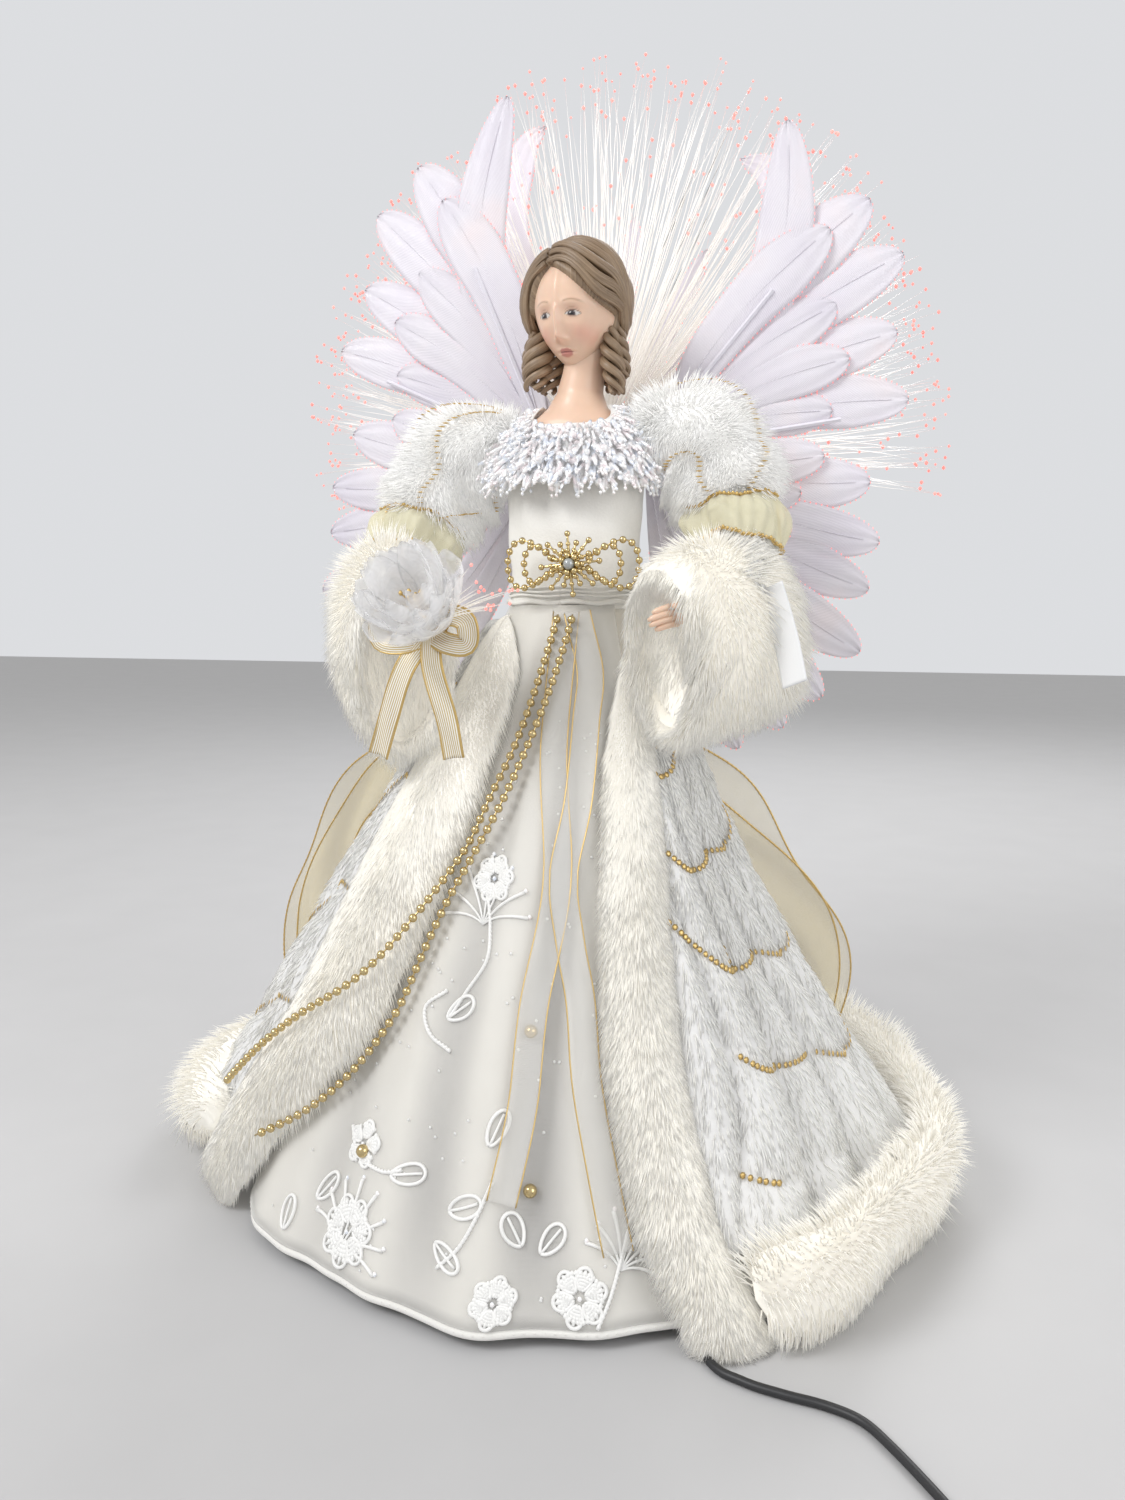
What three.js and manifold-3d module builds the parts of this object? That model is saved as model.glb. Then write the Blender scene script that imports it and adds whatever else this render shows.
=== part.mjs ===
// Angel tree topper: a doll on a cone, in a lace gown and a fur-trimmed coat, with feather wings
// and a fan of light fibres fed by a lamp and a turning colour wheel inside the cone.
// Millimetres, +Z up. The doll faces -Y and +X is the viewer's right.
// The origin is on the floor, under the middle of the whole figure.
import * as THREE from 'three'
import { mergeVertices } from 'three/addons/utils/BufferGeometryUtils.js'
import Module from 'manifold-3d'

const wasm = await Module()
wasm.setup()

// Driving sizes of the dressed figure
const overallHeight = 457
const waistHeight = 228
const waistRadius = 26
const hemRadius = 140
const bodyOffset = { x: 12, y: -7 }

// Clearances between pieces
const seat = 0.3
const clothGap = 0.4
const drapeGap = 1.1
const cutOverrun = 20
const weldDistance = 0.0001

// Inner cone, base ring and what lights the fibres
const coneTopRadius = 19
const coneBottomRadius = 94
const coneWall = 1.6
const ringInset = 8
const ringLip = 5
const ringHeight = 6
const coverRoom = 4.41
const shelfThickness = 3
const shelfWireHole = 4
const coverHeight = 34
const coverRadius = 37
const coverWall = 1.6
const lampX = -6
const socketRadius = 6
const socketHeight = 9
const bulbRadius = 4.6
const bulbHeight = 15
const wheelX = 11
const wheelRadius = 23
const wheelThickness = 1.6
const wheelHeight = 27.5
const hubRadius = 5
const hubLength = 5
const hubFlangeRadius = 9
const filmThickness = 0.8
const motorRadius = 8
const motorHeight = 20
const shaftRadius = 1
const ferruleRadius = 5.4
const ferruleBore = 4.5
const ferruleLength = 20
const bundleRadius = 4.3

// Gown, lace, coat and their edges
const gownThickness = 1
const gownBottom = 7.4
const gownColumnCount = 40
const gownRowCount = 4
const fluteDepth = 5
const fluteCount = 8
const bellShare = 0.5
const laceThickness = 0.5
const laceLeftCount = 7
const laceRightCount = 5
const hemRollRadius = 1.7
const coatThickness = 4
const coatBottom = 36.6
const coatDrop = 6
const coatFoldDepth = 5
const coatFoldCount = 9
const coatSpread = 17
const borderThickness = 12
const borderWidths = { left: [46, 36], right: [27, 19] }
const borderDrop = 16
const borderRim = 2
const borderFade = 85
const borderGap = 1.6
const hemFurHeight = 37
const hemFurThickness = 20
const hemFurLift = 0.5

// Doll
const headHalfWidth = 15.5
const headHalfDepth = 18
const headHalfHeight = 24.5
const headX = 2
const headY = -3
const headRise = 58
const headYaw = -7
const hairThickness = 3.4
const neckRadius = 9
const bodiceHeight = 54
const bustGap = 1.6
const bustHeight = 25.4
const bustHalfWidth = 27
const shoulderRise = 4
const bodiceThickness = 2
const fringeThickness = 1.6
const armReach = 80
const armRadius = 5.5
const sleeveThickness = 2
const sleeveRadius = 14
const furSleeveRadius = 22
const cuffWall = 7
const cuffHalfHeight = { left: 39, right: 35 }
const cuffHalfWidth = 22
const labelWidth = 11
const labelHeight = 36
const labelThickness = 0.6

// Wings, plumes and fibre fan
const hingeX = 14
const hingeY = 22.5
const hingeDrop = 22
const hingeLength = 33
const hingePinRadius = 1.4
const hingeClearance = 0.3
const hingeWall = 1.2
const wingSweep = 7
const wingReach = 130
const wingRootDrop = 7
const wingRootOut = 6
const wingRaise = { left: 16, right: 0 }
const wingScaleShare = { left: 1.06, right: 1 }
const featherThickness = 0.8
const featherStep = 0.5
const featherWidth = 26
const wingRibDepth = 6.5
const ribRadius = 0.9
const fanRise = 6
const strandLayerStep = 1.3
const fanX = -2
const fanFrontY = 44
const fanDiscRadius = 20
const fanDiscThickness = 3
const fanReach = 167.3
const strandRadius = 0.26
const strandCount = 74
const plumeThickness = 0.9
const plumeStandoff = 4.5
const plumeLean = 0.24

// Trimmings
const beadRadius = 1.5
const beadPitch = 9
const beadThread = 0.6
const beadSideCount = 3
const ribbonThickness = 0.6
const tailWidth = 9
const organzaWidth = 30
const streamerRootShare = { left: 0.19, right: 0.389 }
const broochRadius = 11
const broochThickness = 3
const broochPost = 10.6
const bowStandoff = 0.9
const flowerRadius = 21
const flowerDepth = 17
const flowerWall = 1.2
const flowerThroat = 4
const stemLength = 16
const stemRadius = 2.2
const ribbonPuff = 4

// Power lead
const cordRadius = 1.4
const cordLift = 0.2
const cordSideCount = 8
const cordExitAngle = 31
const grommetRadius = 2.6
const grommetLength = 13
const leadStandoff = 2.4
const coilTurnCount = 3
const coilLayerCount = 4
const coilPitch = 3.7
const coilMiddleRadius = 16.1
const plugRadius = 4.2
const plugLength = 20
const barrelRadius = 2.6
const barrelBore = 1.1
const barrelLength = 10
const barrelBoreDepth = 8
const coilStepCount = 10
const coilSideCount = 5

// Heights and places that follow from the sizes above
const shelfHeight = waistHeight * (coneBottomRadius - coverRadius - coneWall - coverRoom)
  / (coneBottomRadius - coneTopRadius) - shelfThickness - coverHeight
const coatTop = waistHeight - coatDrop
const borderTop = waistHeight - borderDrop
const bustBottom = waistHeight + bodiceHeight + bustGap
const shoulderHeight = waistHeight + bodiceHeight + shoulderRise
const headCentre = new THREE.Vector3(headX, headY, waistHeight + bodiceHeight + headRise)
const hingeBottom = shoulderHeight - hingeDrop
const hingeTop = hingeBottom + hingeLength
const wingRootHeight = hingeTop - wingRootDrop
const fanHeight = shoulderHeight + fanRise

const degrees = THREE.MathUtils.degToRad
const fullTurn = 2 * Math.PI
const point = (x, y, z) => new THREE.Vector3(x, y, z)

// Finishes
const finish = (color, roughness, metalness = 0) =>
  new THREE.MeshStandardMaterial({ color, roughness, metalness })
const finishes = {
  board: () => finish(0xe9e4d8, 0.8),
  lightPlastic: () => finish(0xf0efe9, 0.45),
  metal: () => finish(0xb9babd, 0.35, 0.9),
  glass: () => finish(0xfff1d6, 0.1),
  amber: () => finish(0xf2b23c, 0.25),
  fibre: () => finish(0xdcd9d2, 0.2),
  porcelain: () => finish(0xe9c3a6, 0.35),
  hair: () => finish(0x8a6746, 0.5),
  felt: () => finish(0xf2f0ea, 0.9),
  gown: () => finish(0xf3efe4, 0.8),
  lace: () => finish(0xf7f6f2, 0.7),
  plush: () => finish(0xf6f5f3, 0.95),
  fur: () => finish(0xf3ecdb, 1),
  gold: () => finish(0xb08d45, 0.3, 0.9),
  organza: () => finish(0xe5d49a, 0.5),
  feather: () => finish(0xdcd8ea, 0.6),
  beads: () => finish(0xe6e7ec, 0.2),
  cord: () => finish(0x161616, 0.5)
}

// Closed meshes and their joins
function bodyFrom(points, faces) {
  let volume = 0
  for (const [a, b, c] of faces) volume += points[a].dot(points[b].clone().cross(points[c]))
  const outward = volume < 0 ? faces.map(([a, b, c]) => [a, c, b]) : faces
  const geometry = new THREE.BufferGeometry().setFromPoints(points)
  geometry.setIndex(outward.flat())
  return geometry
}

function solidFrom(geometry) {
  const bare = new THREE.BufferGeometry()
  bare.setAttribute('position', geometry.getAttribute('position').clone())
  if (geometry.index) bare.setIndex(geometry.index.clone())
  const merged = mergeVertices(bare, weldDistance)
  return new wasm.Manifold(new wasm.Mesh({
    numProp: 3,
    vertProperties: Float32Array.from(merged.getAttribute('position').array),
    triVerts: Uint32Array.from(merged.index.array)
  }))
}

function geometryFrom(solid) {
  const mesh = solid.getMesh()
  const geometry = new THREE.BufferGeometry()
  geometry.setAttribute('position', new THREE.BufferAttribute(mesh.vertProperties, 3))
  geometry.setIndex(new THREE.BufferAttribute(mesh.triVerts, 1))
  return geometry
}

const joined = geometries => geometryFrom(geometries.map(solidFrom).reduce((all, next) => all.add(next)))
const trimmed = (geometry, cutters) =>
  geometryFrom(cutters.map(solidFrom).reduce((rest, cutter) => rest.subtract(cutter), solidFrom(geometry)))

// A sheet between two surfaces of (u, v), closed along its edges, or a ring where it wraps
function sheetBody(outer, inner, columns, rows, wraps = false) {
  const across = wraps ? columns : columns + 1
  const points = []
  for (const surface of [outer, inner]) {
    for (let row = 0; row <= rows; row += 1) {
      for (let column = 0; column < across; column += 1) points.push(surface(column / columns, row / rows))
    }
  }
  const at = (side, row, column) => (side * (rows + 1) + row) * across + (column % across)
  const faces = []
  const quad = (a, b, c, d) => faces.push([a, b, c], [a, c, d])
  for (let column = 0; column < columns; column += 1) {
    for (let row = 0; row < rows; row += 1) {
      quad(at(0, row, column), at(0, row, column + 1), at(0, row + 1, column + 1), at(0, row + 1, column))
      quad(at(1, row, column), at(1, row + 1, column), at(1, row + 1, column + 1), at(1, row, column + 1))
    }
    quad(at(0, 0, column), at(1, 0, column), at(1, 0, column + 1), at(0, 0, column + 1))
    quad(at(0, rows, column), at(0, rows, column + 1), at(1, rows, column + 1), at(1, rows, column))
  }
  for (let row = 0; row < rows && !wraps; row += 1) {
    quad(at(0, row, 0), at(0, row + 1, 0), at(1, row + 1, 0), at(1, row, 0))
    quad(at(0, row, columns), at(1, row, columns), at(1, row + 1, columns), at(0, row + 1, columns))
  }
  return bodyFrom(points, faces)
}

// Rings of equal counts joined in order, with a flat cap at each end
function ringBody(rings) {
  const sides = rings[0].length
  const last = (rings.length - 1) * sides
  const faces = []
  for (let ring = 0; ring < rings.length - 1; ring += 1) {
    for (let side = 0; side < sides; side += 1) {
      const a = ring * sides + side
      const b = ring * sides + ((side + 1) % sides)
      faces.push([a, b, b + sides], [a, b + sides, a + sides])
    }
  }
  for (let side = 1; side < sides - 1; side += 1) {
    faces.push([0, side + 1, side], [last, last + side, last + side + 1])
  }
  return bodyFrom(rings.flat(), faces)
}

// Rings round a curve; sizeAt(t) gives the half sizes along the frame's normal and binormal
function ringsAlong(curve, steps, sides, sizeAt) {
  const frames = curve.computeFrenetFrames(steps)
  const rings = []
  for (let step = 0; step <= steps; step += 1) {
    const t = step / steps
    const centre = curve.getPointAt(t)
    const [wide, tall] = sizeAt(t)
    const ring = []
    for (let side = 0; side < sides; side += 1) {
      const turn = (fullTurn * side) / sides
      ring.push(centre.clone()
        .addScaledVector(frames.normals[step], wide * Math.cos(turn))
        .addScaledVector(frames.binormals[step], tall * Math.sin(turn)))
    }
    rings.push(ring)
  }
  return rings
}

const taperedTube = (curve, steps, sides, sizeAt) => ringBody(ringsAlong(curve, steps, sides, sizeAt))

// A hollow sleeve along a curve, between two sizes
function sleeveBody(curve, steps, sides, outerAt, innerAt) {
  const rings = [outerAt, innerAt].map(sizeAt => ringsAlong(curve, steps, sides, sizeAt))
  const surface = side => (u, v) => rings[side][Math.round(v * steps)][Math.round(u * sides) % sides]
  return sheetBody(surface(0), surface(1), sides, steps, true)
}

// A round tube of one radius along a curve
function cordTube(curve, radius, sides, steps) {
  const section = new THREE.Shape()
  for (let side = 0; side < sides; side += 1) {
    const turn = (fullTurn * side) / sides
    if (side === 0) section.moveTo(radius, 0)
    else section.lineTo(radius * Math.cos(turn), radius * Math.sin(turn))
  }
  return new THREE.ExtrudeGeometry(section, { steps, bevelEnabled: false, extrudePath: curve })
}

// A turned piece about the vertical, from [radius, height] points
function turned(profile, segments = 24) {
  const points = profile.map(([radius, height]) => new THREE.Vector2(radius, height))
  return new THREE.LatheGeometry(points, segments).rotateX(Math.PI / 2)
}

const tubeProfile = (inner, outer, bottom, top) =>
  [[inner, bottom], [outer, bottom], [outer, top], [inner, top], [inner, bottom]]
const discProfile = (radius, bottom, top) => [[0, bottom], [radius, bottom], [radius, top], [0, top]]
const bar = (from, to, radius, sides = 6) =>
  cordTube(new THREE.LineCurve3(from, to), radius, sides, 1)

// A stack of ellipses; each level is [height, half width, half depth, centre Y]
const ellipsePoint = ([height, wide, deep, centreY], turn, grow = 0) =>
  point((wide + grow) * Math.sin(turn), centreY - (deep + grow) * Math.cos(turn), height)

function ellipseStack(levels, sides, grow = 0) {
  return ringBody(levels.map(level =>
    Array.from({ length: sides }, (_, side) => ellipsePoint(level, (fullTurn * side) / sides, grow))))
}

function ellipseShell(levels, sides, thickness, from = 0, to = fullTurn) {
  const wraps = to - from === fullTurn
  const surface = grow => (u, v) =>
    ellipsePoint(levels[Math.round(v * (levels.length - 1))], from + u * (to - from), grow)
  return sheetBody(surface(0), surface(-thickness), sides, levels.length - 1, wraps)
}

// Scene graph
const topper = new THREE.Group()
const figure = new THREE.Group()
figure.position.set(bodyOffset.x, bodyOffset.y, 0)
topper.add(figure)

function piece(name, geometry, material, parent = figure) {
  const mesh = new THREE.Mesh(geometry, material)
  mesh.name = name
  parent.add(mesh)
  return mesh
}

// Inner cone on its base ring
const coneRadius = height => coneBottomRadius - ((coneBottomRadius - coneTopRadius) * height) / waistHeight
const flangeThickness = 4
const flangeBottom = waistHeight - flangeThickness
const coneTop = flangeBottom - seat
const coneFoot = ringHeight + seat
const coneSegmentCount = 32

const exitDirection = point(Math.sin(degrees(cordExitAngle)), -Math.cos(degrees(cordExitAngle)), 0)
const ringInnerRadius = coneBottomRadius - ringInset
const ringOuterRadius = coneBottomRadius + ringLip
const grommetHeight = grommetRadius + seat
const grommetStart = exitDirection.clone().multiplyScalar(ringInnerRadius).setZ(grommetHeight)
const grommetReach = grommetLength + ringOuterRadius - ringInnerRadius
const grommetEnd = grommetStart.clone().addScaledVector(exitDirection, grommetReach)

function makeBase() {
  const slotHalf = grommetRadius + seat
  const slotMiddle = (ringInnerRadius + ringOuterRadius) / 2
  const slot = new THREE.BoxGeometry(2 * slotHalf, ringInset + ringLip + cutOverrun, 2 * cutOverrun)
    .rotateZ(degrees(cordExitAngle))
    .translate(exitDirection.x * slotMiddle, exitDirection.y * slotMiddle, 0)
  const ring = turned(tubeProfile(ringInnerRadius, ringOuterRadius, 0, ringHeight), coneSegmentCount)
  piece('base_ring', trimmed(ring, [slot]), finishes.board())
  const cone = turned([
    [coneRadius(coneFoot) - coneWall, coneFoot],
    [coneRadius(coneFoot), coneFoot],
    [coneRadius(coneTop), coneTop],
    [coneRadius(coneTop) - coneWall, coneTop],
    [coneRadius(coneFoot) - coneWall, coneFoot]
  ], coneSegmentCount)
  piece('skirt_cone', cone, finishes.board())
  const strainRelief = new THREE.LineCurve3(grommetStart, grommetEnd)
  const ringShare = (ringOuterRadius - ringInnerRadius) / grommetStart.distanceTo(grommetEnd)
  const grommetSize = t => {
    const narrowed = THREE.MathUtils.mapLinear(t, ringShare, 1, grommetRadius, cordRadius)
    const radius = t < ringShare ? grommetRadius : narrowed
    return [radius, radius]
  }
  piece('cord_grommet', taperedTube(strainRelief, 4, cordSideCount, grommetSize), finishes.cord())
}

// Lamp, motor, colour wheel and cover, on a shelf that sits in the cone
const shelfTop = shelfHeight + shelfThickness
const coverBottom = shelfTop + seat
const coverTop = coverBottom + coverHeight
const ferruleBottom = coverTop - coverWall - 3 * seat
const bundleStart = point(lampX, 0, ferruleBottom + ferruleLength + seat)

function makeLight() {
  const shelfRadius = coneRadius(shelfTop) - coneWall - 2 * seat
  const shelf = turned(discProfile(shelfRadius, shelfHeight, shelfTop), coneSegmentCount)
  const wireHole = turned(discProfile(shelfWireHole, shelfHeight - cutOverrun, shelfTop + cutOverrun), 16)
    .translate(wireHoleAt.x, wireHoleAt.y, 0)
  piece('light_shelf', trimmed(shelf, [wireHole]), finishes.lightPlastic())
  const cover = turned([
    [coverRadius - coverWall, coverBottom],
    [coverRadius, coverBottom],
    [coverRadius, coverTop],
    [0, coverTop],
    [0, coverTop - coverWall],
    [coverRadius - coverWall, coverTop - coverWall],
    [coverRadius - coverWall, coverBottom]
  ], 24)
  const collarHole = turned(discProfile(ferruleRadius + seat, coverBottom + 1, coverTop + cutOverrun), 20)
    .translate(lampX, 0, 0)
  piece('light_cover', trimmed(cover, [collarHole]), finishes.lightPlastic())
  piece('lamp_socket', turned(discProfile(socketRadius, coverBottom, coverBottom + socketHeight), 20)
    .translate(lampX, 0, 0), finishes.metal())
  const bulbFoot = coverBottom + socketHeight + seat
  const bulb = new THREE.SphereGeometry(bulbRadius, 10, 8)
    .scale(1, 1, bulbHeight / (2 * bulbRadius))
    .translate(lampX, 0, bulbFoot + bulbHeight / 2)
  piece('lamp_bulb', bulb, finishes.glass())
  const motorTop = coverBottom + motorHeight
  piece('wheel_motor', joined([
    turned(discProfile(motorRadius, coverBottom, motorTop), 20),
    turned(discProfile(shaftRadius, motorTop - shaftRadius, coverBottom + wheelHeight), 8)
  ]).translate(wheelX, 0, 0), finishes.metal())
  makeWheel()
  piece('fiber_ferrule', turned(
    tubeProfile(ferruleBore, ferruleRadius, ferruleBottom, ferruleBottom + ferruleLength), 20)
    .translate(lampX, 0, 0), finishes.metal())
}

// The wheel is a disc of clear film in four colours on a flanged hub, turned by the motor's shaft
function makeWheel() {
  const filmBottom = coverBottom + wheelHeight
  const bore = shaftRadius + hingeClearance
  const hub = turned([
    [bore, filmBottom - hubLength],
    [hubRadius - 1, filmBottom - hubLength],
    [hubRadius - 1, filmBottom - wheelThickness],
    [hubFlangeRadius, filmBottom - wheelThickness],
    [hubFlangeRadius, filmBottom],
    [hubRadius - 1, filmBottom],
    [hubRadius - 1, filmBottom + wheelThickness],
    [bore, filmBottom + wheelThickness],
    [bore, filmBottom - hubLength]
  ], 16)
  piece('wheel_hub', hub.translate(wheelX, 0, 0), finishes.lightPlastic())
  const filmProfile = tubeProfile(hubRadius - 1 + seat, wheelRadius, filmBottom, filmBottom + filmThickness)
  const film = turned(filmProfile, 24)
  piece('color_wheel', film.translate(wheelX, 0, 0), finishes.amber())
}

// The lead inside the cone, from the grommet up the wall to the shelf
const leadInset = coneWall + cordRadius + leadStandoff
const alongExit = (radius, height) => exitDirection.clone().multiplyScalar(radius).setZ(height)
const wireHoleAt = exitDirection.clone().multiplyScalar(coneRadius(shelfHeight) - leadInset - shelfWireHole)

function makeInnerLead() {
  const wallPoint = height => alongExit(coneRadius(height) - leadInset, height)
  const route = new THREE.CatmullRomCurve3([
    alongExit(ringInnerRadius - seat, grommetHeight),
    alongExit(ringInnerRadius - 3 * cordRadius, grommetHeight),
    wallPoint(ringHeight + 6 * cordRadius),
    wallPoint(shelfHeight / 2),
    wallPoint(shelfHeight - 6 * cordRadius),
    point(wireHoleAt.x, wireHoleAt.y, shelfHeight - seat)
  ])
  piece('inner_lead', cordTube(route, cordRadius, cordSideCount, 10), finishes.cord())
}

// Bundle of fibres from the ferrule, up behind the torso to the fan
const bundleCurve = new THREE.CatmullRomCurve3([
  bundleStart,
  point(lampX, 0, bundleStart.z + bundleRadius),
  point(lampX / 2, hingeY * 0.58, flangeBottom - seat),
  point(fanX, hingeY * 0.87, waistHeight + 3 * bundleRadius),
  point(fanX, hingeY * 1.2, hingeBottom + bundleRadius),
  point(fanX, fanFrontY - 2 * bundleRadius, fanHeight - seat),
  point(fanX, fanFrontY - 2 * seat, fanHeight)
])
const bundleCutter = taperedTube(bundleCurve, 10, 7, () => [bundleRadius + 2 * seat, bundleRadius + 2 * seat])

// Torso, bodice, head, hair and fringe; each level share is [height, half width, half depth, middle's depth]
const bodiceShares = [
  [0, 0.926, 0.704, -0.222], [0.26, 0.926, 0.685, -0.222], [0.52, 0.963, 0.667, -0.185],
  [0.78, 1, 0.63, -0.111], [1, 1, 0.593, 0]
]
const bustShares = [
  [0, 0.963, 0.578, 0], [0.252, 0.926, 0.578, 0], [0.528, 0.704, 0.5, 0], [0.764, 0.444, 0.389, 0],
  [1, neckRadius / bustHalfWidth, neckRadius / bustHalfWidth, 0]
]
const fringeShares = [
  [-0.457, 1.185, 0.889, -0.111], [-0.024, 1.148, 0.778, -0.074], [0.291, 1.037, 0.704, -0.037],
  [0.567, 0.778, 0.593, 0], [0.803, 0.504, 0.452, 0]
]
const levelsFrom = (shares, bottom, height) => shares.map(([rise, wide, deep, middle]) =>
  [bottom + rise * height, wide * bustHalfWidth, deep * bustHalfWidth, middle * bustHalfWidth])
const bodiceLevels = levelsFrom(bodiceShares, waistHeight + seat, bodiceHeight - seat)
const bustLevels = levelsFrom(bustShares, bustBottom, bustHeight)
const fringeLevels = levelsFrom(fringeShares, bustBottom, bustHeight)
const bodyCutter = ellipseStack([...bodiceLevels, ...bustLevels], 16, seat)
const fringeCutter = ellipseStack(fringeLevels, 16, seat)
const bodySideCount = 16

function makeTorso() {
  const core = ellipseStack(bodiceLevels.map(([height, wide, deep, centreY], index) =>
    [index === 0 ? waistHeight - seat : height, wide, deep, centreY]), bodySideCount, -bodiceThickness - clothGap)
  const flangeRadius = waistRadius - gownThickness - clothGap
  const flange = turned(discProfile(flangeRadius, flangeBottom, waistHeight), coneSegmentCount)
  piece('torso', trimmed(joined([core, flange]), [bundleCutter]), finishes.board())
  const cloth = ellipseShell(bodiceLevels, bodySideCount, bodiceThickness)
  piece('bodice', trimmed(cloth, [bundleCutter]), finishes.felt())
}

// Head surface: an egg that narrows to the chin, with a nose, brows and lips
function headPoint(u, v, grow = 0) {
  const turn = fullTurn * u
  const fall = Math.PI * v
  const down = Math.max(0, -Math.cos(fall))
  const jaw = 1 - 0.3 * down ** 1.6
  const front = Math.max(0, -Math.cos(turn))
  const bump = (centre, width, size) => size * Math.exp(-(((v - centre) / width) ** 2)) * front ** 24
  const relief = bump(0.6, 0.05, 3.2) + bump(0.5, 0.06, 1.4) + bump(0.7, 0.03, 1.5) + bump(0.86, 0.05, 1.6)
  const ring = Math.sin(fall) * jaw
  return point(
    (headHalfWidth + grow) * ring * Math.sin(turn),
    (headHalfDepth + grow) * ring * Math.cos(turn) - relief,
    (headHalfHeight + grow) * Math.cos(fall))
}

function headBody(grow) {
  const columns = 14
  const rows = 11
  const points = [headPoint(0, 0, grow), headPoint(0, 1, grow)]
  const faces = []
  for (let row = 1; row < rows; row += 1) {
    for (let column = 0; column < columns; column += 1) points.push(headPoint(column / columns, row / rows, grow))
  }
  const at = (row, column) => 2 + (row - 1) * columns + (column % columns)
  for (let column = 0; column < columns; column += 1) {
    faces.push([0, at(1, column), at(1, column + 1)])
    faces.push([1, at(rows - 1, column + 1), at(rows - 1, column)])
    for (let row = 1; row < rows - 1; row += 1) {
      faces.push([at(row, column), at(row + 1, column), at(row + 1, column + 1)])
      faces.push([at(row, column), at(row + 1, column + 1), at(row, column + 1)])
    }
  }
  return bodyFrom(points, faces)
    .rotateZ(degrees(headYaw))
    .translate(headCentre.x, headCentre.y, headCentre.z)
}

function makeHead() {
  const neck = taperedTube(new THREE.CatmullRomCurve3([
    point(0, 1, bustBottom + neckRadius),
    point(headCentre.x, 1, headCentre.z - headHalfHeight * 0.4)
  ]), 2, 12, () => [neckRadius, neckRadius - 1])
  const head = joined([headBody(0), neck, ellipseStack(bustLevels, bodySideCount)])
  piece('head_and_neck', head, finishes.porcelain())

  const cap = new THREE.SphereGeometry(1, 12, 8)
    .scale(headHalfWidth + hairThickness, headHalfDepth + hairThickness, headHalfHeight + 1)
    .translate(0, 2, 2)
  const bun = new THREE.SphereGeometry(1, 8, 6)
    .scale(headHalfWidth, hairThickness * 3, headHalfHeight * 0.8)
    .translate(0, headHalfDepth - hairThickness, -hairThickness)
  const faceOpening = new THREE.SphereGeometry(1, 10, 6)
    .scale(headHalfWidth * 0.9, headHalfDepth, headHalfHeight * 0.95)
    .translate(0, -headHalfDepth - hairThickness, -headHalfHeight * 0.16)
  const curl = side => {
    const curlRadius = 4.6
    const turns = 1.5
    const start = point(side * (headHalfWidth + 1), 0, -headHalfHeight * 0.3)
    const points = Array.from({ length: 10 }, (_, index) => {
      const share = index / 9
      const turn = fullTurn * turns * share
      const swing = 0.6 * curlRadius
      return start.clone().add(point(swing * Math.cos(turn), swing * Math.sin(turn), -share * headHalfHeight))
    })
    return taperedTube(new THREE.CatmullRomCurve3(points), 8, 5, t => {
      const radius = curlRadius * (1 - 0.45 * t)
      return [radius, radius]
    })
  }
  const locks = joined([cap, bun, curl(1), curl(-1)])
    .rotateZ(degrees(headYaw))
    .translate(headCentre.x, headCentre.y, headCentre.z)
  const opening = faceOpening.rotateZ(degrees(headYaw)).translate(headCentre.x, headCentre.y, headCentre.z)
  const bustCutter = ellipseStack(bustLevels, bodySideCount, seat)
  const neckCutter = turned(discProfile(neckRadius + 2 * seat, bustBottom, headCentre.z), 16)
    .translate(headCentre.x / 2, 1, 0)
  const cutters = [opening, headBody(seat), neckCutter, bustCutter, fringeCutter]
  piece('hair', trimmed(locks, cutters), finishes.hair())
}

// Arms: each side's curve runs shoulder, elbow, wrist, finger tips
const armShares = {
  right: [[0.275, 0.025, 0], [0.7, 0.038, -0.15], [0.925, -0.05, -0.45], [0.8, -0.375, -0.763],
    [0.625, -0.7, -0.763]],
  left: [[-0.275, 0.025, 0], [-0.725, 0.038, -0.163], [-0.975, -0.1, -0.475], [-0.825, -0.475, -0.775],
    [-0.575, -0.8, -0.8]]
}
const armPoint = ([x, y, z]) => point(x * armReach, y * armReach, shoulderHeight + z * armReach)
const armCurves = {
  right: new THREE.CatmullRomCurve3(armShares.right.map(armPoint)),
  left: new THREE.CatmullRomCurve3(armShares.left.map(armPoint))
}
const part = (curve, from, to, count = 9) =>
  new THREE.CatmullRomCurve3(Array.from({ length: count }, (_, index) =>
    curve.getPointAt(from + ((to - from) * index) / (count - 1))))
const sleeveFrom = 0.06
const sleeveTo = 0.56
const handFrom = 0.86

function makeArm(side) {
  const curve = armCurves[side]
  const wristRadius = armRadius * 0.62
  const forearm = taperedTube(part(curve, 0, 0.9), 9, 7, t => {
    const radius = THREE.MathUtils.lerp(armRadius, wristRadius, t)
    return [radius, radius]
  })
  const palm = taperedTube(part(curve, handFrom, 1), 3, 7, t => {
    const size = armRadius * (0.6 + 0.5 * Math.sin(Math.PI * Math.min(1, t + 0.25)))
    return [size, size * 0.7]
  })
  const tip = curve.getPointAt(1)
  const reach = curve.getTangentAt(1)
  const fingers = Array.from({ length: 3 }, (_, index) => {
    const spread = point(0, 0, (index - 1) * armRadius * 0.42)
    const from = tip.clone().add(spread).addScaledVector(reach, -armRadius * 0.6)
    const to = from.clone().addScaledVector(reach, armRadius * 2).add(point(0, 0, -armRadius * 0.2 * index))
    return bar(from, to, armRadius * 0.22, 4)
  })
  piece(`${side}_arm`, trimmed(joined([forearm, palm, ...fingers]), [bodyCutter]), finishes.porcelain())
}

const sleeveSize = t => sleeveRadius * (0.9 + 0.35 * t)
const square = size => [size, size]

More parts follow.
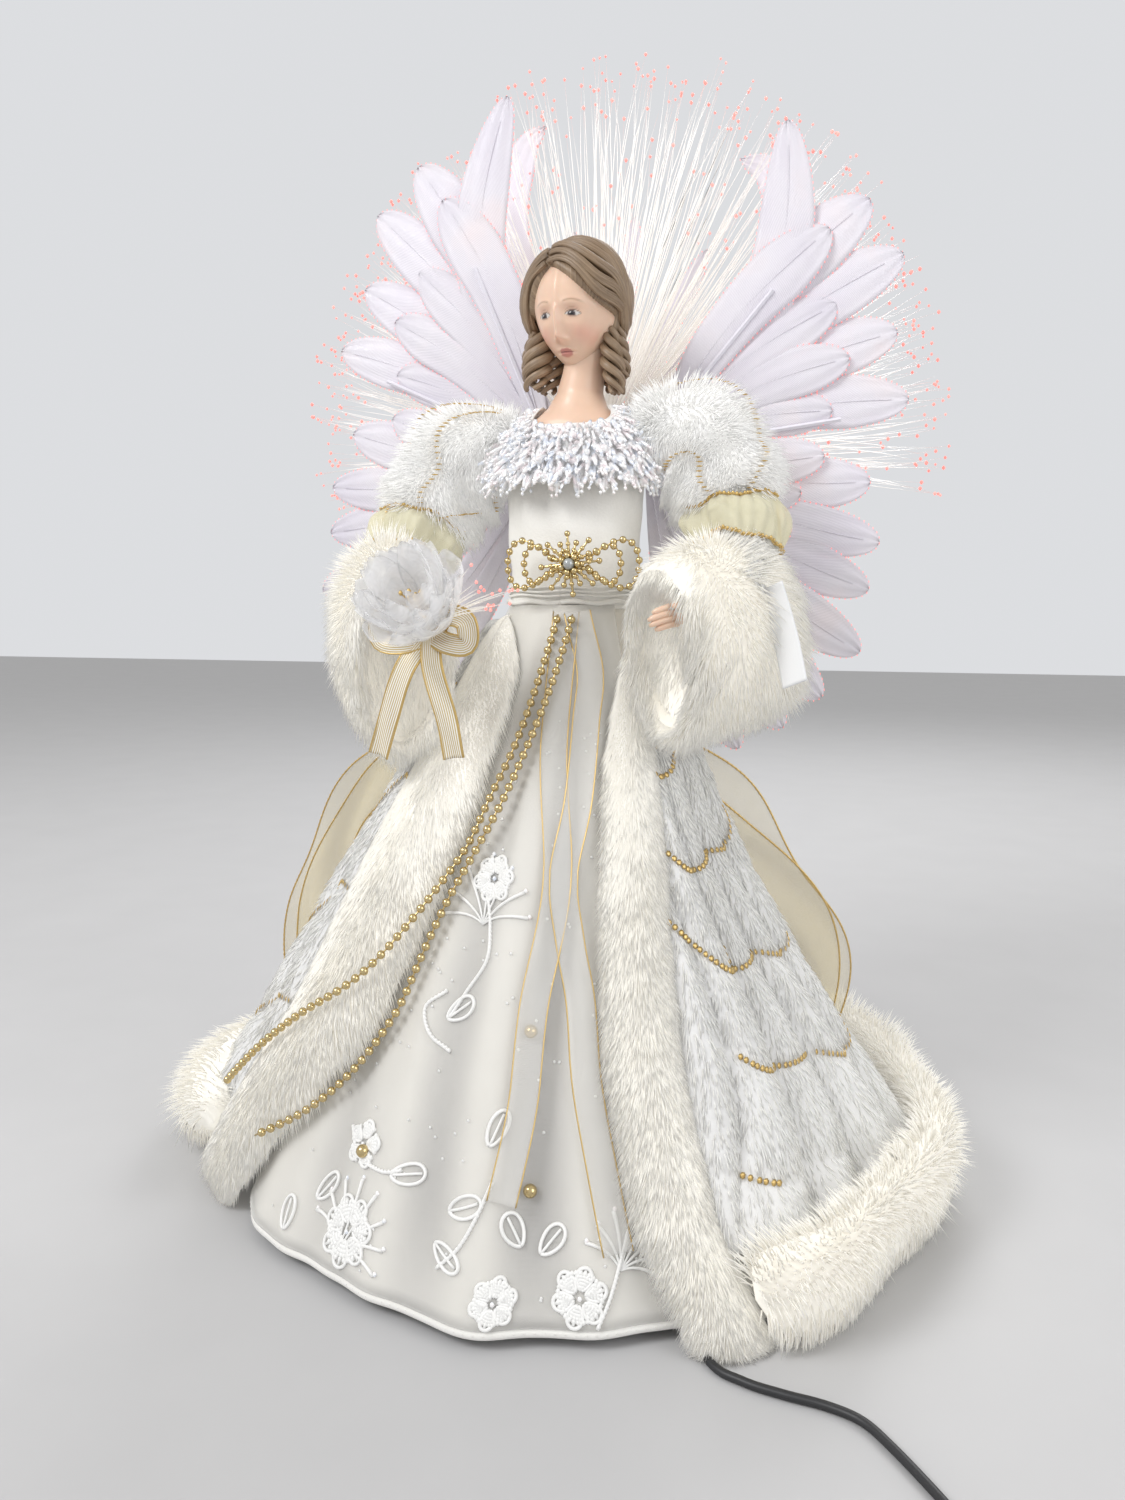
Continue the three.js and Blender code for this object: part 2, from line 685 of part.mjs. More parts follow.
function makeSleeve(side) {
  const curve = part(armCurves[side], sleeveFrom, sleeveTo)
  const inner = t => square(t < 0.2 ? armRadius + clothGap : sleeveSize(t) - sleeveThickness)
  const sleeve = sleeveBody(curve, 5, 10, t => square(sleeveSize(t)), inner)
  const cutter = taperedTube(curve, 5, 10, t => square(sleeveSize(t) + clothGap))
  piece(`${side}_sleeve`, trimmed(sleeve, [bodyCutter, fringeCutter]), finishes.plush())

  const puffCurve = part(armCurves[side], 0.16, 0.46)
  const puff = taperedTube(puffCurve, 4, 9, t => {
    const size = furSleeveRadius * (0.62 + 0.38 * Math.sin(Math.PI * t))
    return [size, size]
  })
  const shallow = geometry => geometry.scale(1, 0.9, 1)
  piece(`${side}_shoulder_fur`, trimmed(shallow(puff), [cutter, bodyCutter, fringeCutter]), finishes.fur())

  const ribbonCurve = part(armCurves[side], 0.49, sleeveTo)
  const ribbonInner = t => square(sleeveSize(1) + 2.5 * clothGap + ribbonPuff * Math.sin(Math.PI * t))
  const ribbonOuter = t => square(ribbonInner(t)[0] + 2 * ribbonThickness)
  piece(`${side}_elbow_ribbon`, sleeveBody(ribbonCurve, 3, 10, ribbonOuter, ribbonInner), finishes.organza())
  return cutter
}

// Wide fur cuff round the forearm, deeper than it is wide
const cuffEnds = {
  right: [[1, -0.025, -0.8], [0.588, -0.588, -0.925]].map(armPoint),
  left: [[-1.025, -0.1, -0.825], [-0.625, -0.725, -0.975]].map(armPoint)
}

function makeCuff(side, sleeveCutter) {
  const [back, front] = cuffEnds[side]
  const sides = 11
  const steps = 4
  const outward = front.clone().sub(back).normalize()
  const across = outward.clone().cross(point(0, 0, 1)).normalize()
  const upward = across.clone().cross(outward)
  const surface = inset => (u, v) => {
    const swell = 0.9 + 0.1 * Math.sin(Math.PI * v)
    const turn = fullTurn * u
    return back.clone().lerp(front, v)
      .addScaledVector(across, (cuffHalfWidth * swell - inset) * Math.cos(turn))
      .addScaledVector(upward, (cuffHalfHeight[side] * swell - inset) * Math.sin(turn))
  }
  const cuff = sheetBody(surface(0), surface(cuffWall), sides, steps, true)
  const ribbonSpace = taperedTube(part(armCurves[side], 0.46, sleeveTo + 0.03), 4, 12,
    () => square(sleeveSize(1) + 2.5 * clothGap + ribbonPuff + 2 * ribbonThickness + seat))
  piece(`${side}_cuff`, trimmed(cuff, [sleeveCutter, ribbonSpace]), finishes.fur())
  const cutter = sheetBody(surface(-clothGap), surface(cuffWall), sides, steps, true)
  if (side === 'left') return cutter
  const sewnAt = back.clone().addScaledVector(across, -(cuffHalfWidth * 0.9 - seat + labelWidth / 2))
  const label = new THREE.BoxGeometry(labelWidth, labelThickness, labelHeight)
    .rotateZ(Math.atan2(across.y, across.x))
    .translate(sewnAt.x, sewnAt.y, sewnAt.z)
  piece('blank_label', label, finishes.felt())
  return cutter
}

function makeFringe() {
  const reach = degrees(112.5)
  const armCutters = Object.values(armCurves).map(curve =>
    taperedTube(part(curve, 0, 0.5), 4, 6, () => square(armRadius + 4 * seat)))
  const fringe = ellipseShell(fringeLevels, 10, fringeThickness, -reach, reach)
  piece('collar_fringe', trimmed(fringe, armCutters), finishes.beads())
}

// Skirt surfaces: the angle is from the front, towards the viewer's right
const rightSide = degrees(105)
const leftSide = degrees(-75)

function gownProfile(angle, height) {
  const share = Math.max(0, 1 - height / waistHeight)
  const bell = 1 + bellShare * Math.max(0, Math.cos(angle - rightSide))
  const flute = fluteDepth * share * (0.5 + 0.5 * Math.cos(fluteCount * angle))
  return waistRadius + (hemRadius - fluteDepth - waistRadius) * share ** bell + flute
}

// The gown runs straight between its rows, and the layers over it follow that surface
function gownRadius(angle, height) {
  const place = (gownRowCount * (height - gownBottom)) / (waistHeight - gownBottom)
  const row = THREE.MathUtils.clamp(Math.floor(place), 0, gownRowCount - 1)
  const rowHeight = index => THREE.MathUtils.lerp(gownBottom, waistHeight, index / gownRowCount)
  const below = gownProfile(angle, rowHeight(row))
  const above = gownProfile(angle, rowHeight(row + 1))
  return THREE.MathUtils.lerp(below, above, place - row)
}

const around = (angle, radius, height) => point(radius * Math.sin(angle), -radius * Math.cos(angle), height)
const gownPoint = (angle, height, lift) => around(angle, gownRadius(angle, height) + lift, height)
const laceLift = clothGap + laceThickness
const outerLift = laceLift + drapeGap

function coatRadius(angle, height) {
  const share = Math.max(0, 1 - height / waistHeight)
  const spread = coatSpread * share * Math.max(0, Math.cos(angle - leftSide)) ** 2
  const fold = coatFoldDepth * share * (0.5 + 0.5 * Math.cos(coatFoldCount * angle))
  const lift = THREE.MathUtils.lerp(2 * clothGap, outerLift, Math.min(1, share * 8))
  return gownRadius(angle, height) + lift + spread + fold
}

// Edges of the open coat front, as angles that close towards the waist
const frontShare = height => height / waistHeight
const borderBottom = 2 * grommetRadius
const coatRowCount = 4
const coatRow = row => THREE.MathUtils.lerp(coatBottom, coatTop, row / coatRowCount)
const edgeHeights = [borderBottom, ...Array.from({ length: coatRowCount + 1 }, (_, row) => coatRow(row))]
const edgeAngles = { left: [-54, -45, -29.5, -23, -19, -20], right: [29, 23.2, 19.7, 19.6, 24.5, 43] }

function edgeAngle(side, height) {
  const above = edgeHeights.findIndex(knot => knot > height)
  const next = above < 0 ? edgeHeights.length - 1 : Math.max(1, above)
  const share = (height - edgeHeights[next - 1]) / (edgeHeights[next] - edgeHeights[next - 1])
  return degrees(THREE.MathUtils.lerp(edgeAngles[side][next - 1], edgeAngles[side][next], share))
}

function borderSpan(side, height) {
  const width = THREE.MathUtils.lerp(...borderWidths[side], frontShare(height))
  return width / (gownRadius(rightSide, height) + borderThickness)
}

function makeGown() {
  const heightAt = v => THREE.MathUtils.lerp(gownBottom, waistHeight, v)
  const gown = lift => (u, v) => gownPoint(fullTurn * u, heightAt(v), lift)
  const skirt = sheetBody(gown(0), gown(-gownThickness), gownColumnCount, gownRowCount, true)
  piece('gown_skirt', skirt, finishes.gown())

  const columns = laceLeftCount + laceRightCount
  const laceAngle = u => (fullTurn * (u * columns - laceLeftCount)) / gownColumnCount
  const lace = lift => (u, v) => gownPoint(laceAngle(u), heightAt(v), lift)
  piece('lace_overlay', sheetBody(lace(laceLift), lace(clothGap), columns, gownRowCount), finishes.lace())

  const hemHeight = gownBottom - hemRollRadius - seat
  const hemSteps = columns + 4
  const hemRings = Array.from({ length: hemSteps + 1 }, (_, step) => {
    const angle = (fullTurn * (step - laceLeftCount - 2)) / gownColumnCount
    const radius = gownRadius(angle, gownBottom) - gownThickness / 2
    return Array.from({ length: 6 }, (_, side) => {
      const turn = (fullTurn * (side + 0.5)) / 6
      const height = hemHeight + hemRollRadius * Math.sin(turn)
      return around(angle, radius + hemRollRadius * Math.cos(turn), height)
    })
  })
  piece('gown_hem', ringBody(hemRings), finishes.felt())
}

function makeCoat(cuffCutters) {
  const columns = 25
  const surface = lift => (u, v) => {
    const height = coatRow(v * coatRowCount)
    const gapAngle = (borderGap + 1.5 * frontShare(height) ** 3) / gownRadius(rightSide, height)
    const from = edgeAngle('right', height) + borderSpan('right', height) + gapAngle
    const to = fullTurn + edgeAngle('left', height) - borderSpan('left', height) - gapAngle
    const angle = THREE.MathUtils.lerp(from, to, u)
    return around(angle, coatRadius(angle, height) + lift, height)
  }
  const coat = sheetBody(surface(coatThickness), surface(0), columns, coatRowCount)
  piece('coat_skirt', trimmed(coat, cuffCutters), finishes.plush())
}

// Thick fur bands down the coat's front edges; they bulge across their width
const borderBulge = (share, height) => {
  const fade = THREE.MathUtils.smoothstep(borderTop - height, 0, borderFade)
  const arch = Math.sqrt(Math.max(0, 1 - (2 * share - 1) ** 4))
  return borderThickness * THREE.MathUtils.lerp(0.35, 1, fade) * arch
}

function makeBorder(side, cuffCutter) {
  const columns = 4
  const direction = side === 'left' ? -1 : 1
  const halfway = row => (coatRow(row) + coatRow(row + 1)) / 2
  const lower = [borderBottom, coatRow(0), halfway(0), coatRow(1)]
  const heights = [...lower, halfway(1), coatRow(2), coatRow(3), borderTop]
  const surface = outer => (u, v) => {
    const height = heights[Math.round(v * (heights.length - 1))]
    const angle = edgeAngle(side, height) + direction * u * borderSpan(side, height)
    const inner = gownRadius(angle, height) + outerLift
    const bulge = outer ? Math.max(borderRim, borderBulge(u, height)) : 0
    const spread = side === 'left' ? coatSpread * Math.max(0, 1 - height / waistHeight) * u : 0
    return around(angle, inner + bulge + (outer ? spread : 0), height)
  }
  const border = sheetBody(surface(true), surface(false), columns, heights.length - 1)
  piece(`${side}_fur_border`, trimmed(border, [cuffCutter]), finishes.fur())
}

// Fur band round the coat's hem, from border to border behind the doll
function makeHemFur() {
  const columns = 28
  const section = 6
  const from = edgeAngle('right', 0) + borderSpan('right', 0) + degrees(1.5)
  const to = fullTurn + edgeAngle('left', 0) - borderSpan('left', 0) - degrees(1.5)
  const rings = Array.from({ length: columns + 1 }, (_, column) => {
    const angle = THREE.MathUtils.lerp(from, to, column / columns)
    const inner = Math.max(gownRadius(angle, gownBottom), gownRadius(angle, coatBottom)) + laceLift + clothGap + seat
    const outer = coatRadius(angle, coatBottom / 2) + hemFurThickness
    return Array.from({ length: section }, (_, index) => {
      const turn = (fullTurn * (index + 0.5)) / section
      const swell = Math.sign(Math.cos(turn)) * Math.abs(Math.cos(turn)) ** 0.6
      const rise = Math.sign(Math.sin(turn)) * Math.abs(Math.sin(turn)) ** 0.6
      const radius = THREE.MathUtils.mapLinear(swell, -1, 1, inner, outer)
      const height = THREE.MathUtils.mapLinear(rise, -1, 1, 0, hemFurHeight - hemFurLift) + hemFurLift
      return around(angle, radius, height)
    })
  })
  piece('hem_fur', ringBody(rings), finishes.fur())
}

// Height of the outermost cloth or fur over the skirt's axis
function topRadius(angle, height) {
  for (const [side, direction] of [['left', -1], ['right', 1]]) {
    const share = (direction * (angle - edgeAngle(side, height))) / borderSpan(side, height)
    if (height < borderTop && share > -0.12 && share < 1) {
      const lift = direction < 0 ? coatSpread * Math.max(0, 1 - height / waistHeight) * Math.max(0, share) : 0
      const bulge = Math.max(borderRim, borderBulge(THREE.MathUtils.clamp(share, 0.15, 0.85), height))
      return gownRadius(angle, height) + outerLift + bulge + lift
    }
    if (share >= 1) return coatRadius(angle, height) + coatThickness
  }
  return gownRadius(angle, height) + laceLift
}

// Ribbon tails from the brooch; each route lists [angle, height share of the waist]
const tailRoutes = {
  left: [[6, 0.97], [5, 0.79], [9, 0.6], [5.5, 0.43], [4.9, 0.3], [3, 0.18]],
  right: [[19, 0.97], [21, 0.9], [18, 0.82], [14.5, 0.7], [10.6, 0.6], [12.6, 0.51], [15, 0.43], [16, 0.33],
    [18.3, 0.22], [20.3, 0.12]]
}

function skirtRibbon(side, lift) {
  const route = tailRoutes[side]
  const knots = route.map(([angle, share]) => point(degrees(angle), share * waistHeight, 0))
  const spline = new THREE.CatmullRomCurve3(knots)
  const rows = 12
  const surface = height => (u, v) => {
    const centre = spline.getPoint(v)
    const angle = centre.x + ((u - 0.5) * tailWidth) / (gownRadius(centre.x, centre.y) + lift)
    return gownPoint(angle, centre.y, laceLift + lift + height)
  }
  piece(`${side}_ribbon_tail`, sheetBody(surface(ribbonThickness), surface(0), 2, rows), finishes.organza())
}

// A strand of beads: a thread that swells at each bead
function beadTube(points) {
  const curve = new THREE.CatmullRomCurve3(points)
  const beads = Math.round(curve.getLength() / beadPitch)
  const steps = 2 * beads
  const radius = t => Math.round(t * steps) % 2 ? beadRadius : beadThread
  return taperedTube(curve, steps, beadSideCount, t => square(radius(t)))
}

const beadRoutes = {
  upper: [[1, 0.985], [-4, 0.9], [-10, 0.785], [-15, 0.71], [-18, 0.64], [-21.5, 0.585], [-25, 0.53],
    [-29, 0.47], [-34, 0.42], [-41, 0.37], [-48, 0.31], [-55, 0.24], [-59, 0.2]],
  lower: [[11, 0.985], [4, 0.9], [-4.3, 0.785], [-10, 0.7], [-15.5, 0.625], [-19, 0.57], [-21.5, 0.51],
    [-23.5, 0.45], [-25.5, 0.385], [-29.5, 0.32], [-33.5, 0.27], [-38.5, 0.22], [-45.5, 0.165]]
}

function makeBeadStrand(name) {
  const points = []
  const route = beadRoutes[name].map(([angle, share]) => point(degrees(angle), share * waistHeight, 0))
  const spline = new THREE.CatmullRomCurve3(route)
  const samples = 28
  const extra = name === 'upper' ? -0.9 : 0.2
  for (let index = 0; index <= samples; index += 1) {
    const place = spline.getPoint(index / samples)
    const lift = beadRadius + 2 * ribbonThickness + 4 * seat + extra
    points.push(around(place.x, topRadius(place.x, place.y) + lift, place.y))
  }
  piece(`bead_strand_${name}`, beadTube(points), finishes.gold())
}

// Starburst brooch and bead bow at the waist
const broochFront = -waistRadius - 0.82 * broochRadius
const broochCentre = point(0.55 * broochRadius, broochFront, waistHeight + 1.36 * broochRadius)

function makeBrooch() {
  const rays = 8
  const star = new THREE.Shape(Array.from({ length: 2 * rays }, (_, index) => {
    const turn = (fullTurn * index) / (2 * rays)
    const radius = index % 2 ? broochRadius * 0.45 : broochRadius
    return new THREE.Vector2(radius * Math.cos(turn), radius * Math.sin(turn))
  }))
  const burst = new THREE.ExtrudeGeometry(star, { depth: broochThickness / 2, bevelEnabled: false })
    .rotateX(Math.PI / 2)
  const stone = new THREE.SphereGeometry(broochRadius * 0.35, 10, 6)
    .scale(1, 0.6, 1)
    .translate(0, -broochThickness / 2, 0)
  const post = bar(point(0, -seat, 0), point(0, broochPost, 0), broochThickness / 2, 8)
  piece('brooch', joined([burst, stone, post])
    .translate(broochCentre.x, broochCentre.y, broochCentre.z), finishes.gold())
  const loopPoint = (side, turn) => {
    const out = 13 * (1 - Math.cos(turn))
    return broochCentre.clone().add(point(
      side * (broochRadius * 0.5 + out * 0.75),
      bowStandoff + 0.1 * out,
      9 * Math.sin(turn) * (0.35 + out / 26)))
  }
  const loops = [-1, 1].map(side => beadTube(Array.from({ length: 12 }, (_, index) =>
    loopPoint(side, (fullTurn * (index + 0.7)) / 12.4))))
  const link = bar(loopPoint(-1, 0.9), loopPoint(1, 0.9), beadThread)
  piece('bead_bow', joined([...loops, link]), finishes.gold())
}

// Wired organza streamers that billow behind the coat on each side
function makeStreamer(side) {
  const direction = side === 'left' ? -1 : 1
  const start = degrees(direction * 118)
  const lift = coatThickness + 2 * seat
  const outShare = side === 'left' ? [0, 1.2, 2.3, 2.9, 2.7] : [0, 0.65, 1.35, 1.85, 1.9]
  const heightShare = side === 'left' ? [0.62, 0.64, 0.52, 0.36, 0.2] : [0.62, 0.58, 0.48, 0.35, 0.24]
  const rootHeight = heightShare[0] * waistHeight
  const rootRadius = coatRadius(start, rootHeight) + lift + organzaWidth * streamerRootShare[side]
  const rootPoint = around(start, rootRadius, rootHeight)
  const curve = new THREE.CatmullRomCurve3(outShare.map((share, index) => point(
    rootPoint.x + direction * share * organzaWidth,
    rootPoint.y + organzaWidth * 0.45 * (1 - Math.exp(-share)),
    heightShare[index] * waistHeight)))
  const surface = depth => (u, v) => {
    const centre = curve.getPoint(v)
    const along = curve.getTangent(v)
    const across = point(along.z, 0, -along.x).normalize()
    const ripple = 2.5 * Math.sin(3 * fullTurn * v) * (u - 0.5)
    return centre.addScaledVector(across, (u - 0.5) * organzaWidth).add(point(0, depth + ripple, 0))
  }
  piece(`${side}_streamer`, sheetBody(surface(ribbonThickness), surface(0), 3, 10), finishes.organza())
}

// Bouquet in the left hand: a petal cup, its stem and a striped bow
function makeBouquet() {
  const hand = armCurves.left.getPointAt(1)
  const facing = point(-0.1, -0.8, 0.55).normalize()
  const foot = hand.clone().add(point(1.89, -1.218, 0.273).multiplyScalar(armRadius))
  const sides = 15
  const across = facing.clone().cross(point(0, 0, 1)).normalize()
  const upward = across.clone().cross(facing)
  const surface = inset => (u, v) => {
    const turn = fullTurn * u
    const wave = 1 + 0.16 * v * Math.cos(5 * turn)
    const radius = (flowerThroat + (flowerRadius - flowerThroat) * v ** 0.8) * wave - inset
    return foot.clone()
      .addScaledVector(facing, flowerDepth * v ** 1.6 + (inset ? flowerWall * (1 - v) : 0))
      .addScaledVector(across, radius * Math.cos(turn))
      .addScaledVector(upward, radius * Math.sin(turn))
  }
  piece('bouquet_flower', sheetBody(surface(0), surface(flowerWall), sides, 3, true), finishes.organza())
  const stemEnd = foot.clone().addScaledVector(facing, -stemLength)
  const stem = bar(stemEnd, foot.clone().addScaledVector(facing, stemLength * 0.31), stemRadius, 8)
  const tailShares = [[0.31, -0.19, -0.5, -0.63], [0.69, -0.25, -0.5, -1.75], [0.94, -0.25, -0.31, -2.75]]
  const tails = [-1, 1].map(side => {
    const curve = new THREE.CatmullRomCurve3([
      stemEnd.clone().lerp(foot, 0.4),
      ...tailShares.map(([out, shift, depth, drop]) =>
        stemEnd.clone().add(point(side * out + shift, depth, drop).multiplyScalar(stemLength)))
    ])
    return taperedTube(curve, 6, 4, t => [ribbonThickness, flowerThroat * (1 + 0.5 * t)])
  })
  const palmCutter = taperedTube(part(armCurves.left, 0.8, 1), 4, 8, () => square(armRadius + seat))
  piece('bouquet_ribbon', trimmed(joined([stem, ...tails]), [palmCutter]), finishes.gold())
}

// Wings: a frame that hinges on a vertical pin, with a long and a short row of feathers
// Each feather is [angle above level, reach share, width share]
const longFeathers = [
  [58, 1.06, 1], [47, 1.0, 1], [36, 0.97, 0.9], [24, 0.85, 0.85], [10, 0.83, 0.8], [-8, 0.72, 0.8],
  [-21, 0.8, 0.75], [-31, 0.84, 0.75], [-42, 0.94, 0.8], [-53, 0.97, 0.8], [-62, 0.99, 0.75], [-71, 1.0, 0.7]
]
const shortFeathers = [
  [49, 0.86, 0.9], [36, 0.73, 0.8], [23, 0.69, 0.75], [11, 0.6, 0.7], [-2, 0.57, 0.7], [-15, 0.52, 0.7],
  [-29, 0.54, 0.7]
]
const petalStations = [[0, 0.14], [0.36, 0.42], [0.8, 0.44], [1, 0]]

function petalShape(side, angle, reach, width, rootShare = 0.1) {
  const rootDistance = reach * rootShare
  const place = (along, across) => {
    const distance = rootDistance + along * (reach - rootDistance)
    const lift = degrees(angle)
    return new THREE.Vector2(
      side * (distance * Math.cos(lift) - across * Math.sin(lift)),
      distance * Math.sin(lift) + across * Math.cos(lift))
  }
  const upper = petalStations.map(([along, wide]) => place(along, wide * width))
  const lower = petalStations.slice(0, -1).reverse().map(([along, wide]) => place(along, -wide * width))
  return new THREE.Shape([...upper, ...lower])
}

// A plate in the XZ plane whose front face is at depth y = 0, from a shape's outline
const plate = (shape, thickness) =>
  new THREE.ExtrudeGeometry(shape, { depth: thickness, bevelEnabled: false })
    .rotateX(Math.PI / 2).translate(0, thickness, 0)

function makeWing(side) {
  const direction = side === 'left' ? -1 : 1
  const wing = new THREE.Group()
  wing.position.set(direction * hingeX, hingeY, 0)
  wing.rotation.z = direction * degrees(wingSweep)
  figure.add(wing)
  const raise = wingRaise[side]
  const reach = wingReach * wingScaleShare[side]
  const rootX = direction * wingRootOut

  const row = (feathers, depth) => joined(feathers.map(([angle, share, widthShare], index) =>
    plate(petalShape(direction, angle + raise, reach * share, featherWidth * widthShare), featherThickness)
      .translate(rootX, depth + (index % 2) * featherStep, wingRootHeight)))
  const shortDepth = wingRibDepth + ribRadius + seat
  const longDepth = shortDepth + featherThickness + featherStep + seat
  piece(`${side}_short_feathers`, row(shortFeathers, shortDepth), finishes.feather(), wing)
  piece(`${side}_long_feathers`, row(longFeathers, longDepth), finishes.feather(), wing)

  const boreRadius = hingePinRadius + hingeClearance
  const barrelLength = hingeTop - hingeBottom - 2 * seat
  const barrelBottom = hingeBottom + seat
  const barrelProfile = tubeProfile(boreRadius, boreRadius + hingeWall, barrelBottom, barrelBottom + barrelLength)
  const barrel = turned(barrelProfile, 12)
  const barrelSide = boreRadius + hingeWall / 2
  const rib = angle => {
    const root = point(0, barrelSide, wingRootHeight - (angle < 0 ? hingeLength * 0.3 : 0))
    const bend = point(rootX, wingRibDepth, wingRootHeight)
    const lift = degrees(angle + raise)
    const ribReach = 0.62 * reach
    const ribX = rootX + direction * ribReach * Math.cos(lift)
    const tip = point(ribX, wingRibDepth, wingRootHeight + ribReach * Math.sin(lift))
    return [bar(root, bend, ribRadius, 4), bar(bend, tip, ribRadius, 4)]
  }
  piece(`${side}_wing_frame`, joined([barrel, ...[50, 8, -45].flatMap(rib)]), finishes.metal(), wing)
}

// Back plate with the two hinge pins
function makeWingBracket() {
  const plateBack = hingeY - hingePinRadius - hingeClearance - hingeWall - seat
  const plateFront = bustLevels[0][2] + 2 * seat
  const bridge = new THREE.BoxGeometry(2 * hingeX + 6, plateBack - plateFront, hingeTop - hingeBottom)
    .translate(0, (plateBack + plateFront) / 2, (hingeTop + hingeBottom) / 2)
  const earDepth = hingeY + hingePinRadius + 1 - plateFront
  const earHeight = 2
  const ears = [hingeBottom - earHeight / 2, hingeTop + earHeight / 2].flatMap(height => [-1, 1].map(side =>
    new THREE.BoxGeometry(2 * (hingePinRadius + hingeWall), earDepth, earHeight + 0.02)
      .translate(side * hingeX, plateFront + earDepth / 2, height)))
  const pins = [-1, 1].map(side =>
    turned(discProfile(hingePinRadius, hingeBottom - earHeight / 2, hingeTop + earHeight / 2), 12)
      .translate(side * hingeX, hingeY, 0))
  const bracket = joined([bridge, ...ears, ...pins])
  piece('wing_bracket', trimmed(bracket, [bundleCutter]), finishes.metal())
}

// Fan of fibres: two discs, each with two layers of strands that lean back by different slopes
const fanFromAngle = -8
const fanToAngle = 188

function strand(layer, index, random) {
  const place = (index + 0.25 + 0.5 * random()) / strandCount
  const angle = degrees(THREE.MathUtils.lerp(fanFromAngle, fanToAngle, place))
  const slope = 0.04 + 0.05 * layer
  const depth = fanFrontY + 3 * seat + strandLayerStep * layer + (layer > 1 ? seat + clothGap : 0)
  const side = Math.abs(Math.cos(angle))
  const envelope = fanReach * (1 - 0.13 * side ** 1.5)
  const length = envelope * (random() < 0.6 ? 0.9 + 0.1 * random() : 0.55 + 0.4 * random())
  const start = fanDiscRadius - fanDiscThickness
  const along = point(Math.cos(angle), slope, Math.sin(angle)).normalize()
  const from = point(start * Math.cos(angle), depth, start * Math.sin(angle))
  const strandLength = length - start
  const middle = from.clone().addScaledVector(along, strandLength / 2)
  return new THREE.ConeGeometry(strandRadius, strandLength, 3)
    .applyQuaternion(new THREE.Quaternion().setFromUnitVectors(point(0, 1, 0), along))
    .translate(middle.x, middle.y, middle.z)
}

function makeFan() {
  let seed = 7
  const random = () => {
    seed = (seed * 16807) % 2147483647
    return seed / 2147483647
  }
  for (let disc = 0; disc < 2; disc += 1) {
    const front = fanFrontY + disc * (fanDiscThickness + seat)
    const slice = turned(discProfile(fanDiscRadius, 0, fanDiscThickness), 16)
      .rotateX(-Math.PI / 2)
      .translate(0, front, 0)
    const strands = [0, 1].flatMap(layer =>
      Array.from({ length: strandCount }, (_, index) => strand(2 * disc + layer, index, random)))
    const name = disc === 0 ? 'fiber_fan_front' : 'fiber_fan_back'
    piece(name, joined([slice, ...strands]).translate(fanX, 0, fanHeight), finishes.fibre())
  }
}

// Plumes behind the fan: narrow petals over the head and two curved ones above the wings
function makePlumes() {
  const narrow = [[101, 0.64, 0.42], [86, 0.66, 0.42], [66, 0.6, 0.42], [48, 0.58, 0.4], [121, 0.58, 0.4]]
  const straight = narrow.map(([angle, share, widthShare], index) =>
    plate(petalShape(1, angle, fanReach * share, featherWidth * widthShare, 0.02), plumeThickness)
      .translate(0, (index % 2) * featherStep, 0))
  const curvedOutline = [[0.03, 0], [0.24, 0.34], [0.36, 0.58], [0.38, 0.76], [0.31, 0.9], [0.23, 0.93],
    [0.2, 0.88], [0.26, 0.74], [0.25, 0.58], [0.16, 0.36], [-0.02, 0.03]]
  const curved = [[-1, 1], [1.45, 0.84]].map(([sideways, tall]) =>
    plate(new THREE.Shape(curvedOutline.map(([x, z]) =>
      new THREE.Vector2(sideways * x * fanReach, tall * z * fanReach))), plumeThickness))
  const hubProfile = discProfile(fanDiscRadius * 0.5, 0, plumeStandoff + 3 * plumeThickness)
  const hub = turned(hubProfile, 12).rotateX(-Math.PI / 2)
  const lean = Math.atan(plumeLean)
  const back = fanFrontY + 2 * (fanDiscThickness + seat)
  const leaning = [...straight, ...curved].map(petal => petal.rotateX(-lean).translate(0, plumeStandoff, 0))
  piece('back_plumes', joined([hub, ...leaning])
    .translate(fanX, back, fanHeight), finishes.feather())
}

// Free lead: a hand-placed route on the floor, the stored coil and its plug
const floorLine = cordRadius + cordLift
const cordEnd = grommetEnd.clone().addScaledVector(exitDirection, seat)
  .add(point(bodyOffset.x, bodyOffset.y, 0))
const coilCentre = point(150, -226, floorLine)
const coilTravel = coilPitch * (coilTurnCount - 0.5)
const coilOuter = coilMiddleRadius + coilTravel / 2
const coilStart = degrees(0)

// Coil line: each layer spirals in or out, then climbs in the half turn where it reverses
function coilPoint(turns) {
  const layer = Math.min(coilLayerCount - 1, Math.floor(turns / coilTurnCount))
  const within = turns - layer * coilTurnCount
  const spiral = Math.min(within, coilTurnCount - 0.5)
  const climb = layer < coilLayerCount - 1 ? Math.max(0, within - (coilTurnCount - 0.5)) / 0.5 : 0
  const inwards = layer % 2 === 0
  const travel = coilPitch * spiral
  const radius = inwards ? coilOuter - travel : coilOuter - coilTravel + travel
  const turn = coilStart - fullTurn * turns
  const rise = coilPitch * (layer + climb)
  return coilCentre.clone().add(point(radius * Math.cos(turn), radius * Math.sin(turn), rise))
}

const coilTurns = coilTurnCount * coilLayerCount - 0.5

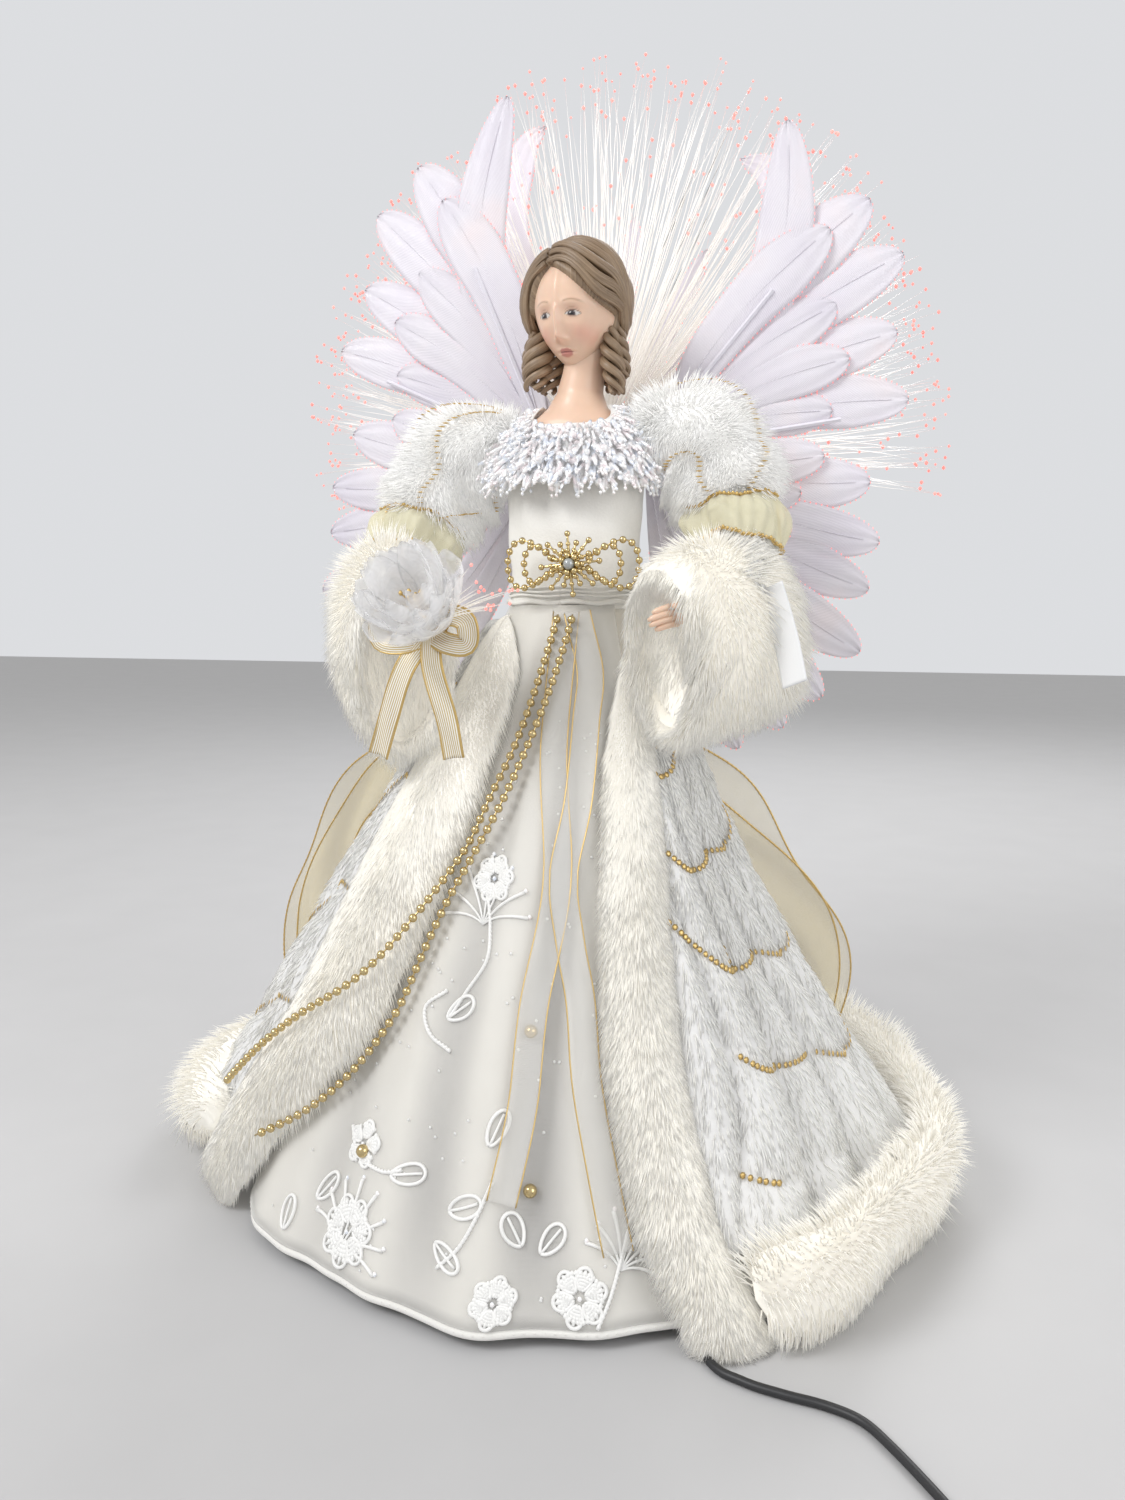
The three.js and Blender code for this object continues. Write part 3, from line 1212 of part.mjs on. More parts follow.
function makeCoil() {
  const steps = Math.round(coilStepCount * coilTurns)
  const line = Array.from({ length: steps + 1 }, (_, step) => coilPoint((coilTurns * step) / steps))
  const before = line[0].clone().add(point(0, 2 * cordRadius, 0))
  const heading = point(0, 1, 0)
  const after = line[steps].clone().addScaledVector(heading, 2 * cordRadius)
  const path = [before, ...line, after]
  const rings = path.map((centre, index) => {
    const fixed = index < 2 || index > path.length - 3
    const turn = coilStart - (fullTurn * coilTurns * (index - 1)) / steps
    const end = index < 2 ? coilStart : coilStart - fullTurn * coilTurns
    const facing = fixed ? end : turn
    const outward = point(Math.cos(facing), Math.sin(facing), 0)
    return Array.from({ length: coilSideCount }, (_, side) => {
      const angle = (fullTurn * (side + 0.5)) / coilSideCount
      return centre.clone()
        .addScaledVector(outward, cordRadius * Math.cos(angle))
        .add(point(0, 0, cordRadius * Math.sin(angle)))
    })
  })
  piece('cord_coil', ringBody(rings), finishes.cord(), topper)
  let least = Infinity
  const turnSteps = Math.round(coilStepCount / 2)
  for (let a = 0; a < path.length; a += 1) {
    for (let b = a + turnSteps; b < path.length; b += 1) least = Math.min(least, path[a].distanceTo(path[b]))
  }
  console.log(`coil: least gap to itself ${(least - 2 * cordRadius).toFixed(2)} mm`)
  return { before, after }
}

function makeLead() {
  const { before, after } = makeCoil()
  const route = new THREE.CatmullRomCurve3([
    cordEnd,
    cordEnd.clone().addScaledVector(exitDirection, 3 * cordRadius),
    point(85, -131, floorLine),
    point(96, -137.5, floorLine),
    point(108, -140, floorLine),
    point(120, -141.5, floorLine),
    point(130, -145, floorLine),
    point(138, -153, floorLine),
    point(149, -167, floorLine),
    point(158, -180, floorLine),
    point(164.5, -193, floorLine),
    before.clone().add(point(-1.6, 13, 0)),
    before.clone().add(point(0, 3 * cordRadius, 0)),
    before.clone().add(point(0, seat, 0))
  ])
  piece('power_cord', cordTube(route, cordRadius, cordSideCount, 38), finishes.cord(), topper)

  const plugRest = after.z + cordRadius + plugRadius + seat
  const plugStart = point(coilCentre.x - 1, coilCentre.y + 16, plugRest)
  const plugEnd = point(coilCentre.x + 2, coilCentre.y - 16, plugRest)
  const plugAxis = plugEnd.clone().sub(plugStart).normalize()
  const tail = new THREE.CatmullRomCurve3([
    after.clone().add(point(0, seat, 0)),
    after.clone().add(point(0, 4, 0.3)),
    after.clone().add(point(2.5, 12, 1.6)),
    after.clone().add(point(8.5, 18, 3.6)),
    after.clone().add(point(16.5, 19.5, 5.4)),
    plugStart.clone().addScaledVector(plugAxis, -5),
    plugStart.clone().addScaledVector(plugAxis, -seat)
  ])
  piece('cord_tail', cordTube(tail, cordRadius, cordSideCount, 10), finishes.cord(), topper)
  const plugTip = plugLength + barrelLength
  const profile = [[0, 0], [cordRadius * 1.29, 0], [plugRadius * 0.71, plugLength * 0.35],
    [plugRadius, plugLength * 0.4],
    [plugRadius, plugLength], [barrelRadius, plugLength], [barrelRadius, plugTip], [barrelBore, plugTip],
    [barrelBore, plugTip - barrelBoreDepth], [0, plugTip - barrelBoreDepth]]
  const plug = turned(profile, 12)
    .applyQuaternion(new THREE.Quaternion().setFromUnitVectors(point(0, 0, 1), plugAxis))
    .translate(plugStart.x, plugStart.y, plugStart.z)
  piece('dc_plug', plug, finishes.metal(), topper)
}

makeBase()
makeLight()
makeInnerLead()
piece('fiber_bundle', taperedTube(bundleCurve, 10, 7, () => square(bundleRadius)), finishes.fibre())
makeTorso()
makeHead()
makeGown()
makeHemFur()
makeFringe()
makeBrooch()
skirtRibbon('left', clothGap)
skirtRibbon('right', 2 * clothGap + ribbonThickness)
for (const name of ['upper', 'lower']) makeBeadStrand(name)
const cuffCutters = {}
for (const side of ['left', 'right']) {
  makeArm(side)
  cuffCutters[side] = makeCuff(side, makeSleeve(side))
  makeBorder(side, cuffCutters[side])
  makeStreamer(side)
  makeWing(side)
}
makeCoat(Object.values(cuffCutters))
makeBouquet()
makeWingBracket()
makeFan()
makePlumes()
makeLead()

export default topper
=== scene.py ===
import bpy
import numpy as np
from mathutils import Matrix


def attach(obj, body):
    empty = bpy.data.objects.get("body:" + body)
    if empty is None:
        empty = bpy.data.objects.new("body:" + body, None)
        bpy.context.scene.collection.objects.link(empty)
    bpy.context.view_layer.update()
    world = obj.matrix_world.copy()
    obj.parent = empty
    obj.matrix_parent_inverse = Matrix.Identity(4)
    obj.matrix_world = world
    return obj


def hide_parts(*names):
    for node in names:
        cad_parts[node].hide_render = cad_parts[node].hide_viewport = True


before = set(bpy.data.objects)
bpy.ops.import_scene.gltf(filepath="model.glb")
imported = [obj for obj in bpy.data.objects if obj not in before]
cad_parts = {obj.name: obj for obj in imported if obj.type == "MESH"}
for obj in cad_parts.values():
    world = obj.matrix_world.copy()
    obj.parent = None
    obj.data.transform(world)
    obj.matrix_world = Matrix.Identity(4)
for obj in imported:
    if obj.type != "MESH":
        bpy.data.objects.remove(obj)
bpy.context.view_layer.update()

pi = np.pi
figureOffset = np.array([12.0, -7.0, 0.0])
waistHeight = 228.0
sideNames = {-1: "left", 1: "right"}


def point(x, y, z):
    return np.array([x, y, z], float)


def unit(vectors):
    return vectors / np.maximum(np.linalg.norm(vectors, axis=-1, keepdims=True), 1e-9)


def mix(a, b, share):
    return a + (b - a) * share


def smooth(value, low, high):
    share = np.clip((value - low) / (high - low), 0, 1)
    return share * share * (3 - 2 * share)


def hill(value, centre, width):
    return np.exp(-(((value - centre) / width) ** 2))


# A soft random field: a sum of sine waves in random directions, about -1 to 1
def field(points, size, seed):
    draw = np.random.default_rng(seed)
    waves, total = 7, 0
    for _ in range(waves):
        way = unit(draw.normal(size=3)) * 2 * pi / (size * draw.uniform(0.6, 1.6))
        total = total + np.sin(points @ way + draw.uniform(0, 2 * pi))
    return total / waves * 1.6


# How far along a line each of its points is
def travelled(line):
    return np.concatenate([[0], np.cumsum(np.linalg.norm(np.diff(line, axis=0), axis=1))])


def lineLength(line):
    return np.linalg.norm(np.diff(line, axis=0), axis=1).sum()


# The points of a line at some distances along it
def atDistances(line, distances):
    travel = travelled(line)
    return np.stack([np.interp(distances, travel, line[:, i]) for i in range(line.shape[1])], axis=1)


# The way out from a middle line at an angle round it, from the line's two side directions
def ringWay(turn, side, other, flat=1.0):
    return np.cos(turn)[..., None] * side + flat * np.sin(turn)[..., None] * other


# A point on an oval round a middle, with a half size across and one upwards
def onOval(middle, across, upward, wide, tall, turn):
    return middle + across * (wide * np.cos(turn))[..., None] + upward * (tall * np.sin(turn))[..., None]


# putting worked-out surfaces into meshes

def signedVolume(points, quads, triangles):
    faces = np.concatenate([quads[:, [0, 1, 2]], quads[:, [0, 2, 3]], triangles])
    a, b, c = (points[faces[:, i]] for i in range(3))
    return np.einsum("ij,ij->i", a, np.cross(b, c)).sum()


noTriangles = np.zeros((0, 3), int)


# A body is points, quads, triangles, and a uv pair and tone for each point; its faces look outwards
def body(points, quads, triangles=noTriangles, uv=None):
    points = np.asarray(points, float).reshape(-1, 3)
    uv = np.zeros((len(points), 2)) if uv is None else uv
    if signedVolume(points - points.mean(0), quads, triangles) < 0:
        quads, triangles = quads[:, ::-1], triangles[:, ::-1]
    return points, quads, triangles, uv, np.full(len(points), 0.5)


# Joins bodies into one: the faces of each count on from the points before it
def together(bodies):
    first = np.cumsum([0] + [len(each[0]) for each in bodies[:-1]])
    shifts = (0 * first, first, first, 0 * first, 0 * first)
    return tuple(np.concatenate([each[i] + n for each, n in zip(bodies, shifts[i])]) for i in range(5))


def placed(name, data):
    thing = bpy.data.objects.new(name, data)
    bpy.context.scene.collection.objects.link(thing)
    return thing


def putPiece(name, parts, finish, rides="figure", replaces=(), free=False, colours=None):
    points, quads, triangles, uv, tone = together(parts) if isinstance(parts, list) else parts
    place = (points + (0 if free else figureOffset)) * 0.001
    mesh = bpy.data.meshes.new(name)
    corners = np.concatenate([quads.ravel(), triangles.ravel()]).astype(np.int32)
    starts = np.concatenate([np.arange(len(quads)) * 4, len(quads) * 4 + np.arange(len(triangles)) * 3])
    mesh.vertices.add(len(place))
    mesh.vertices.foreach_set("co", place.ravel())
    mesh.loops.add(len(corners))
    mesh.loops.foreach_set("vertex_index", corners)
    mesh.polygons.add(len(starts))
    mesh.polygons.foreach_set("loop_start", starts.astype(np.int32))
    mesh.update(calc_edges=True)
    mesh.validate()
    mesh.polygons.foreach_set("use_smooth", np.full(len(starts), True))
    mesh.uv_layers.new(name="UVMap").data.foreach_set("uv", uv[corners].ravel())
    mesh.attributes.new("tone", "FLOAT", "POINT").data.foreach_set("value", tone)
    if colours is not None:
        rgba = np.concatenate([colours, np.ones((len(colours), 1))], axis=1)
        mesh.attributes.new("paint", "FLOAT_COLOR", "POINT").data.foreach_set("color", rgba.ravel())
    mesh.materials.append(finish)
    piece = placed(name, mesh)
    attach(piece, rides)
    if replaces:
        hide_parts(*replaces)
    return piece


# Says how a cloth was cut: its flat area is half of its mesh's, which has two faces
def cutCloth(piece, wide, long):
    areas = np.empty(len(piece.data.polygons))
    piece.data.polygons.foreach_get("area", areas)
    area = float(areas.sum() / 2)
    long = area / wide if long is None else long
    print("cut", piece.name, round(wide * 1000), "by", round(long * 1000), "mm")


def gridQuads(columns, rows, wrap):
    across = columns if wrap else columns + 1
    u, v = np.meshgrid(np.arange(columns), np.arange(rows), indexing="ij")
    u, v = u.ravel(), v.ravel()
    nextU = (u + 1) % across
    low, high = v * across, (v + 1) * across
    return np.stack([low + u, low + nextU, high + nextU, high + u], axis=1)


def gridOf(columns, rows, wrap):
    u = np.arange(columns if wrap else columns + 1) / columns
    v = np.arange(rows + 1) / rows
    return np.meshgrid(u, v)


# A sheet with thickness: outer and inner are functions of u and v that give points on a grid
def sheetBody(outer, inner, columns, rows, wrap=False, uvSize=(1, 1)):
    u, v = gridOf(columns, rows, wrap)
    across = u.shape[1]
    face = gridQuads(columns, rows, wrap)
    count = u.size

    def edge(a, b, turn):
        return np.stack([a, a + count, b + count, b], axis=1)[:, ::turn]
    column, line = np.arange(columns), np.arange(rows)
    following = (column + 1) % across
    edges = [edge(row * across + column, row * across + following, turn)
             for row, turn in ((0, 1), (rows, -1))]
    if not wrap:
        edges += [edge(line * across + side, (line + 1) * across + side, turn)
                  for side, turn in ((0, -1), (columns, 1))]
    quads = np.concatenate([face, face[:, ::-1] + count] + edges)
    uv = np.stack([u * uvSize[0], v * uvSize[1]], axis=-1).reshape(-1, 2)
    points = np.concatenate([outer(u, v).reshape(-1, 3), inner(u, v).reshape(-1, 3)])
    return body(points, quads, uv=np.concatenate([uv, uv]))


# A solid skin round a ring of u, closed at both ends of v by a middle point
def closedBody(surface, columns, rows, uvSize=(1, 1)):
    u, v = gridOf(columns, rows, True)
    points = surface(u, v)
    count = u.size
    column = np.arange(columns)
    following = (column + 1) % columns
    last = rows * columns
    foot = np.stack([np.full(columns, count), following, column], axis=1)
    top = np.stack([np.full(columns, count + 1), last + column, last + following], axis=1)
    ends = np.stack([points[0].mean(0), points[-1].mean(0)])
    uv = np.stack([u * uvSize[0], v * uvSize[1]], axis=-1).reshape(-1, 2)
    uv = np.concatenate([uv, [[0.5, 0], [0.5, uvSize[1]]]])
    return body(np.concatenate([points.reshape(-1, 3), ends]), gridQuads(columns, rows, True),
                np.concatenate([foot, top]), uv)


# Frames along a line of points: the side direction is carried from each step to the next
def carriedFrames(line, first=None):
    along = unit(np.gradient(line, axis=0))
    start = point(0, 0, 1) if first is None else first
    if abs(along[0] @ start) > 0.9:
        start = point(1, 0, 0)
    side = np.empty_like(line)
    current = start
    for step, tangent in enumerate(along):
        current = unit(current - tangent * (current @ tangent))
        side[step] = current
    return along, side, np.cross(along, side)


def tube(line, radius, sides=8, flat=1.0, first=None):
    line = np.asarray(line, float)
    radius = np.broadcast_to(np.asarray(radius, float), len(line))
    _, side, other = carriedFrames(line, first)

    def surface(u, v):
        step = np.round(v * (len(line) - 1)).astype(int)
        return line[step] + radius[step][..., None] * ringWay(2 * pi * u, side[step], other[step], flat)

    return closedBody(surface, sides, len(line) - 1, (2 * pi * radius.mean(), travelled(line)[-1]))


# A smooth line through given points, by cubic pieces, at an even spacing
def smoothLine(knots, count):
    knots = np.asarray(knots, float)
    ends = np.concatenate([[2 * knots[0] - knots[1]], knots, [2 * knots[-1] - knots[-2]]])
    place = np.linspace(0, len(knots) - 1 - 1e-9, 12 * count)
    index = place.astype(int)
    t = (place - index)[:, None]
    a, b, c, d = (ends[index + i] for i in range(4))
    square, cube = 2 * a - 5 * b + 4 * c - d, 3 * b - a - 3 * c + d
    line = 0.5 * (2 * b + (c - a) * t + square * t ** 2 + cube * t ** 3)
    return atDistances(line, np.linspace(0, travelled(line)[-1], count))


# Copies of one small shape at many places, turned by a frame of three directions each
def scatter(shape, places, frames=None, sizes=1.0):
    points, quads, triangles, uv, _ = shape
    places = np.asarray(places, float).reshape(-1, 3)
    sizes = np.broadcast_to(sizes, len(places))[:, None, None]
    local = np.broadcast_to(points, (len(places),) + points.shape) * sizes
    if frames is not None:
        local = np.einsum("npk,nkj->npj", local, frames)
    step = (np.arange(len(places)) * len(points))[:, None, None]
    tone = np.full(len(places) * len(points), 0.5)
    return ((local + places[:, None]).reshape(-1, 3), (quads + step).reshape(-1, 4),
            (triangles + step).reshape(-1, 3), np.tile(uv, (len(places), 1)), tone)


def ballShape(columns=6, rows=4):
    def surface(u, v):
        fall = pi * mix(0.12, 0.88, v)
        x, y = np.sin(fall) * np.cos(2 * pi * u), np.sin(fall) * np.sin(2 * pi * u)
        return np.stack([x, y, -np.cos(fall)], axis=-1)
    made = closedBody(surface, columns, rows - 2)
    made[0][-2:] = (0, 0, -1), (0, 0, 1)
    return made


ball = ballShape()
disc = (ballShape(7, 4)[0] * point(1, 1, 0.18),) + ballShape(7, 4)[1:]
lightDot = ballShape(4, 3)


def evenAlong(line, pitch):
    return atDistances(line, np.arange(pitch / 2, travelled(line)[-1], pitch))


# Frames whose third direction is the given one and whose second is as upright as it can be
def facing(directions):
    out = unit(directions)
    guide = np.broadcast_to(point(0, 0, 1), out.shape)
    guide = np.where(np.abs((out * guide).sum(-1, keepdims=True)) > 0.95, point(1, 0, 0.1), guide)
    side = unit(np.cross(guide, out))
    return np.stack([side, np.cross(out, side), out], axis=-2)


# A round plate that faces the front: its rim tapers towards the back
def plate(x, z, radius, front, thickness, sides, taper=1.0):
    def surface(u, v):
        size = mix(1, taper, v)
        return np.stack([x + radius * np.cos(2 * pi * u) * size, front + thickness * v,
                         z + radius * np.sin(2 * pi * u) * size], axis=-1)
    return closedBody(surface, sides, 2)


hairSteps = (0, 0.5, 1.0)


# Fur: each hair is a thin three-sided spike that follows a bent path, gathered into locks
def hairBody(paths, radii, tone):
    count, levels = paths.shape[:2]
    along = unit(np.gradient(paths, axis=1))
    guide = np.where(np.abs(along[..., 2:]) < 0.9, point(0, 0, 1), point(1, 0, 0))
    side = unit(np.cross(along, guide))
    other = np.cross(along, side)
    turn = np.arange(3) * 2 * pi / 3
    ring = (paths[:, :-1, None] + radii[None, :-1, None, None]
            * (np.cos(turn)[:, None] * side[:, :-1, None] + np.sin(turn)[:, None] * other[:, :-1, None]))
    points = np.concatenate([ring.reshape(count, -1, 3), paths[:, -1:]], axis=1)
    each = points.shape[1]
    base = (np.arange(count) * each)[:, None, None]
    rows, edge = np.meshgrid(np.arange(levels - 2), np.arange(3), indexing="ij")
    rows, edge = rows.ravel(), edge.ravel()
    following = (edge + 1) % 3
    low, high = rows * 3, rows * 3 + 3
    quads = np.stack([low + edge, low + following, high + following, high + edge], axis=1)
    last, tip = (levels - 2) * 3, each - 1
    caps = np.array([[2, 1, 0], [last, last + 1, tip], [last + 1, last + 2, tip], [last + 2, last, tip]])
    rise = np.repeat(np.arange(levels) / (levels - 1), [3] * (levels - 1) + [1])
    uv = np.stack(np.broadcast_arrays(tone[:, None], rise), axis=-1)
    made = points.reshape(-1, 3), (quads + base).reshape(-1, 4), (caps + base).reshape(-1, 3)
    if signedVolume(points[0], quads, caps) < 0:
        made = made[0], made[1][:, ::-1], made[2][:, ::-1]
    return made + (uv.reshape(-1, 2), np.repeat(tone, each))


# Leaves only the part of some directions that lies along the skin
def alongSkin(directions, out):
    return directions - out * (directions * out).sum(-1, keepdims=True)


# A fur says its hairs' length and radius, how deep under the skin their roots are, the size of the locks, the
# lean downwards, how wild the hairs are, how much the locks sway and how lumpy the skin is. surface(u, v) and
# core(u, v) give the skin and its middle line; hairs point away from the core, over spans of u and v
def furBody(surface, core, columns, rows, fur, seed, uSpan=(0, 1), vSpan=(0, 1)):
    draw = np.random.default_rng(seed)
    u, v = np.meshgrid(np.arange(columns), np.arange(rows))
    u = mix(*uSpan, ((u + draw.uniform(0, 1, u.shape)) / columns).ravel())
    v = mix(*vSpan, ((v + draw.uniform(0, 1, v.shape)) / rows).ravel())
    root = surface(u, v)
    out = unit(root - core(u, v))
    root = root - out * fur["under"]
    length = fur["length"] * draw.uniform(0.65, 1.1, len(u))
    length = length * (1 + 0.25 * field(root, fur["lock"] * 2.5, seed))
    comb = alongSkin(point(0, 0, -1), out)
    wander = np.stack([field(root, fur["lock"], seed + k) for k in (1, 2, 3)], axis=-1) * 0.55
    wander = alongSkin(wander, out) * fur.get("sway", 1.0)
    own = draw.normal(size=root.shape) * fur["wild"]
    t = np.array(hairSteps)[None, :, None]
    way = unit(out * (1 - fur["lean"]) + comb * fur["lean"] + wander * 0.25)[:, None]
    bend = (comb * 0.4 + wander * 0.4 + own)[:, None]
    paths = root[:, None] + length[:, None, None] * (way * t + bend * t ** 2 * 0.6)
    radii = fur["radius"] * (1 - t.ravel() ** 2)
    locks = 0.28 * field(root, fur["lock"] * 1.5, seed + 9)
    return hairBody(paths, radii, np.clip(0.5 + locks + draw.normal(size=len(u)) * 0.12, 0, 1))


# The closed skin that the hairs of a fur stand on, with low lumps
def underFur(surface, core, columns, rows, fur, seed):
    def skin(u, v):
        outer = surface(u, v)
        out = unit(outer - core(u, v))
        lumps = field(outer, fur["lock"] * 1.4, seed)[..., None]
        return outer - out * (fur["under"] - fur.get("lumps", 0.8) * lumps)
    return closedBody(skin, columns, rows)


# finishes

def nodesOf(material):
    material.use_nodes = True
    return material.node_tree.nodes, material.node_tree.links


def newFinish(name, colour, roughness, metallic=0.0, **sockets):
    material = bpy.data.materials.new(name)
    nodes, _ = nodesOf(material)
    shader = nodes["Principled BSDF"]
    shader.inputs["Base Color"].default_value = (*colour, 1)
    shader.inputs["Roughness"].default_value = roughness
    shader.inputs["Metallic"].default_value = metallic
    for socket, value in sockets.items():
        shader.inputs[socket.replace("_", " ")].default_value = value
    return material


def coordinates(material, kind, size):
    nodes, links = nodesOf(material)
    source = nodes.new("ShaderNodeTexCoord")
    mapping = nodes.new("ShaderNodeMapping")
    mapping.inputs["Scale"].default_value = size if isinstance(size, tuple) else (size, size, size)
    links.new(source.outputs[kind], mapping.inputs["Vector"])
    return mapping.outputs["Vector"]


def pattern(material, kind, where, scale, detail=3.0, **settings):
    nodes, links = nodesOf(material)
    node = nodes.new("ShaderNodeTex" + kind)
    links.new(where, node.inputs["Vector"])
    node.inputs["Scale"].default_value = scale
    if "Detail" in node.inputs:
        node.inputs["Detail"].default_value = detail
    for key, value in settings.items():
        if key in node.inputs:
            node.inputs[key].default_value = value
        else:
            setattr(node, key, value)
    return node.outputs[0]


def ramp(material, value, stops):
    nodes, links = nodesOf(material)
    node = nodes.new("ShaderNodeValToRGB")
    while len(node.color_ramp.elements) < len(stops):
        node.color_ramp.elements.new(0.5)
    for element, (place, colour) in zip(node.color_ramp.elements, stops):
        element.position = place
        element.color = (*colour, 1) if len(colour) == 3 else colour
    links.new(value, node.inputs["Fac"])
    return node.outputs["Color"]


def reading(material, name, output="Fac"):
    nodes, _ = nodesOf(material)
    node = nodes.new("ShaderNodeAttribute")
    node.attribute_name = name
    return node.outputs[output]


def math(material, operation, a, b=0.0):
    nodes, links = nodesOf(material)
    node = nodes.new("ShaderNodeMath")
    node.operation = operation
    for socket, value in zip(node.inputs, (a, b)):
        if isinstance(value, (int, float)):
            socket.default_value = value
        else:
            links.new(value, socket)
    return node.outputs[0]


def blendColours(material, share, a, b, kind="MIX"):
    nodes, links = nodesOf(material)
    node = nodes.new("ShaderNodeMix")
    node.data_type, node.blend_type = "RGBA", kind
    for socket, value in ((node.inputs[0], share), (node.inputs[6], a), (node.inputs[7], b)):
        if isinstance(value, (int, float)):
            socket.default_value = value
        elif isinstance(value, tuple):
            socket.default_value = (*value, 1)
        else:
            links.new(value, socket)
    return node.outputs[2]


def into(material, socket, value):
    nodes, links = nodesOf(material)
    links.new(value, nodes["Principled BSDF"].inputs[socket])


def bumped(material, height, strength, depth):
    nodes, links = nodesOf(material)
    node = nodes.new("ShaderNodeBump")
    node.inputs["Strength"].default_value = strength
    node.inputs["Distance"].default_value = depth
    links.new(height, node.inputs["Height"])
    links.new(node.outputs["Normal"], nodes["Principled BSDF"].inputs["Normal"])


# The second number of a hair's uv pair runs from its root to its tip
def rootToTip(material):
    nodes, links = nodesOf(material)
    split = nodes.new("ShaderNodeSeparateXYZ")
    links.new(coordinates(material, "UV", 1.0), split.inputs[0])
    return split.outputs["Y"]


# Hairs: warmer and darker at the root, lighter at the tip, with each lock a little different. They also glow
# faintly in their tip colour: painted light that lifts the shade between the hairs
def furFinish(name, root, tip, glow):
    made = newFinish(name, tip, 0.85, Sheen_Weight=0.5, Sheen_Roughness=0.5, Emission_Color=(*tip, 1),
                     Emission_Strength=glow)
    colour = blendColours(made, rootToTip(made), root, tip)
    shade = ramp(made, reading(made, "tone"), [(0.0, (0.93, 0.92, 0.89)), (1.0, (1.0, 1.0, 1.0))])
    into(made, "Base Color", blendColours(made, 1.0, colour, shade, "MULTIPLY"))
    return made


# Woven cloth: threads both ways over soft random patches of a slightly darker tint, and painted shade at the
# bottoms of deep folds, read from the tone
def clothFinish(name, colour, threads=1.6, alpha=None, sheen=0.3, roughness=0.75, bump=0.4):
    made = newFinish(name, colour, roughness, Sheen_Weight=sheen)
    where = coordinates(made, "UV", 1.0)
    warp = pattern(made, "Wave", where, threads, 1.0, bands_direction="X", Distortion=0.6)
    weft = pattern(made, "Wave", where, threads, 1.0, bands_direction="Y", Distortion=0.6)
    weave = math(made, "MULTIPLY", warp, weft)
    patches = pattern(made, "Noise", coordinates(made, "Object", 60.0), 1.0, 4.0)
    darker = tuple(c * 0.93 for c in colour)
    # Painted shade: a low tone, at the bottoms of deep folds, darkens the cloth
    paintedFoldShade = ramp(made, reading(made, "tone"), [(0.0, (0.60, 0.60, 0.61)), (0.5, (1.0, 1.0, 1.0))])
    base = blendColours(made, 1.0, blendColours(made, patches, darker, colour), paintedFoldShade, "MULTIPLY")
    into(made, "Base Color", blendColours(made, math(made, "MULTIPLY", weave, 0.25), base, (1.0, 1.0, 1.0)))
    bumped(made, weave, bump, 0.0003)
    if alpha is not None:
        into(made, "Alpha", math(made, "ADD", math(made, "MULTIPLY", weave, 0.35), alpha))
    return made


def grainFinish(name, colour, roughness, scale, depth, metallic=0.0, **sockets):
    made = newFinish(name, colour, roughness, metallic, **sockets)
    grain = pattern(made, "Noise", coordinates(made, "Object", 1000.0), scale, 4.0)
    into(made, "Base Color", blendColours(made, grain, tuple(c * 0.93 for c in colour), colour))
    bumped(made, grain, 0.5, depth)
    return made


# A finish whose colour changes in soft patches of a given size
def patchedFinish(name, colour, roughness, patchScale, stops, **sockets):
    made = newFinish(name, colour, roughness, **sockets)
    patches = pattern(made, "Noise", coordinates(made, "Object", patchScale), 1.0)
    into(made, "Base Color", ramp(made, patches, stops))
    return made


# The last number of each fur is the strength of its glow, painted light that lifts the shade between its
# hairs
plushFinish = furFinish("whitePlush", (0.95, 0.95, 0.95), (0.985, 0.985, 0.985), 0.17)
coatPlush = furFinish("coatPlush", (0.82, 0.82, 0.81), (0.92, 0.92, 0.90), 0.06)
creamFur = furFinish("creamFur", (0.94, 0.91, 0.84), (0.98, 0.965, 0.92), 0.15)
plushSkin = grainFinish("plushSkin", (0.82, 0.82, 0.82), 0.95, 0.35, 0.0006, Sheen_Weight=0.5)
gownCloth = clothFinish("gownCloth", (0.94, 0.90, 0.82), 1.3)
feltCloth = grainFinish("whiteFelt", (0.90, 0.89, 0.86), 0.95, 1.2, 0.0004, Sheen_Weight=0.4)
organzaCloth = clothFinish("goldOrganza", (0.86, 0.73, 0.38), 1.8, 0.12, 0.2, 0.45)
yellowOrganza = clothFinish("yellowOrganza", (0.98, 0.93, 0.66), 3.0, 0.35, 0.2, 0.5, 0.15)
tailOrganza = clothFinish("creamOrganza", (0.97, 0.96, 0.93), 4.0, 0.12, 0.2, 0.45, 0.1)
threadFinish = grainFinish("whiteEmbroidery", (0.95, 0.95, 0.94), 0.45, 1.5, 0.0002, Sheen_Weight=0.3)
goldBeads = grainFinish("goldBeads", (0.66, 0.52, 0.27), 0.2, 0.4, 0.00005, 1.0)
goldThread = grainFinish("goldThread", (0.70, 0.50, 0.20), 0.35, 2.0, 0.0002, 0.9)
blackSheath = grainFinish("blackSheath", (0.025, 0.025, 0.027), 0.45, 0.6, 0.0001)
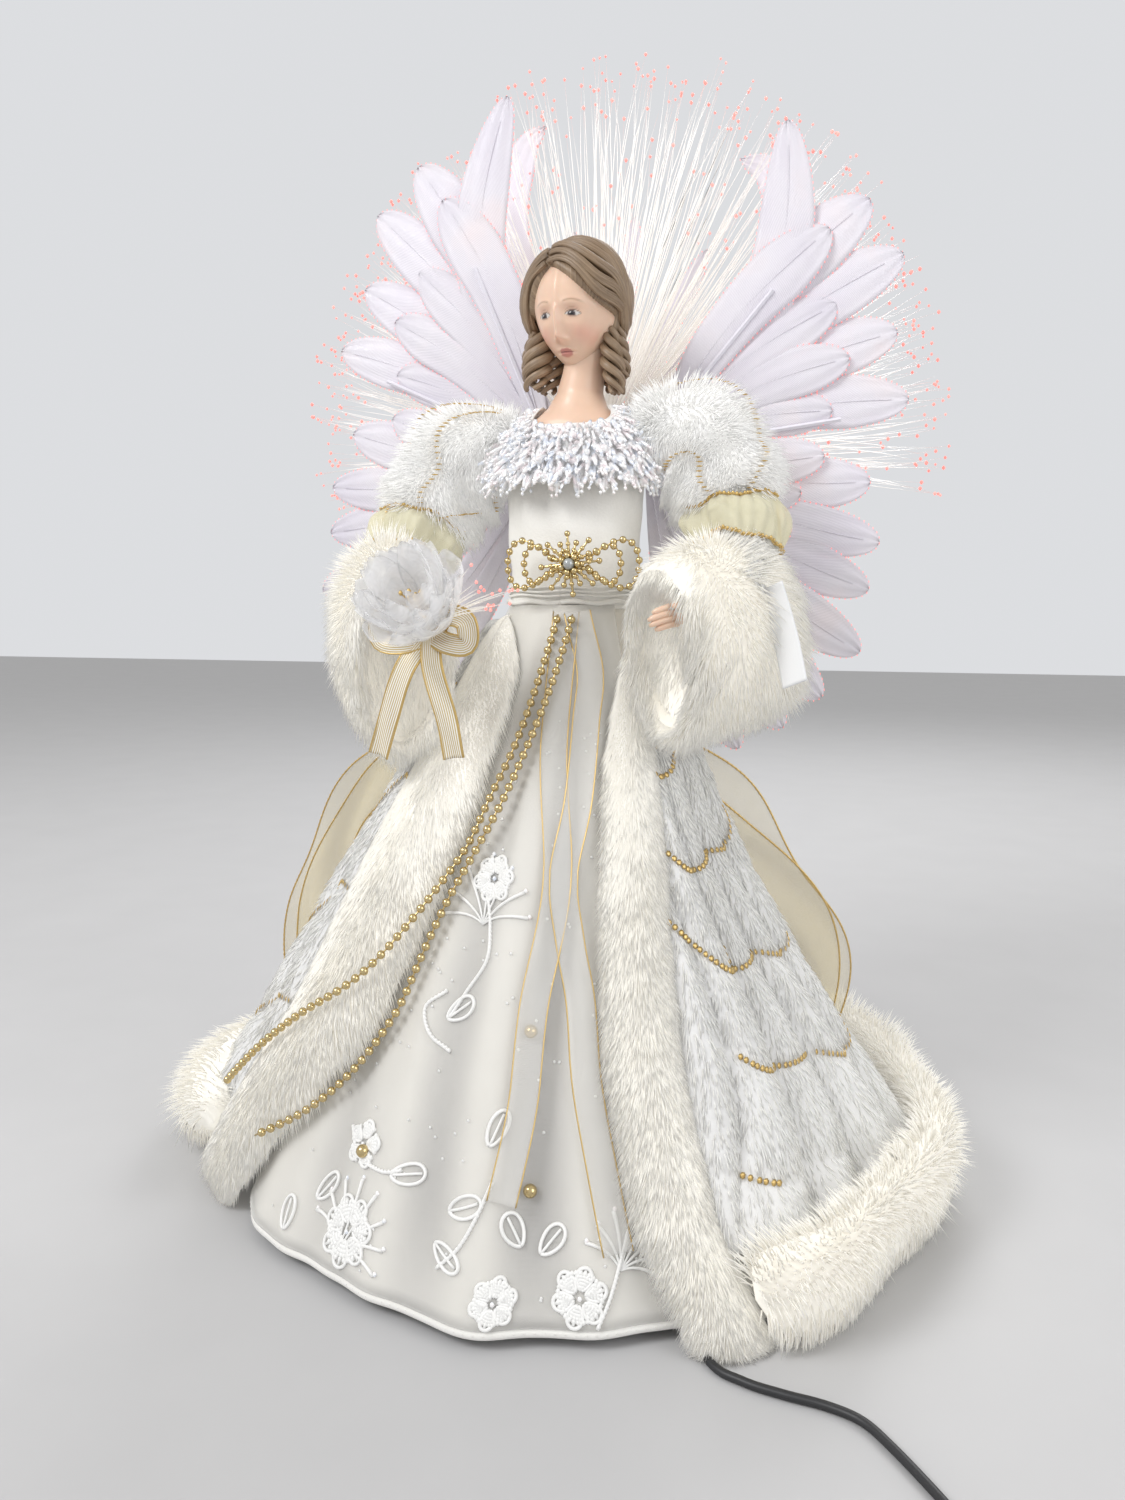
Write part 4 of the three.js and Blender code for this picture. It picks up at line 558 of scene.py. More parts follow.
# Clear sequins in soft random tints, with a faint white glow of their own: painted light that brightens them
sequinFinish = patchedFinish(
    "clearSequins", (0.96, 0.96, 0.97), 0.15, 300.0,
    [(0.35, (0.80, 0.85, 0.95)), (0.5, (0.97, 0.97, 0.97)), (0.65, (0.97, 0.88, 0.90))],
    metallic=0.25, Coat_Weight=0.6, Emission_Color=(1, 1, 1, 1), Emission_Strength=0.06)
crinkles = pattern(sequinFinish, "Noise", coordinates(sequinFinish, "Object", 900.0), 1.0)
bumped(sequinFinish, crinkles, 0.3, 0.0002)
redGlow = patchedFinish(
    "redGlow", (0.95, 0.25, 0.22), 0.3, 40.0, [(0.3, (0.95, 0.22, 0.2)), (0.7, (0.98, 0.5, 0.45))],
    Emission_Color=(1.0, 0.16, 0.13, 1), Emission_Strength=0.9)
print("finishes ready")


# camera, floor and light

camera = {"distance": 452, "height": 233, "pitch": 8.0, "azimuth": 15.0, "side": -6, "focal": 1127,
          "frame": 1500, "sensor": 36}


def frameMatrix(across, upward, backward, place):
    rows = [[across[i], upward[i], backward[i], place[i]] for i in range(3)]
    return Matrix(rows + [[0, 0, 0, 1]])


def makeCamera():
    turn, tilt = np.radians(camera["azimuth"]), np.radians(camera["pitch"])
    up = point(0, 0, 1)
    right = point(np.cos(turn), np.sin(turn), 0)
    ahead = point(-np.sin(turn), np.cos(turn), 0)
    look = np.cos(tilt) * ahead - np.sin(tilt) * up
    place = figureOffset - camera["distance"] * ahead + camera["side"] * right + camera["height"] * up
    lens = bpy.data.cameras.new("view")
    lens.sensor_fit = "VERTICAL"
    lens.sensor_height = camera["sensor"]
    lens.lens = camera["sensor"] * camera["focal"] / camera["frame"]
    lens.clip_start, lens.clip_end = 0.01, 50
    view = placed("view", lens)
    view.matrix_world = frameMatrix(right, np.sin(tilt) * ahead + np.cos(tilt) * up, -look, place * 0.001)
    bpy.context.scene.camera = view


def makeFloor():
    half = 3.0
    corners = [(-half, -half, 0), (half, -half, 0), (half, half, 0), (-half, half, 0)]
    mesh = bpy.data.meshes.new("floor")
    mesh.from_pydata(corners, [], [(0, 1, 2, 3)])
    placed("floor", mesh)
    mesh.materials.append(grainFinish("paleFloor", (0.56, 0.56, 0.57), 0.7, 0.02, 0.0001))


# A warm white world lights the scene, and a plain grey one is what the camera and shiny things see
def makeWorld():
    world = bpy.data.worlds.new("studio")
    bpy.context.scene.world = world
    world.use_nodes = True
    nodes, links = world.node_tree.nodes, world.node_tree.links
    nodes.clear()
    plain, seen = nodes.new("ShaderNodeBackground"), nodes.new("ShaderNodeBackground")
    plain.inputs["Color"].default_value = (1.0, 0.99, 0.97, 1)
    plain.inputs["Strength"].default_value = 0.62
    seen.inputs["Color"].default_value = (0.72, 0.73, 0.75, 1)
    path = nodes.new("ShaderNodeLightPath")
    direct, anySeen = nodes.new("ShaderNodeMath"), nodes.new("ShaderNodeMath")
    direct.operation = anySeen.operation = "MAXIMUM"
    either, output = nodes.new("ShaderNodeMixShader"), nodes.new("ShaderNodeOutputWorld")
    for source, socket in ((path.outputs["Is Camera Ray"], direct.inputs[0]),
                           (path.outputs["Is Glossy Ray"], direct.inputs[1]),
                           (direct.outputs[0], anySeen.inputs[0]),
                           (path.outputs["Is Transmission Ray"], anySeen.inputs[1]),
                           (anySeen.outputs[0], either.inputs[0]),
                           (plain.outputs[0], either.inputs[1]),
                           (seen.outputs[0], either.inputs[2]),
                           (either.outputs[0], output.inputs[0])):
        links.new(source, socket)


# Soft square lights that all look at the figure's middle
def makeLights():
    middle = point(0, 0, 0.24)
    for name, place, size, watts in (("keyLight", (-0.7, -0.9, 1.15), 0.6, 12.0),
                                     ("fillLight", (1.1, -0.5, 0.6), 0.8, 4.5),
                                     ("backLight", (0.1, 1.0, 1.1), 0.7, 7.0)):
        lamp = bpy.data.lights.new(name, "AREA")
        lamp.energy, lamp.size = watts, size
        away = unit(np.array(place) - middle)
        side = unit(np.cross(point(0, 0, 1), away))
        placed(name, lamp).matrix_world = frameMatrix(side, np.cross(away, side), away, place)


makeCamera()
makeFloor()
makeWorld()
makeLights()
bpy.context.scene.view_settings.view_transform = "Standard"
print("camera, floor and lights ready")


# free lead, its coil and plug

lead = {"radius": 1.4, "floor": 1.6, "exitAngle": 31, "exitHeight": 2.9, "grommetEnd": 112,
        "coilCentre": (150, -226), "middle": 16.1, "pitch": 3.7, "turnsPerLayer": 3, "layers": 4,
        "turnSteps": 40, "plugRadius": 4.2}


# The coil's layers wind inwards and outwards by turns, and rise in the last half turn of each
def coilLine():
    turns = lead["turnsPerLayer"] * lead["layers"] - 0.5
    at = np.linspace(0, turns, int(turns * lead["turnSteps"]) + 1)
    layer = np.minimum(lead["layers"] - 1, np.floor(at / lead["turnsPerLayer"]))
    within = at - layer * lead["turnsPerLayer"]
    level = lead["turnsPerLayer"] - 0.5
    travel = lead["pitch"] * level
    outer = lead["middle"] + travel / 2
    spiral = lead["pitch"] * np.minimum(within, level)
    climb = np.where(layer < lead["layers"] - 1, np.maximum(0, within - level) / 0.5, 0)
    radius = np.where(layer % 2 == 0, outer - spiral, outer - travel + spiral)
    turn = -2 * pi * at
    x, y = lead["coilCentre"]
    return np.stack([x + radius * np.cos(turn), y + radius * np.sin(turn),
                     lead["floor"] + lead["pitch"] * (layer + climb)], axis=1)


def makePlug(start, axis):
    def along(distances, radii):
        return tube(np.array([start + axis * s for s in distances]), radii, 20)
    plug = along((0, 1.5, 4, 7, 8, 8.6, 19.4, 20), [1.9, 2.1, 2.5, 3.0, 3.7, 4.2, 4.2, 3.6])
    tip = along((19.8, 20.2, 29.4, 30), [2.4, 2.6, 2.6, 2.3])
    putPiece("plugBody", plug, blackSheath, replaces=["dc_plug"], free=True)
    silver = grainFinish("plugMetal", (0.75, 0.75, 0.76), 0.25, 0.5, 0.00003, 1.0)
    return putPiece("plugBarrel", tip, silver, free=True)


def makeLead():
    turn, floor = np.radians(lead["exitAngle"]), lead["floor"]
    out = point(np.sin(turn), -np.cos(turn), 0)
    exitLift = point(0, 0, lead["exitHeight"])
    cordEnd = (lead["grommetEnd"] + 0.3) * out + figureOffset + exitLift
    coil = coilLine()
    before, after = (end + point(0, 2 * lead["radius"], 0) for end in (coil[0], coil[-1]))
    run = smoothLine([
        cordEnd, cordEnd + out * 4.2, (85, -131, floor), (96, -137.5, floor), (108, -140, floor),
        (120, -141.5, floor), (130, -145, floor), (138, -153, floor), (149, -167, floor), (158, -180, floor),
        (164.5, -193, floor), before + point(-1.6, 13, 0), before + point(0, 4.2, 0), before], 90)
    x, y = lead["coilCentre"]
    plugRest = after[2] + lead["radius"] + lead["plugRadius"] + 0.3
    plugStart = point(x - 1, y + 16, plugRest)
    axis = unit(point(x + 2, y - 16, plugRest) - plugStart)
    tail = smoothLine([
        after, after + point(0, 4, 0.3), after + point(2.5, 12, 1.6), after + point(8.5, 18, 3.6),
        after + point(16.5, 19.5, 5.4), plugStart - axis * 5, plugStart + axis * 1.5], 30)
    path = np.concatenate([run[:-1], [before], coil, tail])
    barrel = makePlug(plugStart, axis)
    cord = putPiece("powerLead", tube(path, lead["radius"], 10), blackSheath,
                    replaces=["power_cord", "cord_coil", "cord_tail"], free=True)
    grip = [out * s + exitLift for s in (86, 98, 98.5, 101, 105, 109, 112)]
    putPiece("leadGrommet", tube(grip, [2.6, 2.6, 2.5, 2.3, 2.0, 1.7, 1.5], 16), blackSheath,
             replaces=["cord_grommet"])
    print("lead", round(lineLength(path)), "mm")


makeLead()


# skirt surfaces: the angle runs from the front towards the viewer's right

def around(angle, radius, height):
    return np.stack([radius * np.sin(angle), -radius * np.cos(angle), height + 0 * angle], axis=-1)


# The gown bells out most at its right side, as the viewer sees it
bellSide = np.radians(105)
coatSpread = 17


def gownRadius(angle, height):
    share = np.clip(1 - height / waistHeight, 0, 1)
    bell = 1 + 0.5 * np.maximum(0, np.cos(angle - bellSide))
    return 26 + 109 * share ** bell + 5 * share * (0.5 + 0.5 * np.cos(8 * angle))


def coatRadius(angle, height):
    share = np.clip(1 - height / waistHeight, 0, 1)
    lift = mix(0.4, 2.0, np.minimum(1, share * 5))
    spread = coatSpread * share * np.maximum(0, np.cos(angle + np.radians(75))) ** 2
    return gownRadius(angle, height) + lift + spread + 5 * share * (0.5 + 0.5 * np.cos(9 * angle))


# The coat's front edges, as angles at rising heights, and how wide the fur bands along them are
edges = {"heights": [5.2, 36.6, 82.95, 129.3, 175.65, 222], "left": [-54, -45, -29.5, -23, -19, -20],
         "right": [29, 23.2, 19.7, 19.6, 24.5, 43], "leftWidths": (46, 36), "rightWidths": (27, 19)}


def leftEdge(height):
    return np.radians(np.interp(height, edges["heights"], edges["left"]))


def rightEdge(height):
    return np.radians(np.interp(height, edges["heights"], edges["right"]))


def borderSpan(height, side):
    width = mix(*edges[sideNames[side] + "Widths"], height / waistHeight)
    return width / (gownRadius(bellSide, height) + 12)


# The borders grow thinner over their upper part, towards the waist
def borderFade(height):
    return mix(0.35, 1, smooth(212 - height, 0, 85))


def onGown(angle, height, lift):
    return around(angle, gownRadius(angle, height) + lift, height)


# Soft folds that fall inwards from the gown's outside, deeper towards the hem
def folds(angle, height):
    share = 1 - height / waistHeight
    wave = 15 * angle + 1.3 * np.sin(3 * angle) + 0.7 * np.sin(height / 45 + 2 * angle)
    depth = (1.0 + 6.0 * share) * (0.7 + 0.3 * np.sin(5 * angle + 1)) * smooth(waistHeight - height, 0, 25)
    depth = depth * mix(0.45, 1, smooth(height, 5, 40))
    fine = share * 0.3 * np.sin(41 * angle - 5 * share)
    return fine - depth * (0.5 - 0.5 * np.cos(wave)) ** 1.5


def onCloth(angle, height, lift):
    return around(angle, gownRadius(angle, height) + folds(angle, height) + lift, height)


# The tone falls from a half to nothing at the bottoms of deep folds; the cloth finish turns a low tone into
# painted shade
def foldShaded(made):
    x, y, z = made[0].T
    return made[:4] + (0.5 - 0.5 * np.clip(-folds(np.arctan2(x, -y), z) / 6.0, 0, 1),)


gown = {"bottom": 7.4, "thickness": 1.0, "laceLifts": (0.7, 1.2), "laceFrom": -63, "laceTo": 45}


def makeGown():
    def drape(angleAt, lift):
        def surface(u, v):
            return onCloth(angleAt(u), mix(gown["bottom"], waistHeight, v), lift)
        return surface

    def wholeTurn(u):
        return 2 * pi * u

    def laceTurn(u):
        return np.radians(mix(gown["laceFrom"], gown["laceTo"], u))

    over, under = (drape(wholeTurn, lift) for lift in (0, -gown["thickness"]))
    skirtShell = sheetBody(over, under, 300, 60, True, (880, 240))
    skirt = putPiece("gownSkirt", foldShaded(skirtShell), gownCloth, replaces=["gown_skirt"])
    cutCloth(skirt, 0.88, 0.25)

    laceFinish = clothFinish("laceNet", (0.97, 0.96, 0.93), 1.5, 0.3, 0.35, 0.4, 0.2)
    under, over = (drape(laceTurn, lift) for lift in gown["laceLifts"])
    laceShell = sheetBody(over, under, 150, 60, False, (270, 240))
    lace = putPiece("laceOverlay", foldShaded(laceShell), laceFinish, replaces=["lace_overlay"])
    cutCloth(lace, 0.27, 0.25)

    def hemLine(lift, height):
        angle = np.radians(np.linspace(gown["laceFrom"] - 18, gown["laceTo"] + 18, 160))
        return onCloth(angle, gown["bottom"], lift) * point(1, 1, 0) + point(0, 0, height)
    stitches = scatter(ball, evenAlong(hemLine(1.3, 6.0), 3.2), sizes=0.28)
    roll = tube(hemLine(-0.4, 5.6), 1.75, 10)
    putPiece("gownHem", [roll, stitches], feltCloth, replaces=["gown_hem"])


# Embroidery on the lace. Angles are in degrees, and the rest is in millimetres.
# Flowers: angle, height, size, petals. Sprays: angle, height, size, turn, threads.
# Leaves: angle, height, size, turn. Stems: angles and heights along each
flowers = [(-23.3, 20.0, 11.0, 7), (14.7, 16.0, 8.5, 6), (3.0, 14.5, 7.0, 6), (-9.5, 133, 8.0, 6),
           (-25.5, 45, 7.5, 5)]
sprays = [(20.6, 22.0, 19, 60, 8), (-10.3, 118, 24, 95, 7), (-24, 14, 24, 75, 8)]
leaves = [(-17.5, 40.3, 12, 10), (-0.1, 55.9, 11, 70), (-5.4, 35.9, 12, 25), (-7, 26.0, 11, -25),
          (-14.2, 87.8, 12, 40), (24, 44, 10, 60), (27, 12, 11, 20), (-36, 12, 11, 100), (-32, 24, 11, 60),
          (6, 28, 11, 120), (9, 26, 11, 50)]
stems = [[(-14, 88), (-11, 97), (-7, 108), (-8, 118), (-11, 128)],
         [(-12, 78), (-17, 82), (-20, 90), (-16, 96)], [(-30, 48), (-26, 41), (-20, 40), (-16, 42)],
         [(-6, 20), (-3, 27), (-1, 35), (1, 46)], [(17, 8), (19, 16), (21, 26), (23, 36)]]
loneBeads = {"angles": [-24.8, 6.8, 5.0], "heights": [43.5, 42.6, 88.0], "size": 2.3}
stitchLift = 1.5


# Points on the lace, some way across and up from a place given as angle and height
def onLace(across, rise, angle, height, lift=stitchLift):
    spot = gownRadius(np.radians(angle), height)
    return onCloth(np.radians(angle) + across / spot, height + rise * 0.93, lift)


# A looped thread with a vein down its middle
def leafLoop(angle, height, size, turn, wide=0.3):
    t = np.linspace(0, 2 * pi, 24)
    along, across = size * (0.5 - 0.5 * np.cos(t)), size * wide * np.sin(t) * (0.6 + 0.4 * np.sin(t / 2))
    way = np.radians(turn)
    loop = onLace(along * np.cos(way) - across * np.sin(way), along * np.sin(way) + across * np.cos(way),
                  angle, height)
    middle = np.linspace(0, size * 0.9, 6)
    vein = onLace(middle * np.cos(way), middle * np.sin(way), angle, height)
    return [tube(loop, 0.65, 5), tube(vein, 0.5, 5)]


# Looped petals filled with small balls, round a pearl
def flowerParts(angle, height, size, petals):
    parts = []
    for index in range(petals):
        turn = 360 * index / petals + 15
        way = np.radians(turn)
        spot = np.degrees(np.cos(way) * size * 0.25 / gownRadius(np.radians(angle), height))
        parts += leafLoop(angle + spot, height + np.sin(way) * size * 0.25, size * 0.75, turn, 0.42)
        t = np.linspace(0.15, 0.85, 5)[:, None] * np.linspace(-0.5, 0.5, 5)[None]
        reach = np.linspace(0.35, 0.8, 5)[:, None] * size
        across, rise = (reach * np.cos(way + t)).ravel(), (reach * np.sin(way + t)).ravel()
        fill = onLace(across, rise, angle, height, 1.3)
        parts.append(scatter(ball, fill, sizes=1.0))
    return parts, [onLace(np.array([0.0]), np.array([0.0]), angle, height, 2.0)[0]]


# Bent threads that fan out, each with a pearl at its end
def sprayParts(angle, height, size, turn, count):
    parts, pearls = [], []
    for share in np.linspace(-1, 1, count):
        t = np.linspace(0, 1, 8)
        reach = size * (1 - 0.25 * abs(share))
        bend = np.radians(turn + 52 * share) + 0.5 * share * t
        line = onLace(reach * t * np.cos(bend), reach * t * np.sin(bend), angle, height)
        parts.append(tube(line, np.linspace(0.35, 0.7, 8), 5))
        pearls.append(line[-1] + 0.4)
    return parts, pearls


def makeEmbroidery():
    parts, pearls = [], []
    for shape, places in ((flowerParts, flowers), (sprayParts, sprays)):
        for place in places:
            threads, middles = shape(*place)
            parts += threads
            pearls += middles
    for leaf in leaves:
        parts += leafLoop(*leaf)
    for knots in stems:
        place = smoothLine(knots, 40)
        line = onCloth(np.radians(place[:, 0]), place[:, 1], stitchLift)
        parts += [tube(line, 0.6, 5), scatter(ball, evenAlong(line, 1.5) + 0.1, sizes=0.8)]
    draw = np.random.default_rng(5)
    angle, height = np.radians(draw.uniform(-55, 36, 150)), draw.uniform(12, 190, 150)
    dots = onCloth(angle, height, 1.3)
    parts.append(scatter(disc, dots, facing(dots * point(1, 1, 0.2)), sizes=0.6))
    putPiece("embroidery", parts, threadFinish)
    putPiece("lacePearls", scatter(ball, np.array(pearls), sizes=0.9), sequinFinish)
    lone = onCloth(np.radians(np.array(loneBeads["angles"])), np.array(loneBeads["heights"]), 2.6)
    putPiece("laceGoldBeads", scatter(ballShape(12, 8), lone, sizes=loneBeads["size"]), goldBeads)


makeGown()
makeEmbroidery()
print("gown ready")


# coat, quilted in soft puffs with gold sequins in the channels

coat = {"bottom": 26.0, "top": 222.0, "rolls": 27, "puffTall": 36.0, "puff": 8.5, "lift": 1.6,
        "sequinLift": 3.6, "sequinPitch": 2.5}
coatPile = {"length": 4.8, "radius": 0.38, "under": 0.3, "lock": 8.0, "lean": 0.68, "wild": 0.09}


# The coat's sides tuck in under the fur bands
def coatAngles(height, tuckHeight=None):
    tuck = 3.0 / gownRadius(bellSide, height if tuckHeight is None else tuckHeight)
    return (rightEdge(height) + borderSpan(height, 1) - tuck,
            2 * pi + leftEdge(height) - borderSpan(height, -1) + tuck)


# Whole numbers of the first are the upright channels between rolls, of the second the scalloped lines
def channels(angle, height):
    across = coat["rolls"] * angle / (2 * pi) + 0.3 * np.sin(height / 26 + 2 * angle)
    down = height / coat["puffTall"] + 0.35 * np.sin(angle * 5.2 + height / 60) + 0.16 * np.sin(2.2 * across)
    return across, down


# Upright rolls, drawn in along the sequin lines and at the coat's two sides
def puffed(angle, height, u):
    across, down = channels(angle, height)
    rolls = np.abs(np.sin(pi * across)) ** 0.75
    lines = 0.62 + 0.38 * np.abs(np.sin(pi * down)) ** 0.4
    sides = smooth(u, 0, 0.025) * smooth(1 - u, 0, 0.025)
    return coat["puff"] * rolls * lines * sides * mix(0.25, 1, np.clip(1.15 - height / waistHeight, 0, 1))


def onCoat(u, height, lift):
    angle = mix(*coatAngles(height), u)
    return around(angle, coatRadius(angle, height) + lift + puffed(angle, height, u), height)


def makeCoat():
    def outer(u, v):
        return onCoat(u, mix(coat["bottom"], coat["top"], v), coat["lift"])

    def inner(u, v):
        place = outer(u, v)
        return place - unit(place * point(1, 1, 0)) * coat["lift"]

    shell = sheetBody(outer, inner, 270, 80, False, (600, 190))
    cloth = putPiece("coatSkirt", shell, plushSkin, replaces=["coat_skirt"])
    cutCloth(cloth, 0.8, 0.22)
    for half, name in enumerate(("rightCoatPile", "leftCoatPile")):
        def part(u, v):
            return outer((half + u) / 2, v)

        # A point behind the skin, along its normal turned a little outwards
        def beneath(u, v):
            across = part(u + 0.002, v) - part(u - 0.002, v)
            upward = part(u, v + 0.004) - part(u, v - 0.004)
            outward = unit(part(u, v) * point(1, 1, 0))
            return part(u, v) - 3 * unit(unit(np.cross(across, upward)) + outward * 0.5)
        putPiece(name, furBody(part, beneath, 126, 130, coatPile, 31 + half), coatPlush)


# Sequins at an even pitch along those parts of a line that are sewn
def sequinsAlong(line, sewn):
    step = travelled(line)
    spots = np.arange(0, step[-1], coat["sequinPitch"])
    pick = np.unique(np.searchsorted(step, spots).clip(0, len(line) - 1))
    return line[pick][sewn[pick]]


# A scalloped line across the coat: the height where the second channel number is the index
def scallopSequins(index):
    u = np.linspace(0.01, 0.99, 900)
    height = np.full_like(u, 120.0)
    for _ in range(8):
        _, down = channels(mix(*coatAngles(height), u), height)
        height = np.clip(height + 0.8 * (index - down) * coat["puffTall"], 0, 260)
    line = onCoat(u, height, coat["sequinLift"])
    inside = (height > 42) & (height < coat["top"] - 6) & (np.abs(down - index) < 0.05)
    return sequinsAlong(line, inside & (field(line, 34.0, 17) > -0.35))


# A broken line down the coat: the place across where the first channel number is the index
def uprightSequins(index):
    height = np.linspace(44, 205, 500)
    u = np.full_like(height, 0.5)
    for _ in range(8):
        low, high = coatAngles(height)
        across, _ = channels(mix(low, high, u), height)
        u = np.clip(u + 0.8 * (index - across) * 2 * pi / coat["rolls"] / (high - low), 0, 1)
    line = onCoat(u, height, coat["sequinLift"])
    inside = (u > 0.02) & (u < 0.98) & (np.abs(across - index) < 0.05)
    return sequinsAlong(line, inside & (field(line, 30.0, 18) > 0.55))


def makeCoatSequins():
    spots = [scallopSequins(index) for index in range(-2, 12)]
    spots += [uprightSequins(index) for index in range(2, coat["rolls"])]
    spots = np.concatenate(spots)
    out = spots * point(1, 1, 0) + point(0, 0, 30)
    putPiece("coatSequins", scatter(disc, spots, facing(out), 1.2), goldThread)


# long fur: hem, front borders, cuffs and shoulders

longFur = {"length": 9.5, "radius": 0.32, "under": 2.6, "lock": 11.0, "lean": 0.5, "wild": 0.13,
           "sway": 0.7}
borderFur = {"length": 7.0, "radius": 0.29, "under": 1.6, "lock": 10.0, "lean": 0.55, "wild": 0.1,
             "lumps": 0.1, "sway": 0.3}
hem = {"middle": 19.3, "halfHeight": 18.3, "thickness": 20, "coatLevel": 18.3}


# Hairs that would reach the floor are pushed up to lie just above it
def offTheFloor(hairs):
    hairs[0][:, 2] = np.maximum(hairs[0][:, 2], 1.0)
    return hairs


# Keeps the sign while it makes a sine's peaks broader
def squarer(value, power):
    return np.sign(value) * np.abs(value) ** power


def makeHemFur():
    # A rounded band along the floor; its two ends follow the slant of the front bands
    def ringPart(u, v, grow):
        turn = 2 * pi * u
        swell, rise = squarer(np.cos(turn), 0.75), squarer(np.sin(turn), 0.75)
        ends = np.sqrt(np.clip(1 - (2 * v - 1) ** 60, 0, 1))
        height = hem["middle"] + hem["halfHeight"] * rise * grow * ends
        angle = mix(*coatAngles(height, 0), v)
        inside = gownRadius(angle, gown["bottom"]) + 2.0
        outside = coatRadius(angle, hem["coatLevel"]) + hem["thickness"]
        middle, half = (inside + outside) / 2, (outside - inside) / 2
        return around(angle, middle + half * swell * grow * ends, height)

    def surface(u, v):
        return ringPart(u, v, 1.0)

    def core(u, v):
        return ringPart(u, v, 0.0)

    under = underFur(surface, core, 28, 260, longFur, 41)
    hairs = furBody(surface, core, 27, 445, longFur, 42, (-0.36, 0.48), (0.002, 0.998))
    parts = [under, offTheFloor(hairs)]
    putPiece("hemFur", parts, creamFur, replaces=["hem_fur"])


border = {"foot": 0.8, "tops": {-1: 224, 1: 212}, "lift": 2.0, "height": 11}


def makeBorder(side):
    name = sideNames[side]
    edge = leftEdge if side < 0 else rightEdge

    # A rounded band: its underside is flat, and the left one also stands out with the coat
    def surface(u, v, outer=1.0):
        height = mix(border["foot"], border["tops"][side], v)
        share = 1 - height / waistHeight
        fade = borderFade(height)
        turn = 2 * pi * u
        taper = np.sqrt(np.clip(1 - np.clip((v - 0.9) / 0.1, 0, 1) ** 2, 0.02, 1))
        taper = taper * mix(0.8, 1, smooth(v, 0, 0.02))
        across = 0.5 - 0.5 * np.cos(turn) * taper
        angle = edge(height) + side * np.where(outer > 0, across, 0.5) * borderSpan(height, side)
        bulge = np.where(np.sin(turn) > 0, np.abs(np.sin(turn)) ** 0.6, 0)
        lift = border["lift"] + outer * (1.0 + border["height"] * fade * bulge)
        if side < 0:
            lift = lift + coatSpread * share * across * np.maximum(0, np.sin(turn)) * outer
        ends = np.sqrt(np.clip(1 - (2 * v - 1) ** 16, 0, 1))
        middle = np.where(outer > 0, lift, 2.5 + 3.0 * fade)
        return around(angle, gownRadius(angle, height) + mix(3.0, middle, ends), height)

    def core(u, v):
        return surface(u, v, 0.0)

    under = underFur(surface, core, 30, 150, borderFur, 55)
    hairs = furBody(surface, core, 34, 400, borderFur, 51 + side, (0.02, 0.48))
    parts = [under, offTheFloor(hairs)]
    putPiece(name + "FurBorder", parts, creamFur, replaces=[name + "_fur_border"])


armSteps = 400
armKnots = {
    1: [(20, 2, 286), (40, 2, 291), (55, 0, 279), (63, -8, 254), (62, -31, 228), (48, -56, 225)],
    -1: [(-20, 2, 286), (-39, 2, 288), (-54, 0, 277), (-65, -10, 252), (-65, -38, 225), (-46, -64, 222)],
}
cuffEnds = {
    1: [(75, -4, 222), (42, -49, 212)],
    -1: [(-82, -8, 220), (-50, -58, 208)],
}
cuffFur = {"length": 8.5, "radius": 0.3, "under": 2.2, "lock": 12.0, "lean": 0.5, "wild": 0.11}
cuff = {"halfWidth": 22.0, "halfHeight": {1: 35.0, -1: 39.0}, "wall": 7.0, "skin": (56, 40)}
sleeve = {"radius": 12.0, "from": 0.06, "to": 0.76, "ribbon": (0.42, 0.58), "wall": 2, "rows": 49,
          "ribbonRows": 23}


# Evenly spaced points of an arm's middle line between two shares of its length
def armLine(side, low, high, count):
    line = smoothLine(armKnots[side], armSteps)
    return line[np.round(np.linspace(low, high, count) * (armSteps - 1)).astype(int)]


